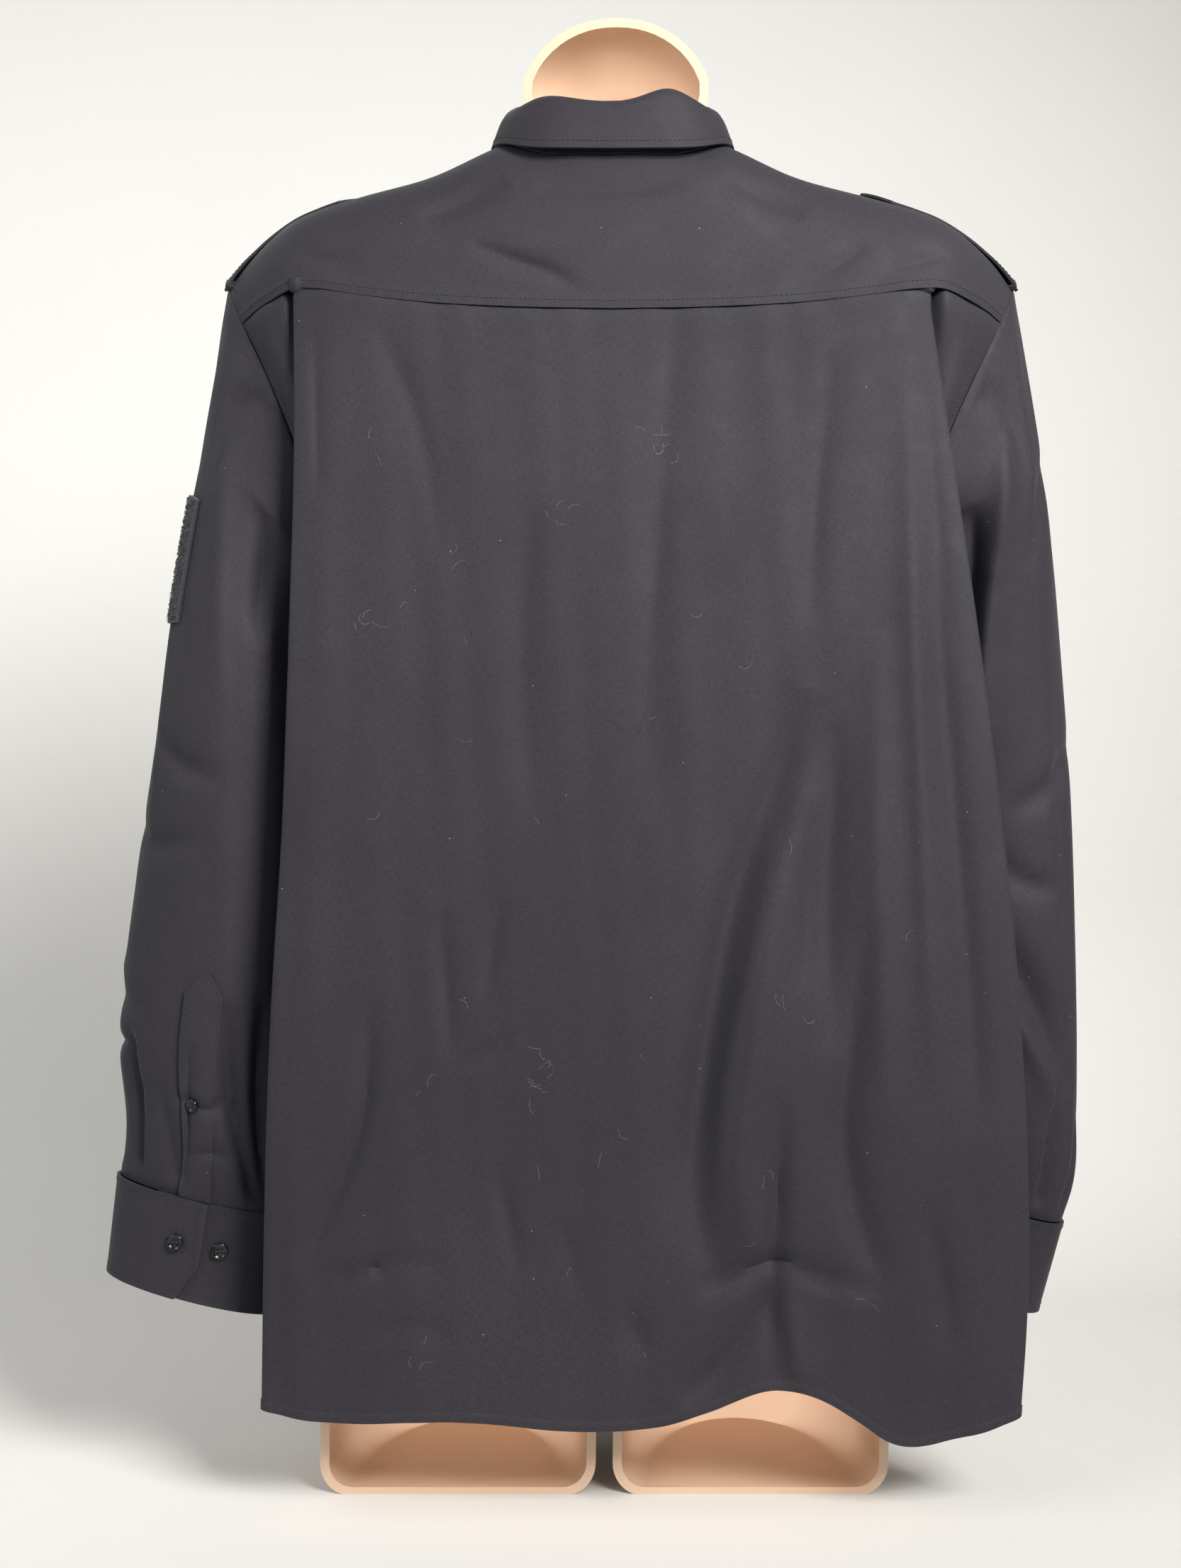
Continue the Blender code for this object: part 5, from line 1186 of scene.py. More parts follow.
FORM_COLUMNS = refine(FORM_COLUMNS, 6)
FORM_LEVELS = refine(FORM_LEVELS, 4)
FORM_TOP_TURNS = refine((0.0, *FORM_TOP_TURNS), 3)[1:]
FLOOR_SHARES = refine((*FLOOR_SHARES, 1.0), 4)[:-1]


def crease_depth(x: Array, z: Array, creases: dict) -> Array:
    """How far a table of creases sinks a surface: a bell across each path, fading out at both its ends.

    Args:
        x: Places across the surface.
        z: Places along it.
        creases: A path of x and z, how far it sinks and its half-width, for each crease.

    Returns:
        The depth at every place.
    """
    total = np.zeros(np.broadcast(x, z).shape)
    for across, along, sinks, half in creases.values():
        path = np.stack([across, along], -1)
        route = smooth(range(len(path)), path, np.linspace(0, len(path) - 1, CREASE_STEPS + 1))
        reach = CREASE_REACH * half
        low, high = route.min(0) - reach, route.max(0) + reach
        near = (x > low[0]) & (x < high[0]) & (z > low[1]) & (z < high[1])
        offset = np.stack([x[near], z[near]], -1)[:, None] - route[:-1]
        step = np.diff(route, axis=0)
        share = np.clip((offset * step).sum(-1) / np.maximum((step**2).sum(-1), 1e-12), 0, 1)
        away = np.linalg.norm(offset - share[..., None] * step, axis=-1)
        nearest = away.argmin(-1)
        picked = np.arange(len(nearest))
        place = (nearest + share[picked, nearest]) / CREASE_STEPS
        fade = np.sin(math.pi * place) ** CREASE_FADE
        far = away[picked, nearest] / half
        bell = np.exp(-CREASE_STEEP * (np.sqrt(far**2 + CREASE_BLUNT_SQUARE) - CREASE_BLUNT))
        bell = bell * np.clip(1 - (far / CREASE_REACH) ** 2, 0, 1) ** 2
        total[near] += sinks * fade * bell
    return total


def ripple(x: Array, z: Array, seed: int, long: float) -> Array:
    """Slight unevenness of worn cloth, -1 to 1: a sum of slow sine waves that lean either way.

    Args:
        x: Places across the cloth.
        z: Places up the cloth.
        seed: Which pattern.
        long: The waves' usual length.

    Returns:
        The unevenness at every place.
    """
    rng = np.random.default_rng(seed)
    total = np.zeros(np.broadcast(x, z).shape)
    leans = rng.uniform(-RIPPLE_LEAN, RIPPLE_LEAN, RIPPLE_WAVES)
    sizes = rng.uniform(*RIPPLE_SIZES, RIPPLE_WAVES)
    for lean, size, phase in zip(leans, sizes, rng.uniform(0, 6.3, RIPPLE_WAVES)):
        total += np.sin(2 * math.pi * (x * math.cos(lean) + z * math.sin(lean)) / (long * size) + phase)
    return total / 4


def along_edge(grid: Array, edge: str) -> Array:
    """The grid turned so that its first row is the named edge.

    Args:
        grid: Rows of points.
        edge: bottom, top, start or end.

    Returns:
        The same points, rows counted from that edge.
    """
    turned = {"bottom": grid, "top": grid[::-1], "start": np.swapaxes(grid, 0, 1)}
    return turned[edge] if edge in turned else np.swapaxes(grid, 0, 1)[::-1]


def put_back(values: Array, edge: str) -> Array:
    """Values counted from an edge, turned back into the grid's own order.

    Args:
        values: A value for every point of the turned grid.
        edge: bottom, top, start or end.

    Returns:
        The same values in the grid's order.
    """
    values = values[::-1] if edge in ("top", "end") else values
    return values if edge in ("bottom", "top") else np.swapaxes(values, 0, 1)


def edge_distance(grid: Array, edge: str) -> Array:
    """Distance over the cloth from an edge: the lengths of the steps away from it, added up.

    Args:
        grid: Rows of points.
        edge: bottom, top, start or end.

    Returns:
        The distance of every point, in the turned grid's order.
    """
    steps = np.linalg.norm(np.diff(along_edge(grid, edge), axis=0), axis=-1)
    return np.concatenate([np.zeros((1, steps.shape[1])), np.cumsum(steps, 0)])


def turned_in(grid: Array, edges: dict, ring: bool = False) -> Array:
    """Thickens a panel beside edges that are folded over twice, as a smooth step at the fold's inner line.

    Args:
        grid: Rows of outer points.
        edges: Width and rise of the fold by edge.
        ring: Whether the columns close into a ring.

    Returns:
        The moved points.
    """
    rise = np.zeros(grid.shape[:2])
    for edge, (width, height) in edges.items():
        step = height * soft_step((width - edge_distance(grid, edge)) / FOLD_STEP)
        rise = np.maximum(rise, put_back(step, edge))
    return grid + grid_normals(grid, ring) * rise[..., None]


def seamed(grid: Array, edges: tuple, ring: bool = False) -> Array:
    """Lets a panel dip beside edges that are sewn to another panel, so that the seam shows as a line.

    Args:
        grid: Rows of outer points.
        edges: The sewn edges.
        ring: Whether the columns close into a ring.

    Returns:
        The moved points.
    """
    dip = np.zeros(grid.shape[:2])
    for edge in edges:
        step = SEAM_DEPTH * (1 - soft_step(edge_distance(grid, edge) / SEAM_REACH))
        dip = np.maximum(dip, put_back(step, edge))
    return grid - grid_normals(grid, ring) * dip[..., None]


def wall_quads(rows: int, columns: int, ring: bool, skip: Array | None = None) -> Array:
    """Faces of a closed wall over a grid: the outer side, the inner side and the rims between them.

    Args:
        rows: Rows of points.
        columns: Points in a row.
        ring: Whether the columns close into a ring.
        skip: Cells that stay open.

    Returns:
        Four corners for each face; the inner points follow the outer ones.
    """
    count = rows * columns
    row, column = np.meshgrid(np.arange(rows - 1), np.arange(columns if ring else columns - 1), indexing="ij")
    a = row * columns + column
    b = row * columns + (column + 1) % columns
    quads = np.stack([a, b, b + columns, a + columns], -1)
    quads = (quads[~skip] if skip is not None else quads).reshape(-1, 4)
    edges = np.concatenate([quads[:, [k, (k + 1) % 4]] for k in range(4)])
    keys = edges[:, 0] * count + edges[:, 1]
    p, q = edges[~np.isin(edges[:, 1] * count + edges[:, 0], keys)].T
    rims = np.stack([q, p, p + count, q + count], -1)
    return np.concatenate([quads, quads[:, ::-1] + count, rims])


def cloth_lengths(grid: Array) -> Array:
    """A flat layout of a grid in metres: mean distances along its columns and up its rows.

    Args:
        grid: Rows of points.

    Returns:
        u and v for every point.
    """
    across = np.linalg.norm(np.diff(grid, axis=1), axis=-1).mean(0)
    upward = np.linalg.norm(np.diff(grid, axis=0), axis=-1).mean(1)
    u = np.concatenate([[0.0], np.cumsum(across)])
    v = np.concatenate([[0.0], np.cumsum(upward)])
    return np.stack(np.meshgrid(u, v), -1)


class Slot(Enum):
    """The record's finishes."""

    CLOTH = "shirt_cloth"
    TAPE = "loop_tape"
    BUTTON = "button_plastic"
    FORM = "form_plastic"


@dataclass
class Piece:
    """One finished piece: its mesh, its finish and the node that it stands for."""

    name: str
    material: bpy.types.Material
    slot: Slot
    nodes: tuple = ()
    sharp: float = 50.0

    def add(self, points: Array, faces: Array, flat: Array | None = None) -> bpy.types.Object:
        """Puts points and faces into an object that rides on the one body.

        Args:
            points: Every vertex, in the garment's own frame.
            faces: Corners of each face, three or four.
            flat: The flat layout of every vertex, where a weave follows it.

        Returns:
            The object.
        """
        mesh = bpy.data.meshes.new(self.name)
        sides = faces.shape[1]
        mesh.vertices.add(len(points))
        mesh.vertices.foreach_set("co", (points + FRAME_SHIFT).astype(np.float32).ravel())
        mesh.loops.add(faces.size)
        mesh.loops.foreach_set("vertex_index", faces.astype(np.int32).ravel())
        mesh.polygons.add(len(faces))
        mesh.polygons.foreach_set("loop_start", np.arange(0, faces.size, sides, dtype=np.int32))
        mesh.update(calc_edges=True)
        if flat is not None:
            layer = mesh.uv_layers.new(name="cut")
            layer.data.foreach_set("uv", flat[faces.ravel()].astype(np.float32).ravel())
        mesh.shade_smooth()
        mesh.set_sharp_from_angle(angle=math.radians(self.sharp))
        mesh.materials.append(self.material)
        made = bpy.data.objects.new(self.name, mesh)
        bpy.context.scene.collection.objects.link(made)
        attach(made, "root")
        if self.nodes:
            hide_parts(*self.nodes)
        return made

    def wall(self, outer: Array, thickness: float, ring: bool = False, seams: dict | None = None) -> None:
        """Adds a closed wall under rows of outer points that run upward and anticlockwise from above.

        Args:
            outer: Rows of outer points.
            thickness: The wall.
            ring: Whether the columns close into a ring.
            seams: The wall's own direction along an edge that it shares with another panel.
        """
        across = grid_normals(outer, ring)
        whole = slice(None)
        places = {"bottom": (0, whole), "top": (-1, whole), "start": (whole, 0), "end": (whole, -1)}
        for edge, direction in (seams or {}).items():
            across[places[edge]] = unit(direction)
        inner = outer - across * thickness
        points = np.concatenate([outer.reshape(-1, 3), inner.reshape(-1, 3)])
        flat = cloth_lengths(outer).reshape(-1, 2)
        made = self.add(points, wall_quads(*outer.shape[:2], ring), np.concatenate([flat, flat]))
        self.declare(outer, ring)

    def declare(self, outer: Array, ring: bool) -> None:
        """Logs the size that the piece was cut to: its laid-out lengths and its area.

        Args:
            outer: Its outer points.
            ring: Whether it is a tube.
        """
        closed = np.concatenate([outer, outer[:, :1]], 1) if ring else outer
        one = np.cross(np.diff(closed, axis=1)[:-1], np.diff(closed, axis=0)[:, :-1])
        lengths = cloth_lengths(closed)[-1, -1]
        size = float(np.linalg.norm(one, axis=-1).sum())
        log.info("%s: %.3f by %.3f m laid out, %.4f square metres", self.name, *lengths, size)


# Finishes


def new_group(name: str, inputs: dict, outputs: dict) -> tuple:
    """A shader node group with named inputs and outputs.

    Args:
        name: The group's name.
        inputs: Socket kind and default by name.
        outputs: Socket kind by name.

    Returns:
        The group and its two end nodes.
    """
    group = bpy.data.node_groups.new(name, "ShaderNodeTree")
    for label, (kind, value) in inputs.items():
        socket = group.interface.new_socket(label, in_out="INPUT", socket_type=f"NodeSocket{kind}")
        if value is not None:
            socket.default_value = value
    for label, kind in outputs.items():
        group.interface.new_socket(label, in_out="OUTPUT", socket_type=f"NodeSocket{kind}")
    start, end = group.nodes.new("NodeGroupInput"), group.nodes.new("NodeGroupOutput")
    return group, start, end


def math_node(tree: bpy.types.NodeTree, kind: str, *values: object, clamp: bool = False) -> object:
    """A math node's result.

    Args:
        tree: The node tree.
        kind: The operation.
        values: Numbers, or sockets to link.
        clamp: Whether the result stays between 0 and 1.

    Returns:
        The result's socket.
    """
    node = tree.nodes.new("ShaderNodeMath")
    node.operation, node.use_clamp = kind, clamp
    for socket, value in zip(node.inputs, values):
        if isinstance(value, (int, float)):
            socket.default_value = value
        else:
            tree.links.new(value, socket)
    return node.outputs[0]


def noise_node(
    tree: bpy.types.NodeTree, vector: object, scale: object, detail: float, rough: float
) -> object:
    """A noise texture's value.

    Args:
        tree: The node tree.
        vector: The coordinates' socket.
        scale: A number, or a socket to link.
        detail: Layers of finer noise.
        rough: How strong they are.

    Returns:
        The value's socket.
    """
    node = tree.nodes.new("ShaderNodeTexNoise")
    tree.links.new(vector, node.inputs["Vector"])
    if isinstance(scale, (int, float)):
        node.inputs["Scale"].default_value = scale
    else:
        tree.links.new(scale, node.inputs["Scale"])
    node.inputs["Detail"].default_value = detail
    node.inputs["Roughness"].default_value = rough
    return node.outputs["Fac"]


def mapped(tree: bpy.types.NodeTree, vector: object, scale: tuple) -> object:
    """Coordinates stretched by a scale of their own on each axis.

    Args:
        tree: The node tree.
        vector: The coordinates' socket.
        scale: The three scales.

    Returns:
        The stretched coordinates' socket.
    """
    node = tree.nodes.new("ShaderNodeMapping")
    node.inputs["Scale"].default_value = scale
    tree.links.new(vector, node.inputs["Vector"])
    return node.outputs[0]


def risen(tree: bpy.types.NodeTree, value: object, low: float, high: float) -> object:
    """A value's rise from 0 at low to 1 at high.

    Args:
        tree: The node tree.
        value: The value's socket.
        low: Where the rise starts.
        high: Where it ends.

    Returns:
        The risen value's socket.
    """
    node = tree.nodes.new("ShaderNodeMapRange")
    node.interpolation_type = "SMOOTHSTEP"
    node.inputs["From Min"].default_value = low
    node.inputs["From Max"].default_value = high
    tree.links.new(value, node.inputs["Value"])
    return node.outputs["Result"]


def blended(tree: bpy.types.NodeTree, share: object, one: object, other: object) -> object:
    """A colour between two others.

    Args:
        tree: The node tree.
        share: The share's socket.
        one: The colour, or its socket, at 0.
        other: The colour, or its socket, at 1.

    Returns:
        The colour's socket.
    """
    node = tree.nodes.new("ShaderNodeMix")
    node.data_type = "RGBA"
    tree.links.new(share, node.inputs[0])
    for socket, value in ((node.inputs[6], one), (node.inputs[7], other)):
        if isinstance(value, tuple):
            socket.default_value = (*value, 1.0)
        else:
            tree.links.new(value, socket)
    return node.outputs[2]


WARP_SLUBS, WEFT_SLUBS = (900.0, 260.0, 1.0), (260.0, 900.0, 1.0)
SLUB_DETAIL, SLUB_ROUGH, SLUB_RISE, CROSSED_SHARE = 3.0, 0.7, (0.36, 0.64), 0.35
SPECK_EDGE, SPECK_FULL = 0.055, 0.02
BROAD_NOISE, BROAD_RISE = (3.0, 0.55), (0.35, 0.7)
FINE_TIMES, FINE_NOISE, FINE_RISE = 9.0, (4.0, 0.6), (0.4, 0.75)
WEAR_SIZE, WEAR_SHARE, WEAR_GLOSS = 5.0, 0.75, -0.07
DEEP_THREAD, THREAD_SHARE = 0.5, 0.6
LINT_CELLS, LINT_SHARE, LINT_COLOUR = 95.0, 0.5, (0.36, 0.34, 0.32)
RELIEF_STRENGTH, SHEEN_ROUGHNESS = 0.6, 0.45


def weave_group() -> bpy.types.NodeTree:
    """Plain weave: two crossed rows of round threads with slubs, as a height and a thread's shade.

    Returns:
        The group.
    """
    group, start, end = new_group(
        "weave",
        {"Vector": ("Vector", None), "Threads": ("Float", 1400.0)},
        {"Height": "Float", "Shade": "Float"},
    )
    split = group.nodes.new("ShaderNodeSeparateXYZ")
    group.links.new(start.outputs["Vector"], split.inputs[0])
    waves = []
    for axis in ("X", "Y"):
        turns = math_node(group, "MULTIPLY", split.outputs[axis], start.outputs["Threads"])
        waves.append(math_node(group, "SINE", math_node(group, "MULTIPLY", turns, math.pi)))
    crossed = math_node(group, "MULTIPLY", *waves)
    warp, weft = (
        noise_node(group, mapped(group, start.outputs["Vector"], scales), 1.0, SLUB_DETAIL, SLUB_ROUGH)
        for scales in (WARP_SLUBS, WEFT_SLUBS)
    )
    slub = math_node(group, "MULTIPLY", math_node(group, "ADD", warp, weft), 0.5)
    height = math_node(group, "ADD", math_node(group, "MULTIPLY", crossed, CROSSED_SHARE), slub)
    group.links.new(height, end.inputs["Height"])
    group.links.new(risen(group, slub, *SLUB_RISE), end.inputs["Shade"])
    return group


def lint_group() -> bpy.types.NodeTree:
    """Specks of lint: small round spots about the random points of some cells.

    Returns:
        The group.
    """
    group, start, end = new_group(
        "lint",
        {"Vector": ("Vector", None), "Cells": ("Float", 80.0), "Spread": ("Float", 0.7)},
        {"Mask": "Float"},
    )
    cells = group.nodes.new("ShaderNodeTexVoronoi")
    group.links.new(start.outputs["Vector"], cells.inputs["Vector"])
    group.links.new(start.outputs["Cells"], cells.inputs["Scale"])
    shade = group.nodes.new("ShaderNodeSeparateColor")
    group.links.new(cells.outputs["Color"], shade.inputs[0])
    chosen = math_node(group, "GREATER_THAN", shade.outputs[0], start.outputs["Spread"])
    spot = risen(group, cells.outputs["Distance"], SPECK_EDGE, SPECK_FULL)
    group.links.new(math_node(group, "MULTIPLY", chosen, spot), end.inputs["Mask"])
    return group


def wear_group() -> bpy.types.NodeTree:
    """Handled, washed places: two sizes of cloudy noise.

    Returns:
        The group.
    """
    group, start, end = new_group(
        "wear", {"Vector": ("Vector", None), "Size": ("Float", 5.0)}, {"Broad": "Float", "Fine": "Float"}
    )
    broad = noise_node(group, start.outputs["Vector"], start.outputs["Size"], *BROAD_NOISE)
    finer = math_node(group, "MULTIPLY", start.outputs["Size"], FINE_TIMES)
    fine = noise_node(group, start.outputs["Vector"], finer, *FINE_NOISE)
    group.links.new(risen(group, broad, *BROAD_RISE), end.inputs["Broad"])
    group.links.new(risen(group, fine, *FINE_RISE), end.inputs["Fine"])
    return group


@dataclass
class Effects:
    """The shared effects, each built once."""

    weave: bpy.types.NodeTree = field(default_factory=weave_group)
    lint: bpy.types.NodeTree = field(default_factory=lint_group)
    wear: bpy.types.NodeTree = field(default_factory=wear_group)


@dataclass(frozen=True)
class Finish:
    """A finish: its colours, gloss and the strength of what lies on it."""

    name: str
    colour: tuple
    worn: tuple
    roughness: float
    sheen: float = 0.0
    threads: float = 0.0
    bump: float = 0.00004
    lint: float = 0.0
    specular: float = 0.5
    # Strength and depths of a painted glow, emission that brightens a shell's shaded inside
    painted_glow: float = 0.0
    painted_glow_depths: tuple = (0.052, 0.01)

    def start(self) -> tuple:
        """An empty material of this finish.

        Returns:
            The material, its tree, its shader and its object coordinates.
        """
        material = bpy.data.materials.new(self.name)
        material.use_nodes = True
        tree = material.node_tree
        shader = tree.nodes["Principled BSDF"]
        shader.inputs["Sheen Weight"].default_value = self.sheen
        shader.inputs["Sheen Roughness"].default_value = SHEEN_ROUGHNESS
        shader.inputs["Specular IOR Level"].default_value = self.specular
        place = tree.nodes.new("ShaderNodeTexCoord").outputs["Object"]
        # Painted light: an emission glow on the inside of the shell
        if self.painted_glow:
            self.paint_inner_glow(tree, shader, place)
        return material, tree, shader, place

    def paint_inner_glow(self, tree: bpy.types.NodeTree, shader: bpy.types.Node, place: object) -> None:
        """Painted light on the shell's inside: an emission that grows with depth, on what faces the back,
        standing in for light that no lamp brings there.

        Args:
            tree: The material's tree.
            shader: Its shader.
            place: Its object coordinates.
        """
        depth, facing = (tree.nodes.new("ShaderNodeSeparateXYZ") for _ in range(2))
        tree.links.new(place, depth.inputs[0])
        tree.links.new(tree.nodes.new("ShaderNodeNewGeometry").outputs["Normal"], facing.inputs[0])
        share = tree.nodes.new("ShaderNodeMapRange")
        tree.links.new(depth.outputs["Y"], share.inputs["Value"])
        labels = ("From Min", "From Max", "To Min", "To Max")
        for label, value in zip(labels, (*self.painted_glow_depths, 0.0, self.painted_glow)):
            share.inputs[label].default_value = value
        strength = tree.nodes.new("ShaderNodeMath")
        strength.operation, strength.use_clamp = "MULTIPLY", True
        tree.links.new(share.outputs[0], strength.inputs[0])
        tree.links.new(facing.outputs["Y"], strength.inputs[1])
        tree.links.new(strength.outputs[0], shader.inputs["Emission Strength"])
        # The painted glow takes the finish's worn colour
        shader.inputs["Emission Color"].default_value = (*self.worn, 1.0)

    def laid(
        self, tree: bpy.types.NodeTree, effect: bpy.types.NodeTree, vector: object, **values: float
    ) -> object:
        """Places a shared effect in a material.

        Args:
            tree: The material's tree.
            effect: The group.
            vector: The coordinates' socket.
            values: Numbers for its named inputs.

        Returns:
            The group's outputs.
        """
        node = tree.nodes.new("ShaderNodeGroup")
        node.node_tree = effect
        tree.links.new(vector, node.inputs["Vector"])
        for label, value in values.items():
            node.inputs[label].default_value = value
        return node.outputs

    def material(self, effects: Effects) -> bpy.types.Material:
        """The material: colour, gloss and relief from weave, wear and lint.

        Args:
            effects: The shared effects.

        Returns:
            The material.
        """
        material, tree, shader, place = self.start()
        wear = self.laid(tree, effects.wear, place, Size=WEAR_SIZE)
        worn = math_node(tree, "MULTIPLY", wear["Broad"], WEAR_SHARE)
        colour = blended(tree, worn, self.colour, self.worn)
        gloss = math_node(tree, "MULTIPLY_ADD", wear["Fine"], WEAR_GLOSS, self.roughness)
        height = wear["Fine"]
        if self.threads:
            layout = tree.nodes.new("ShaderNodeUVMap")
            layout.uv_map = "cut"
            weave = self.laid(tree, effects.weave, layout.outputs[0], Threads=self.threads)
            darker = tuple(DEEP_THREAD * part for part in self.colour)
            shade = math_node(tree, "SUBTRACT", 1.0, weave["Shade"])
            colour = blended(tree, math_node(tree, "MULTIPLY", shade, THREAD_SHARE), colour, darker)
            height = weave["Height"]
        if self.lint:
            specks = self.laid(tree, effects.lint, place, Cells=LINT_CELLS, Spread=1.0 - self.lint)
            share = math_node(tree, "MULTIPLY", specks["Mask"], LINT_SHARE)
            colour = blended(tree, share, colour, LINT_COLOUR)
        relief = tree.nodes.new("ShaderNodeBump")
        relief.inputs["Strength"].default_value = RELIEF_STRENGTH
        relief.inputs["Distance"].default_value = self.bump
        tree.links.new(height, relief.inputs["Height"])
        tree.links.new(relief.outputs[0], shader.inputs["Normal"])
        tree.links.new(colour, shader.inputs["Base Color"])
        tree.links.new(gloss, shader.inputs["Roughness"])
        return material


SHIRT_CLOTH = Finish(
    "shirt_cloth", (0.0225, 0.0205, 0.0275), (0.034, 0.0305, 0.037), 0.72, sheen=0.05, threads=1500.0,
    lint=0.16, specular=0.26,
)
LOOP_TAPE = Finish(
    "loop_tape", (0.016, 0.017, 0.024), (0.026, 0.028, 0.036), 0.95, sheen=0.35, threads=900.0, bump=0.0006,
    lint=0.2,
)
THREAD = Finish(
    "sewing_thread", (0.029, 0.027, 0.034), (0.041, 0.039, 0.046), 0.7, sheen=0.05, specular=0.3, bump=0.00002
)
LINT = Finish("lint_fibre", (0.26, 0.245, 0.225), (0.34, 0.32, 0.29), 0.8, bump=0.00001)
BUTTON_PLASTIC = Finish("button_plastic", (0.005, 0.005, 0.006), (0.009, 0.009, 0.011), 0.17, bump=0.00001)
# The form's shaded inside is brightened by painted light, an emission glow of strength 1.35
FORM_PLASTIC = Finish(
    "form_plastic", (0.65, 0.465, 0.335), (0.62, 0.435, 0.305), 0.42, bump=0.00008, specular=0.3, painted_glow=1.35
)


# Stitching


@dataclass
class Stitching:
    """Rows of stitches, gathered from every piece into one mesh."""

    pitch: float = 0.0031
    long: float = 0.0025
    thick: float = 0.00026
    around: int = 5
    name: str = "seam_stitches"
    hole_long: float = 0.014
    hole_pitch: float = 0.0007
    hole_reach: tuple = (0.0002, 0.0014)
    tip_sink: float = 0.3
    runs: list = field(default_factory=list)

    def row(self, grid: Array, edge: str, inset: float, start: float = 0.0, end: float = 1.0) -> None:
        """A row of stitches at one distance from an edge of a panel.

        Args:
            grid: The panel's outer points.
            edge: bottom, top, start or end.
            inset: Distance from the edge.
            start: Share of the edge where the row starts.
            end: Share where it ends.
        """
        rows = along_edge(grid, edge)
        out = along_edge(grid_normals(grid), edge)
        away = edge_distance(grid, edge)
        low = np.clip((away <= inset).sum(0) - 1, 0, len(rows) - 2)
        column = np.arange(rows.shape[1])
        step = np.maximum(away[low + 1, column] - away[low, column], 1e-9)
        share = np.clip((inset - away[low, column]) / step, 0, 1)[:, None]
        points = mix(rows[low, column], rows[low + 1, column], share)
        normals = unit(mix(out[low, column], out[low + 1, column], share))
        cut = slice(int(start * len(column)), max(int(math.ceil(end * len(column))), 2))
        self.path(points[cut], normals[cut])

    def path(self, points: Array, normals: Array) -> None:
        """A row of stitches along a path.

        Args:
            points: The path, on the cloth.
            normals: The cloth's normals there.
        """
        lengths = np.concatenate([[0.0], np.cumsum(np.linalg.norm(np.diff(points, axis=0), axis=1))])
        if lengths[-1] < self.long:
            return
        middles = np.arange(self.long / 2, lengths[-1] - self.long / 2, self.pitch)
        at = [
            np.stack([np.interp(middles + d * self.long / 2, lengths, points[:, k]) for k in range(3)], -1)
            for d in (-1, 1)
        ]
        up = unit(np.stack([np.interp(middles, lengths, normals[:, k]) for k in range(3)], -1))
        self.runs.append((at[0], at[1], up))

    def bars(self, starts: Array, ends: Array, up: Array) -> None:
        """Single stitches from point to point."""
        self.runs.append((starts, ends, up))

    def buttonhole(self, centre: Array, along: Array, up: Array) -> None:
        """Two dense rows of short stitches across the edges of a slit.

        Args:
            centre: Its middle.
            along: Its direction.
            up: The cloth's normal.
        """
        across = np.cross(up, along)
        places = centre + along * np.arange(-self.hole_long / 2, self.hole_long / 2, self.hole_pitch)[:, None]
        ups = np.broadcast_to(up, places.shape)
        near, far = self.hole_reach
        for way in (-1, 1):
            self.bars(places + across * way * near, places + across * way * far, ups)

    def build(self, material: bpy.types.Material) -> int:
        """Adds the mesh: each stitch a thread of three rings and two tips, arched over the cloth.

        Args:
            material: The thread's material.

        Returns:
            How many stitches there are.
        """
        start, end, up = (np.concatenate(parts) for parts in zip(*self.runs))
        side = unit(np.cross(end - start, up))
        shares, swell, rises = (0.14, 0.5, 0.86), (0.8, 1.0, 0.8), (0.55, 1.0, 0.55)
        turns = np.linspace(0, 2 * math.pi, self.around, endpoint=False)
        rings = []
        for share, wide, rise in zip(shares, swell, rises):
            middle = mix(start, end, share) + up * self.thick * rise
            spoke = side[:, None] * np.cos(turns)[:, None] + up[:, None] * np.sin(turns)[:, None]
            rings.append(middle[:, None] + spoke * self.thick * wide)
        tips = [start - up * self.thick * self.tip_sink, end - up * self.thick * self.tip_sink]
        points = np.concatenate([*rings, *(tip[:, None] for tip in tips)], 1)
        each, count = points.shape[1], self.around
        ring = np.arange(count)
        after = (ring + 1) % count
        first, last = 3 * count, 3 * count + 1
        faces = [np.stack([np.full(count, first), after, ring], -1)]
        for low in (0, count):
            faces += [np.stack([ring + low, after + low, after + low + count], -1)]
            faces += [np.stack([ring + low, after + low + count, ring + low + count], -1)]
        faces += [np.stack([ring + 2 * count, after + 2 * count, np.full(count, last)], -1)]
        shape = np.concatenate(faces)[:, ::-1]
        all_faces = (shape[None] + np.arange(len(points))[:, None, None] * each).reshape(-1, 3)
        Piece(self.name, material, Slot.CLOTH, sharp=180.0).add(points.reshape(-1, 3), all_faces)
        return len(points)


# The garment's pieces


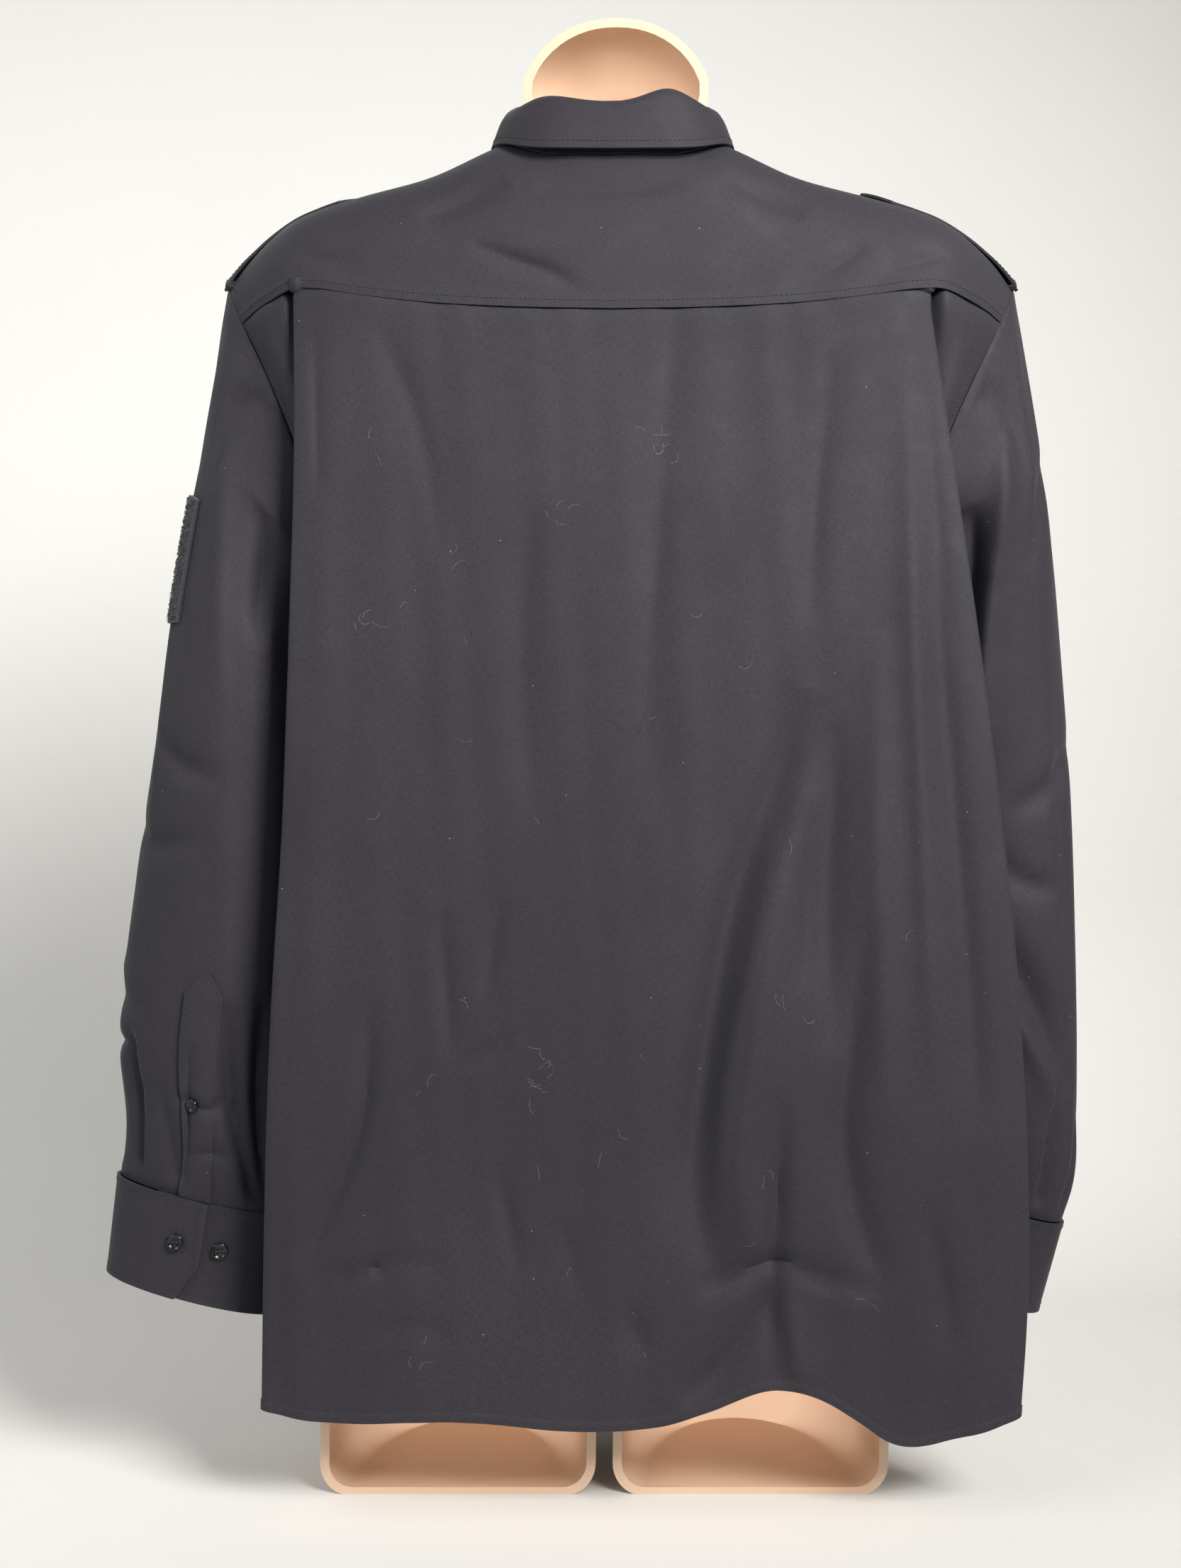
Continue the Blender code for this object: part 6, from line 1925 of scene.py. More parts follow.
@dataclass
class Lint:
    """Short pale fibres lying on the back: tufts of x, z, how many and how far they scatter."""

    bend: float = 300.0
    lengths: tuple = (0.004, 0.012)
    steps: int = 8
    above: float = 0.0001
    fibres: Stitching = field(default_factory=lambda: Stitching(thick=0.0001, around=3, name="lint_fibres"))
    tufts: tuple = (
        (-0.0225, 0.68, 7, 0.008), (0.036, 0.632, 4, 0.006), (0.151, 0.673, 2, 0.003),
        (0.155, 0.565, 4, 0.006), (0.0446, 0.282, 10, 0.006), (-0.0936, 0.219, 2, 0.004),
        (0.1275, 0.093, 3, 0.01), (-0.1528, 0.132, 2, 0.005), (0.0, 0.5, 14, 0.11), (-0.02, 0.22, 14, 0.09),
    )

    def scatter(self, outer: Array) -> None:
        """Lays every fibre: a turning path of short steps, kept to the plane of the nearest point.

        Args:
            outer: The back's outer points.
        """
        rng = np.random.default_rng(7)
        spots, normals = outer.reshape(-1, 3), grid_normals(outer).reshape(-1, 3)
        for x, z, count, spread in self.tufts:
            for _ in range(count):
                turn, bend = rng.uniform(0, 2 * math.pi), rng.uniform(-self.bend, self.bend)
                long = rng.uniform(*self.lengths)
                steps = np.linspace(0, long, self.steps + 1)
                heading = turn + bend * steps
                walk = np.cumsum(np.stack([np.cos(heading), np.sin(heading)], -1), 0) * long / self.steps
                flat = walk + rng.normal(0, spread, 2) + (x, z)
                nearest = ((spots[:, None, ::2] - flat) ** 2).sum(-1).argmin(0)
                out = normals[nearest]
                off = flat - spots[nearest][:, ::2]
                y = spots[nearest][:, 1] - (out[:, ::2] * off).sum(-1) / out[:, 1]
                path = np.stack([flat[:, 0], y, flat[:, 1]], -1) + out * self.above
                self.fibres.bars(path[:-1], path[1:], out[:-1])


@dataclass
class Workshop:
    """What every sub-assembly works with."""

    cloth: bpy.types.Material
    tape: bpy.types.Material
    button: bpy.types.Material
    form: bpy.types.Material
    stitching: Stitching
    lint: Lint


@dataclass
class Back:
    """The back panel with its two open knife pleats."""

    shop: Workshop
    column_parts: int = 7
    row_parts: int = 7
    hem: tuple = (0.0065, 0.0006)
    stitch_inset: float = 0.0056
    felled: float = 0.0055
    streaks: float = 0.0004
    streak_stretch: int = 6
    streak_seed: int = 11
    streak_long: float = 0.03
    underlay: tuple = (0.001, 0.008)
    underlay_rise: tuple = (0.88, 0.12)
    felled_part: tuple = (0.02, 0.995)
    allowance: tuple = ((0.0012, 0.0001), (0.0021, 0.0012), (0.0023, 0.004), (0.0023, 0.0075))

    def half(self, side: int, along: Array, share: Array) -> Array:
        """Half of the panel, the pleat's underlay brought out to the yoke where the seam holds both.

        Args:
            side: LEFT or RIGHT.
            along: Distances along the cloth from the centre.
            share: Shares of the way up.

        Returns:
            Rows of points.
        """
        panel = half_back(side, along, share)
        edge = half_yoke(side, np.linspace(0, 1, 120), np.zeros(1))[0]
        away = np.abs(panel[-1, :, 0])
        gap = np.clip(np.interp(away, np.abs(edge[:, 0]), edge[:, 1]) - panel[-1, :, 1], 0, None)
        flap = away[along <= EDGE_AT].max()
        beyond = soft_step((away - flap - self.underlay[0]) / self.underlay[1]) * (along > ROOT_AT)
        log.info("pleat gap on the %s side: %.4f m", SIDE_NAMES[side], (gap * beyond).max())
        starts, over = self.underlay_rise
        panel[..., 1] += gap * beyond * soft_step((share[:, None] - starts) / over)
        return panel

    def build(self) -> None:
        """Builds and stitches the panel; its seam allowance goes up behind the yoke."""
        share = refine(tuple(panel_rows(BACK_STEPS)), self.row_parts)
        share = np.unique(np.concatenate([share, HEM_SHARES]))
        along = refine(BACK_COLUMNS, self.column_parts)
        left = self.half(LEFT, along, share)[:, ::-1]
        right = self.half(RIGHT, along, share)[:, 1:]
        outer = np.concatenate([left, right], 1)
        up = outer[..., 2] / self.streak_stretch
        waves = ripple(outer[..., 0], up, self.streak_seed, self.streak_long)
        outer = outer - grid_normals(outer) * self.streaks * waves[..., None]
        outer = turned_in(outer, {"bottom": self.hem})
        outer = seamed(outer, ("top", "start", "end"))
        turns = mix(-90.0, BACK_SEAM_TURN, np.clip((share - LOW_SHARE) / (1 - LOW_SHARE), 0, 1))
        level = unit(grid_normals(outer)[-1] * (1, 1, 0))
        tucks = [outer[-1] + (0, 0, rise) - level * sink for sink, rise in self.allowance]
        outer = np.concatenate([outer, np.stack(tucks)])
        turns = np.concatenate([turns, np.full(len(tucks), turns[-1])])
        seams = {"start": armhole_across(LEFT, turns), "end": armhole_across(RIGHT, turns), "top": level}
        Piece("back_cloth", self.shop.cloth, Slot.CLOTH, ("back",)).wall(outer, CLOTH, seams=seams)
        outer = outer[: -len(tucks)]
        sew = self.shop.stitching
        sew.row(outer, "bottom", self.stitch_inset)
        for edge in ("start", "end"):
            sew.row(outer, edge, self.felled, *self.felled_part)
        self.shop.lint.scatter(outer)


@dataclass
class Yoke:
    """The yoke over both shoulders."""

    shop: Workshop
    column_parts: int = 6
    row_parts: int = 15
    topstitch: float = 0.005
    fold: tuple = (0.0085, 0.0006)
    felled: float = 0.0055
    calm: float = 0.15
    behind: tuple = (0.02, 0.02)
    topstitch_part: tuple = (0.004, 0.996)
    front_inset: float = 0.0022
    front_part: float = 0.3

    def build(self) -> None:
        """Builds and stitches the panel."""
        rise = refine(tuple(np.linspace(0, 1, YOKE_STEPS + 1)), self.row_parts)
        share = refine(YOKE_COLUMNS, self.column_parts)
        left, right = (half_yoke(side, share, rise) for side in (LEFT, RIGHT))
        outer = np.concatenate([left[:, ::-1], right[:, 1:]], 1)
        inside = soft_step(rise / self.calm) * soft_step((1 - rise) / self.calm)
        behind = soft_step((outer[..., 1] - self.behind[0]) / self.behind[1]) * inside[:, None]
        sunk = crease_depth(outer[..., 0], outer[..., 2], YOKE_CREASES) * behind
        outer = outer - grid_normals(outer) * sunk[..., None]
        outer = turned_in(outer, {"bottom": self.fold})
        outer = seamed(outer, ("start", "end"))
        natural = grid_normals(outer)
        turns = mix(BACK_SEAM_TURN, FRONT_SEAM_TURN, rise)
        shared = np.concatenate([front_seam_across(LEFT, share[::-1]), front_seam_across(RIGHT, share[1:])])
        on_seam = np.concatenate([share[::-1], share[1:]]) >= NECK_SHARE
        seams = {
            "bottom": natural[0] * (1, 1, 0),
            "top": np.where(on_seam[:, None], shared, natural[-1]),
            "start": armhole_across(LEFT, turns),
            "end": armhole_across(RIGHT, turns),
        }
        Piece("yoke_cloth", self.shop.cloth, Slot.CLOTH, ("yoke",)).wall(outer, CLOTH, seams=seams)
        sew = self.shop.stitching
        sew.row(outer, "bottom", self.topstitch, *self.topstitch_part)
        for edge in ("start", "end"):
            sew.row(outer, edge, self.felled)
        sew.row(outer, "top", self.front_inset, 0.0, self.front_part)
        sew.row(outer, "top", self.front_inset, 1.0 - self.front_part, 1.0)


@dataclass
class Fronts:
    """The two fronts and the button band."""

    shop: Workshop
    column_parts: int = 5
    row_parts: int = 8
    hem: tuple = (0.0065, 0.0006)
    stitch_inset: float = 0.0056
    felled: float = 0.0055
    band_inset: float = 0.0055
    felled_part: tuple = (0.02, 0.98)
    calm_from: float = 0.14
    calm_over: float = 0.1
    uneven: float = 0.0007
    uneven_long: float = 0.09

    def panel(self, side: int) -> None:
        """Builds and stitches one front.

        Args:
            side: LEFT or RIGHT.
        """
        rise = refine(tuple(panel_rows(FRONT_STEPS)), self.row_parts)
        rise = np.unique(np.concatenate([rise, HEM_SHARES]))
        turns = mix(-90.0, FRONT_SEAM_TURN - 360.0, np.clip((rise - LOW_SHARE) / (1 - LOW_SHARE), 0, 1))
        edge_x = BAND_HALF + SEAM if side == LEFT else -BAND_HALF + BAND_CLEAR
        columns = (edge_x / CENTRE_STEP, *FRONT_COLUMNS)
        if side == RIGHT:
            columns = (edge_x / CENTRE_STEP, 0.0, BAND_HALF / CENTRE_STEP, *FRONT_COLUMNS)
        share = refine(columns, self.column_parts)
        outer = front_surface(side, share, rise)
        outer[:, 0, 0] = side * edge_x
        forward = np.array((0.0, -1.0, 0.0))
        calm = soft_step((share - self.calm_from) / self.calm_over) * soft_step((1 - share) / self.calm_over)
        calm = calm * soft_step((1 - rise[:, None]) / self.calm_over)
        sunk = crease_depth(outer[..., 0], outer[..., 2], FRONT_CREASES[side])
        uneven = self.uneven * ripple(outer[..., 0], outer[..., 2], 5 + side, self.uneven_long)
        outer = outer - forward * ((sunk - uneven) * calm)[..., None]
        if side == RIGHT:
            under = soft_step((BAND_HALF + BAND_CLEAR * 6 + outer[..., 0]) / (BAND_CLEAR * 5))
            outer = outer - grid_normals(outer[:, ::-1])[:, ::-1] * (UNDER_BAND * under)[..., None]
        outer = order_columns(side, outer)
        outer = turned_in(outer, {"bottom": self.hem})
        share = share if side == LEFT else share[::-1]
        natural = grid_normals(outer)
        top = np.where((share >= NECK_SHARE)[:, None], front_seam_across(side, share), natural[-1])
        edge = "end" if side == LEFT else "start"
        seams = {"top": top, edge: armhole_across(side, turns)}
        word = SIDE_NAMES[side]
        piece = Piece(f"front_{word}_cloth", self.shop.cloth, Slot.CLOTH, (f"front_{word}",))
        piece.wall(outer, CLOTH, seams=seams)
        self.shop.stitching.row(outer, "bottom", self.stitch_inset)
        self.shop.stitching.row(outer, edge, self.felled, *self.felled_part)

    def band(self) -> None:
        """Builds and stitches the button band, with its buttonholes."""
        rise = refine(tuple(panel_rows(FRONT_STEPS)), self.row_parts)
        x = refine((-BAND_HALF, 0.0, BAND_HALF), 8)
        outer = front_surface(LEFT, x / CENTRE_STEP, rise)
        outer[..., 0] = x
        outer = outer + grid_normals(outer) * BAND_RAISED
        Piece("front_band_cloth", self.shop.cloth, Slot.CLOTH, ("front_band",)).wall(outer, FIRM)
        sew = self.shop.stitching
        for edge in ("start", "end"):
            sew.row(outer, edge, self.band_inset)
        middle, normals = outer[:, len(x) // 2], grid_normals(outer)[:, len(x) // 2]
        for height in BAND_BUTTONS:
            row = int(np.abs(middle[:, 2] - height).argmin())
            sew.buttonhole(middle[row], np.array((0.0, 0.0, 1.0)), normals[row])

    def build(self) -> None:
        """Builds both fronts and the band."""
        self.panel(LEFT)
        self.panel(RIGHT)
        self.band()


@dataclass
class Arm:
    """One sleeve with its placket and cuff."""

    shop: Workshop
    side: int
    around: int = 120
    row_parts: int = 10
    cuff_columns: int = 200
    cuff_rows: int = 26
    cuff_insets: tuple = (0.003, 0.005)
    placket_inset: float = 0.0018
    streaks: float = 0.0006
    streak_stretch: int = 4
    streak_long: float = 0.035
    held_over: float = 0.03
    cuff_fold: tuple = (0.004, 0.0003)
    lap_fold: tuple = (0.007, 0.0009)
    lap_inset: float = 0.005
    mitre_from: float = 0.62
    mitre_share: float = 0.38
    box_rows: tuple = (0.7, 0.64)

    def sleeve(self) -> None:
        """Builds the tube from the armhole to the cuff."""
        phi = np.arange(self.around) * 360.0 / self.around
        along = sleeve_length(self.side) * refine(SLEEVE_ROWS, self.row_parts)
        outer = sleeve_surface(self.side, phi, along)
        held = soft_step(along / self.held_over) * soft_step((along[-1] - along) / self.held_over)
        across, up = outer[..., 0] + outer[..., 1], outer[..., 2] / self.streak_stretch
        uneven = ripple(across, up, 21 + self.side, self.streak_long)
        outer = outer + grid_normals(outer, True) * (self.streaks * uneven * held[:, None])[..., None]
        radial = oval(self.side, sleeve_section(self.side, -1), phi)[1]
        head = armhole_across(self.side, 90.0 - phi, sleeve=True)
        edges = order_columns(self.side, np.stack([radial, head]))
        outer = seamed(order_columns(self.side, outer)[::-1], ("top",), ring=True)
        seams = {"bottom": edges[0], "top": edges[1]}
        word = SIDE_NAMES[self.side]
        piece = Piece(f"sleeve_{word}_cloth", self.shop.cloth, Slot.CLOTH, (f"sleeve_{word}",))
        piece.wall(outer, CLOTH, ring=True, seams=seams)

    def cuff(self) -> None:
        """Builds and stitches the cuff, its lapped end mitred."""
        phi = np.linspace(LAP_FROM, LAP_TO, self.cuff_columns)
        drop = refine((1.0, self.mitre_from, 0.0), self.cuff_rows // 2)
        limit = 1.0 - self.mitre_share * np.clip((phi - (LAP_TO - CUFF_MITRE)) / CUFF_MITRE, 0, 1)
        outer = cuff_surface(self.side, phi, drop[:, None] * limit)
        radial = oval(self.side, sleeve_section(self.side, -1), phi)[1]
        outer = order_columns(self.side, outer)
        last = "end" if self.side == LEFT else "start"
        outer = turned_in(outer, {"bottom": self.cuff_fold, "top": self.cuff_fold, last: self.lap_fold})
        seams = {"top": radial if self.side == LEFT else radial[::-1]}
        word = SIDE_NAMES[self.side]
        piece = Piece(f"cuff_{word}_cloth", self.shop.cloth, Slot.CLOTH, (f"cuff_{word}",))
        piece.wall(outer, FIRM, seams=seams)
        sew = self.shop.stitching
        for edge, inset in zip(("top", "bottom", last), (*self.cuff_insets, self.lap_inset)):
            sew.row(outer, edge, inset)
        turns = CUFF_SPOT_TURN + SPOT_TURNS
        spot = order_columns(self.side, cuff_surface(self.side, turns, CUFF_SPOT))
        point, normal = surface_spot(spot)
        sew.buttonhole(point, unit(spot[1, 2] - spot[1, 0]), normal)

    def placket(self) -> None:
        """Builds and stitches the tower placket, with the box of stitches above its opening."""
        share = np.concatenate([refine((0.0, PLACKET_TIP / PLACKET_LENGTH), 8), np.linspace(0.1, 1.0, 90)])
        grid = placket_surface(self.side, share, np.linspace(-1.0, 1.0, 17))[::-1]
        outer = laid_on(order_columns(self.side, grid), PLACKET_LIFT, CLOTH)
        word = SIDE_NAMES[self.side]
        Piece(f"placket_{word}_cloth", self.shop.cloth, Slot.CLOTH, (f"placket_{word}",)).wall(outer, CLOTH)
        sew = self.shop.stitching
        for edge in ("start", "end"):
            sew.row(outer, edge, self.placket_inset)
        normals = grid_normals(outer)
        for share_up in self.box_rows:
            row = int(share_up * len(outer))
            sew.path(outer[row, 2:-2], normals[row, 2:-2])

    def build(self) -> None:
        """Builds the three pieces."""
        self.sleeve()
        self.cuff()
        self.placket()


def surface_spot(grid: Array) -> tuple:
    """The middle point and normal of a small 3 by 3 grid of outer points.

    Args:
        grid: The nine points.

    Returns:
        The point and the normal.
    """
    return grid[1, 1], grid_normals(grid)[1, 1]


@dataclass
class Collar:
    """The collar: its stand round the neck and the fall over it."""

    shop: Workshop
    columns: int = 190
    stand_rows: int = 14
    fall_rows: int = 44
    fall_inset: float = 0.005
    row_places: tuple = (0.0, 0.27, 0.55, 0.85, 0.93, 1.0)
    stand_inset: float = 0.0016
    fold: tuple = (0.0045, 0.0003)
    lower_part: tuple = (0.02, 0.98)
    end_part: tuple = (0.1, 0.85)

    def stand(self) -> None:
        """Builds and stitches the stand, its left end lapped over the right."""
        angle = np.linspace(STAND_LAP, -STAND_LAP, self.columns)
        low, high = stand_edges(angle)
        outer = mix(low, high, np.linspace(0, 1, self.stand_rows)[:, None, None])
        Piece("collar_stand_cloth", self.shop.cloth, Slot.CLOTH, ("collar_stand",)).wall(outer, FIRM)
        self.shop.stitching.row(outer, "bottom", self.stand_inset)
        column = int(np.abs(angle - 180.0).argmin())
        row = self.stand_rows // 2
        tangent = unit(outer[row, column + 2] - outer[row, column - 2])
        self.shop.stitching.buttonhole(outer[row, column], tangent, grid_normals(outer)[row, column])

    def fall(self) -> None:
        """Builds and stitches the fall, folded over the stand."""
        angle = np.linspace(FALL_END, -FALL_END, self.columns)
        outer = smooth(self.row_places, fall_surface(angle), np.linspace(0, 1, self.fall_rows))
        outer = turned_in(outer, {edge: self.fold for edge in ("bottom", "start", "end")})
        Piece("collar_fall_cloth", self.shop.cloth, Slot.CLOTH, ("collar_fall",)).wall(outer, FIRM)
        sew = self.shop.stitching
        sew.row(outer, "bottom", self.fall_inset, *self.lower_part)
        for edge in ("start", "end"):
            sew.row(outer, edge, self.fall_inset, *self.end_part)

    def build(self) -> None:
        """Builds both pieces."""
        self.stand()
        self.fall()


@dataclass
class Epaulette:
    """One shoulder strap along the ridge, pointed towards the neck."""

    shop: Workshop
    side: int
    columns: int = 60
    rows: int = 20
    end_from: float = 0.225
    end_over: float = 0.025
    tip_over: float = 0.02
    inset: float = 0.004
    fold: tuple = (0.005, 0.0003)
    tip_short: float = 0.001
    share_limit: float = 0.995
    outer: Array | None = None

    def build(self) -> None:
        """Builds and stitches the strap."""
        outer_x, tip_x = EPAULETTE_X
        x = np.linspace(outer_x, tip_x + self.tip_short, self.columns)
        x = np.unique(np.append(x, tip_x + EPAULETTE_POINT))[::-1]
        share = (x - NECK_CORNER_X) / (SHOULDER_END - NECK_CORNER_X) * (1 - NECK_SHARE) + NECK_SHARE
        pointed = np.clip((x - tip_x) / EPAULETTE_POINT, 0, 1)
        half = EPAULETTE_HALF * mix(POINT_SHARE, 1.0, pointed)
        y = smooth(SHOULDER["x"], SHOULDER["ridge_y"], x) + np.linspace(-1, 1, self.rows)[:, None] * half
        grid = on_yoke(self.side, np.minimum(share, self.share_limit), y)
        if self.side == LEFT:
            grid, x = grid[:, ::-1], x[::-1]
        lift = LIFT + EPAULETTE_END_LIFT * soft_step((x - self.end_from) / self.end_over)
        lift = lift + EPAULETTE_TIP_LIFT[self.side] * soft_step((tip_x + self.tip_over - x) / self.tip_over)
        outer = laid_on(grid, np.broadcast_to(lift, grid.shape[:2]), CLOTH)
        tip = "start" if self.side == LEFT else "end"
        outer = turned_in(outer, {edge: self.fold for edge in ("bottom", "top", tip)})
        word = SIDE_NAMES[self.side]
        piece = Piece(f"epaulette_{word}_cloth", self.shop.cloth, Slot.CLOTH, (f"epaulette_{word}",))
        piece.wall(outer, CLOTH)
        sew = self.shop.stitching
        for edge in ("bottom", "top"):
            sew.row(outer, edge, self.inset)
        self.outer = outer


@dataclass
class LoopPatch:
    """The bare patch of loop tape on the wearer's left sleeve."""

    shop: Workshop
    columns: int = 50
    rows: int = 60
    loops: int = 2600
    loop_rise: float = 0.0011
    loop_rises: tuple = (0.6, 1.2)
    loop_lean: float = 0.0006
    loop_sink: float = 0.0001
    loop_thick: float = 0.00013
    inset: float = 0.0022

    def build(self) -> None:
        """Builds, stitches and roughens the patch: small leaning loops stand over its ground."""
        phi = np.linspace(*PATCH_ROUND, self.columns)
        along = np.linspace(*PATCH_ALONG, self.rows)
        outer = laid_on(sleeve_surface(LEFT, phi, along)[::-1], LIFT, PATCH_WALL)
        Piece("loop_patch_tape", self.shop.tape, Slot.TAPE, ("loop_patch",)).wall(outer, PATCH_WALL)
        for edge in ("bottom", "top", "start", "end"):
            self.shop.stitching.row(outer, edge, self.inset)
        self.pile(outer)

    def pile(self, outer: Array) -> None:
        """Adds the loops: each an arch of four leaning four-sided rings between two feet.

        Args:
            outer: The patch's outer points.
        """
        rng = np.random.default_rng(11)
        row, column = rng.uniform(1, self.rows - 2, self.loops), rng.uniform(1, self.columns - 2, self.loops)
        low_row, low_column = row.astype(int), column.astype(int)
        foot = outer[low_row, low_column] + (outer[low_row + 1, low_column] - outer[low_row, low_column]) * (
            (row - low_row)[:, None]
        )
        sideways = outer[low_row, low_column + 1] - outer[low_row, low_column]
        foot = foot + sideways * (column - low_column)[:, None]
        out = grid_normals(outer)[low_row, low_column]
        lean = unit(np.cross(out, rng.normal(size=(self.loops, 3))))
        turns = np.linspace(0, math.pi, 5)
        rise = self.loop_rise * rng.uniform(*self.loop_rises, self.loops)[:, None]
        middles = [
            foot + lean * self.loop_lean * math.cos(t) + out * rise * math.sin(t) - out * self.loop_sink
            for t in turns
        ]
        side = np.cross(out, lean)
        rings = []
        for t, middle in zip(turns, middles):
            away = lean * math.cos(t) + out * math.sin(t)
            corners = ((1, 0), (0, 1), (-1, 0), (0, -1))
            rings += [middle + self.loop_thick * (side * a + away * b) for a, b in corners]
        points = np.stack(rings, 1)
        ring = np.arange(4)
        after = (ring + 1) % 4
        shape = [np.stack([ring + k, after + k, after + k + 4, ring + k + 4], -1) for k in range(0, 16, 4)]
        shape += [np.array([[3, 2, 1, 0], [16, 17, 18, 19]])]
        faces = (np.concatenate(shape)[None] + np.arange(self.loops)[:, None, None] * 20).reshape(-1, 4)
        Piece("loop_patch_pile", self.shop.tape, Slot.TAPE, sharp=180.0).add(
            points.reshape(-1, 3), faces, np.repeat(foot[:, :2], 20, axis=0)
        )


@dataclass
class Buttons:
    """Every button, each a dished disc with a rim and four sewn holes."""

    shop: Workshop
    around: int = 40
    hole_out: float = 0.3
    hole_size: float = 0.115
    hole_slope: float = 0.05
    hole_depth: float = 0.5
    floor_from: float = 0.54
    floor_height: float = 0.7
    floor_rings: int = 15
    diagonal: float = 0.72
    thread_height: float = 0.66
    thread_apart: float = 0.00022
    profile: tuple = (
        *((0.0, 0.0), (0.5, 0.0), (0.82, 0.02), (0.95, 0.14), (1.0, 0.42), (0.985, 0.72), (0.93, 0.93)),
        *((0.86, 1.0), (0.78, 0.98), (0.7, 0.86), (0.63, 0.74), (0.58, 0.7)),
    )

    def add(self, node: str, spot: Array, normal: Array, radius: float) -> None:
        """Adds one button: a profile turned about its axis, with a dip at each hole.

        Args:
            node: The button's node.
            spot: Where it lies.
            normal: The way out of the cloth.
            radius: Its radius.
        """
        up = Vector(normal)
        turned = up.to_track_quat("Z", "Y").to_matrix()
        axes = np.array(turned)
        inner = [(r, self.floor_height) for r in np.linspace(self.floor_from, 0.0, self.floor_rings)]
        profile = np.array((*self.profile, *inner))
        turns = np.linspace(0, 2 * math.pi, self.around, endpoint=False)
        x = profile[:, :1] * np.cos(turns)
        y = profile[:, :1] * np.sin(turns)
        z = np.repeat(profile[:, 1:], self.around, 1)
        dip = np.zeros_like(z)
        out = self.hole_out * self.diagonal
        places = [(a * out, b * out) for a in (-1, 1) for b in (-1, 1)]
        for hole_x, hole_y in places:
            away = np.hypot(x - hole_x, y - hole_y)
            dip = np.maximum(dip, soft_step((self.hole_size - away) / self.hole_slope))
        on_top = np.arange(len(profile)) >= len(self.profile) - 1
        z = z - self.hole_depth * dip * on_top[:, None]
        base = spot + normal * 3 * SEAM
        local = np.stack([x * radius, y * radius, z * BUTTON_THICK], -1)
        points = local @ axes.T + base
        rows, columns = points.shape[:2]
        row, column = np.meshgrid(np.arange(rows - 1), np.arange(columns), indexing="ij")
        a, b = row * columns + column, row * columns + (column + 1) % columns
        quads = np.stack([a, b, b + columns, a + columns], -1).reshape(-1, 4)
        flat = points.reshape(-1, 3)
        made = Piece(f"{node}_plastic", self.shop.button, Slot.BUTTON, (node,), sharp=45.0).add(flat, quads)
        close_poles(made)
        ends = np.array(places) * radius
        height = BUTTON_THICK * self.thread_height
        pairs = [(0, 1), (2, 3)]
        for k in range(3):
            for one, other in pairs:
                shift = np.array((k - 1, 0.0)) * self.thread_apart
                feet = [np.append(ends[n] + shift, height) @ axes.T + base for n in (one, other)]
                self.shop.stitching.bars(feet[0][None], feet[1][None], normal[None])

    def build(self, epaulettes: dict) -> None:
        """Adds the buttons of the front, collar, cuffs, plackets and epaulettes.

        Args:
            epaulettes: The epaulettes' outer points by side.
        """
        band = band_surface(np.linspace(0, 1, 200))
        for number, height in enumerate(BAND_BUTTONS, 1):
            row = int(np.abs(band[:, 1, 2] - height).argmin())
            self.add(f"button_front_{number}", *surface_spot(band[row - 1 : row + 2]), BUTTON_RADIUS)
        low, high = stand_edges(np.array((182.0, 179.0, 176.0)))
        stand = np.stack([mix(low, high, share) for share in (0.35, 0.5, 0.65)])
        self.add("button_collar", *surface_spot(stand), BUTTON_RADIUS)
        for side in (LEFT, RIGHT):
            word = SIDE_NAMES[side]
            for label, phi in CUFF_BUTTONS.items():
                spot = order_columns(side, cuff_surface(side, phi + SPOT_TURNS, CUFF_SPOT))
                self.add(f"button_cuff_{word}_{label}", *surface_spot(spot), BUTTON_RADIUS)
            share = PLACKET_BUTTON + np.array((0.03, 0.0, -0.03))
            spot = order_columns(side, placket_surface(side, share, np.array((-0.3, 0.0, 0.3))))
            point, normal = surface_spot(spot)
            self.add(f"button_placket_{word}", point + normal * (PLACKET_LIFT + CLOTH), normal, BUTTON_SMALL)
            node = f"button_epaulette_{word}"
            low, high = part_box(node)
            middle = (np.array(low) + np.array(high)) / 2 - FRAME_SHIFT
            grid = epaulettes[side]
            away = np.linalg.norm(grid - middle, axis=-1)
            row, column = np.unravel_index(away.argmin(), away.shape)
            normal = grid_normals(grid)[row, column]
            self.add(node, middle - normal * (BUTTON_THICK / 2 + 3 * SEAM), normal, BUTTON_RADIUS)


def close_poles(made: bpy.types.Object) -> None:
    """Merges the doubled points at a turned shape's two ends and points its faces outwards.

    Args:
        made: The object.
    """
    shape = bmesh.new()
    shape.from_mesh(made.data)
    bmesh.ops.remove_doubles(shape, verts=shape.verts, dist=1e-7)
    bmesh.ops.dissolve_degenerate(shape, edges=shape.edges, dist=1e-9)
    bmesh.ops.recalc_face_normals(shape, faces=shape.faces)
    shape.to_mesh(made.data)
    shape.free()


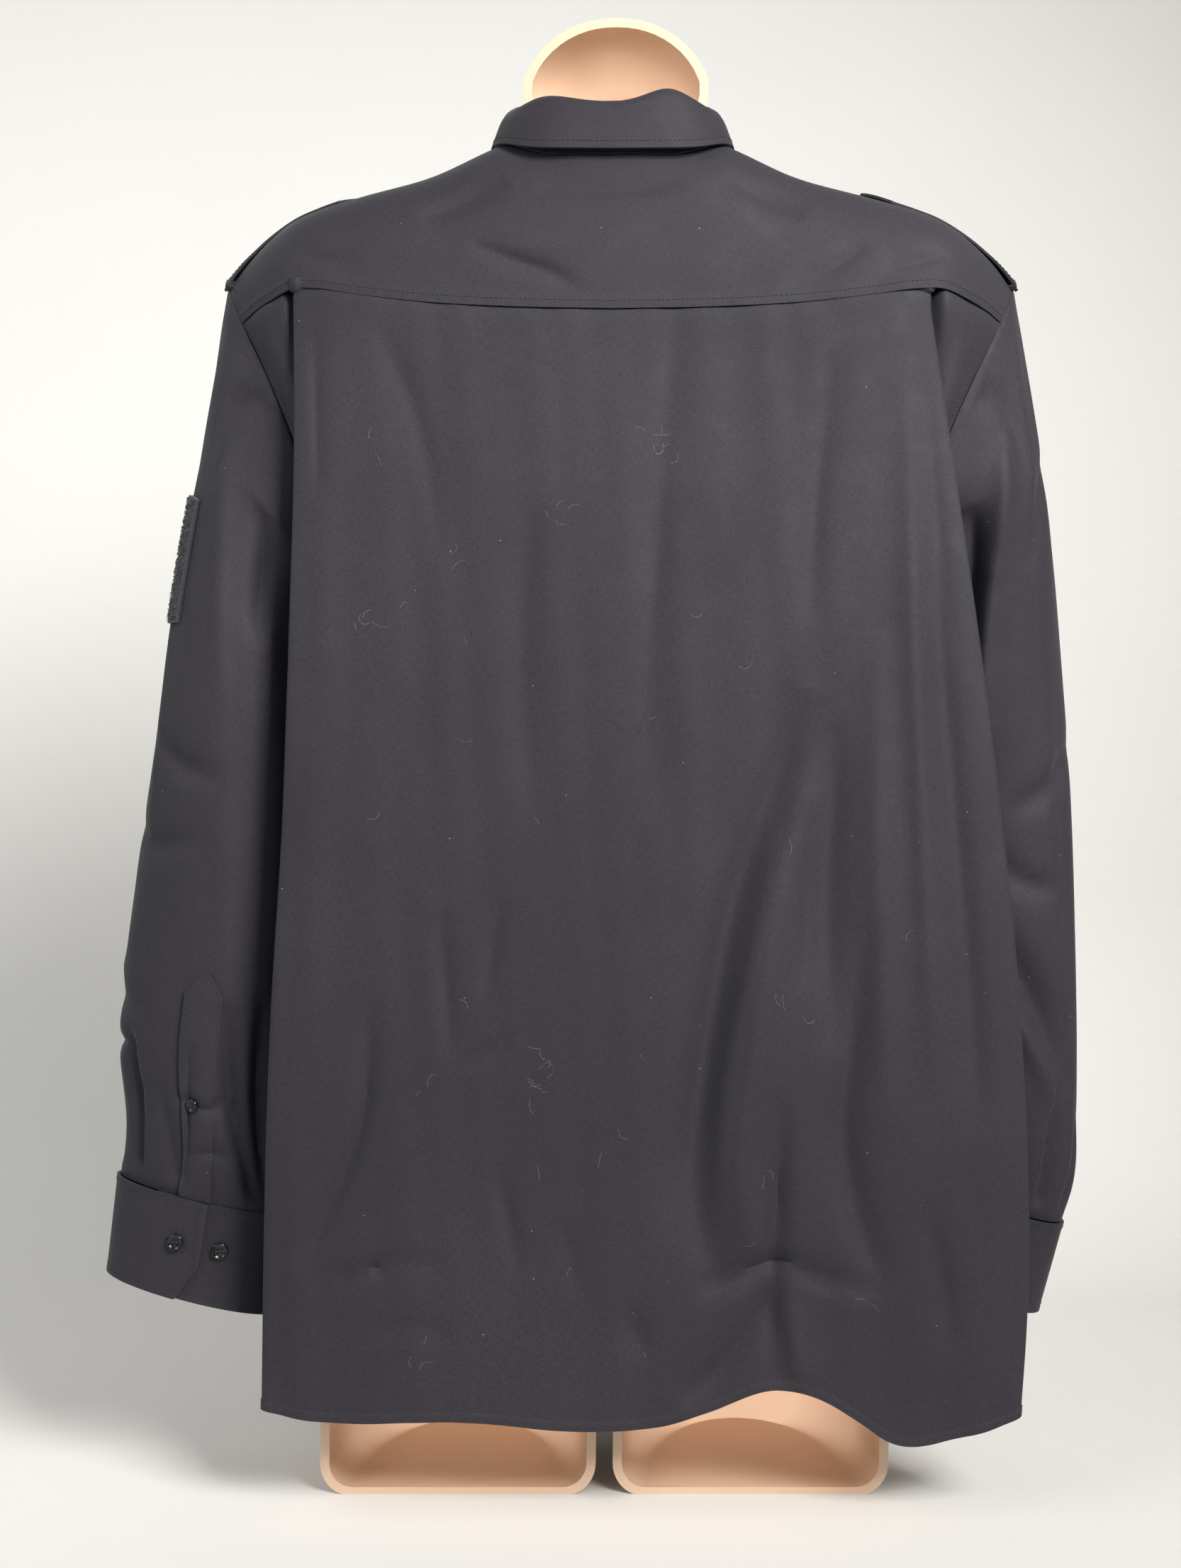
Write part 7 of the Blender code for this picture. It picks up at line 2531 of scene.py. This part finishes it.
@dataclass
class TorsoForm:
    """The hollow-backed plastic form that the shirt hangs on."""

    shop: Workshop
    rim: float = 0.024
    crown: Array = field(default_factory=lambda: np.array((0.062, 0.084, 0.057)))

    def surface(self) -> Array:
        """The form's outer points: each row a half oval that parts into two below the fork.

        Returns:
            Rows of points from the feet up.
        """
        share = FORM_COLUMNS
        grid = []
        for height, half, inner, rim, depth, parted in form_rows():
            whole, leg = np.radians(90 * (1 - share)), np.radians(90 - 180 * share)
            across = mix(np.sin(whole), (1 + np.sin(leg)) / 2, parted)
            x = inner + (half - inner) * across
            y = rim - depth * mix(np.cos(whole), np.cos(leg), parted)
            left = np.stack([x, y, np.full_like(x, height)], -1)
            lean = FORM_LEAN[0] + FORM_LEAN[1] * height
            grid.append(np.concatenate([left, left[::-1] * (-1, 1, 1)]) + (lean, 0, 0))
        return np.stack(grid)

    def build(self) -> None:
        """Builds the shell with a bead along its rim."""
        grid = self.surface()
        legs_join = next(k for k, row in enumerate(form_rows()) if row[-1] < 1.0)
        rows, columns = grid.shape[:2]
        middle = columns // 2
        floor_rows = len(FLOOR_SHARES)
        normals = np.empty_like(grid)
        normals[floor_rows:] = grid_normals(grid[:, ::-1])[floor_rows:, ::-1]
        for half in (slice(0, middle), slice(middle, columns)):
            leg = grid_normals(grid[: legs_join + 1, half][:, ::-1])[:, ::-1]
            normals[floor_rows:legs_join, half] = leg[floor_rows:-1]
        normals[:floor_rows] = (0, 0, -1)
        arch = grid[:, 0, 2] > FORM_NECK_Z + 0.001
        crown = grid[arch] - (FORM_LEAN[0] + FORM_LEAN[1] * FORM_TOP_Z, self.rim, FORM_NECK_Z)
        normals[arch] = unit(crown / self.crown**2)
        rims = np.array([row[3] for row in form_rows()])[:, None]
        bead = np.exp(-(((rims - grid[..., 1]) / FORM_BEAD_REACH) ** 2))[..., None] * FORM_BEAD / 2
        outer = grid + normals * bead
        outer[..., 2] = np.maximum(outer[..., 2], 0.0)
        inner = grid - normals * (FORM_WALL + bead)
        skip = np.zeros((rows - 1, columns - 1), bool)
        skip[: legs_join - 1, middle - 1] = True
        points = np.concatenate([outer[:, ::-1].reshape(-1, 3), inner[:, ::-1].reshape(-1, 3)])
        quads = wall_quads(rows, columns, False, skip[:, ::-1])
        Piece("torso_form_plastic", self.shop.form, Slot.FORM, ("torso_form",), sharp=60.0).add(points, quads)


# Stage, light and camera


@dataclass(frozen=True)
class Lamp:
    """A soft rectangular light aimed at a point."""

    name: str
    place: tuple
    size: float
    power: float
    colour: tuple = (1.0, 1.0, 1.0)
    aim: tuple = (0.0, 0.0, 0.48)
    tall: float = 0.0
    spread: float = 180.0

    def add(self) -> None:
        """Adds the light."""
        data = bpy.data.lights.new(self.name, "AREA")
        data.shape, data.size, data.size_y = "RECTANGLE", self.size, self.tall or self.size
        data.energy, data.color, data.spread = self.power, self.colour, math.radians(self.spread)
        lamp = bpy.data.objects.new(self.name, data)
        lamp.location = self.place
        way = Vector(self.aim) - Vector(self.place)
        lamp.rotation_euler = way.to_track_quat("-Z", "Y").to_euler()
        bpy.context.scene.collection.objects.link(lamp)


@dataclass
class Stage:
    """The pale floor that curves up into a wall, the lights and the camera."""

    wall_y: float = -0.75
    bend: float = 0.35
    reach: float = 6.0
    pale: tuple = (0.7, 0.692, 0.665)
    eye: tuple = (0.0051, 1.3299, 0.461)
    photo_height: int = 2212
    focal_pixels: float = 2727.0
    sensor: float = 36.0
    sky_colour: tuple = (0.93, 0.95, 1.0, 1.0)
    sky_strength: float = 0.3
    worn_floor: float = 0.985
    lamps: tuple = (
        Lamp("key", (-1.0, 1.5, 1.6), 0.9, 18.5, (1.0, 0.985, 0.955), aim=(0.0, 0.0, 0.66), spread=80.0),
        Lamp("side", (1.6, 1.4, 1.4), 0.8, 9.5),
        Lamp("fill", (0.3, 2.4, 0.6), 1.0, 2.0, (1.0, 0.985, 0.95)),
        Lamp("front", (0.6, -2.2, 1.6), 1.8, 7.0),
        Lamp("wall_wash", (1.3, 0.3, 1.2), 1.2, 6.0, aim=(0.8, -0.75, 0.3)),
    )

    def floor(self) -> None:
        """Adds the floor and wall: a profile of two straights and a quarter round, carried sideways."""
        turns = np.linspace(0, math.pi / 2, 25)
        bend_y = self.wall_y + self.bend * (1 - np.sin(turns))
        bend_z = self.bend * (1 - np.cos(turns))
        y = np.concatenate([[self.reach], bend_y, [self.wall_y]])
        z = np.concatenate([[0.0], bend_z, [self.reach]])
        x = np.array((-self.reach, self.reach))
        wide = np.broadcast_to(x, (len(y), 2))
        points = np.stack([wide, *(np.repeat(v[:, None], 2, 1) for v in (y, z))], -1)
        quads = [(2 * k, 2 * k + 1, 2 * k + 3, 2 * k + 2) for k in range(len(y) - 1)]
        mesh = bpy.data.meshes.new("floor")
        mesh.from_pydata(points.reshape(-1, 3).tolist(), [], quads)
        mesh.shade_smooth()
        worn = tuple(self.worn_floor * part for part in self.pale)
        material = Finish("pale_floor", self.pale, worn, 0.9, bump=0.0002)
        mesh.materials.append(material.material(Effects()))
        made = bpy.data.objects.new("floor", mesh)
        bpy.context.scene.collection.objects.link(made)

    def camera(self) -> None:
        """Adds the camera at the photograph's angle."""
        data = bpy.data.cameras.new("camera")
        data.sensor_width = self.sensor
        data.lens = data.sensor_width * self.focal_pixels / self.photo_height
        made = bpy.data.objects.new("camera", data)
        made.location = self.eye
        made.rotation_euler = (math.pi / 2, 0.0, math.pi)
        bpy.context.scene.collection.objects.link(made)
        bpy.context.scene.camera = made

    def build(self) -> None:
        """Adds floor, lights, sky and camera."""
        self.floor()
        for lamp in self.lamps:
            lamp.add()
        world = bpy.data.worlds.new("sky")
        world.use_nodes = True
        sky = world.node_tree.nodes["Background"]
        sky.inputs["Color"].default_value = self.sky_colour
        sky.inputs["Strength"].default_value = self.sky_strength
        bpy.context.scene.world = world
        bpy.context.scene.view_settings.view_transform = "Standard"
        self.camera()


def main() -> None:
    """Builds every piece in order and reports it."""
    logging.basicConfig(level=logging.INFO, format="%(message)s")
    effects = Effects()
    finishes = (SHIRT_CLOTH, LOOP_TAPE, BUTTON_PLASTIC, FORM_PLASTIC, THREAD, LINT)
    cloth, tape, button, form, thread, lint = (finish.material(effects) for finish in finishes)
    shop = Workshop(cloth, tape, button, form, Stitching(), Lint())
    Back(shop).build()
    Yoke(shop).build()
    Fronts(shop).build()
    Collar(shop).build()
    straps = {}
    for side in (LEFT, RIGHT):
        Arm(shop, side).build()
        strap = Epaulette(shop, side)
        strap.build()
        straps[side] = strap.outer
        log.info("sleeve, cuff, placket and epaulette: %s", SIDE_NAMES[side])
    LoopPatch(shop).build()
    Buttons(shop).build(straps)
    TorsoForm(shop).build()
    log.info("stitches: %d", shop.stitching.build(thread))
    log.info("steps of lint: %d", shop.lint.fibres.build(lint))
    Stage().build()


if __name__ == "__main__":
    main()
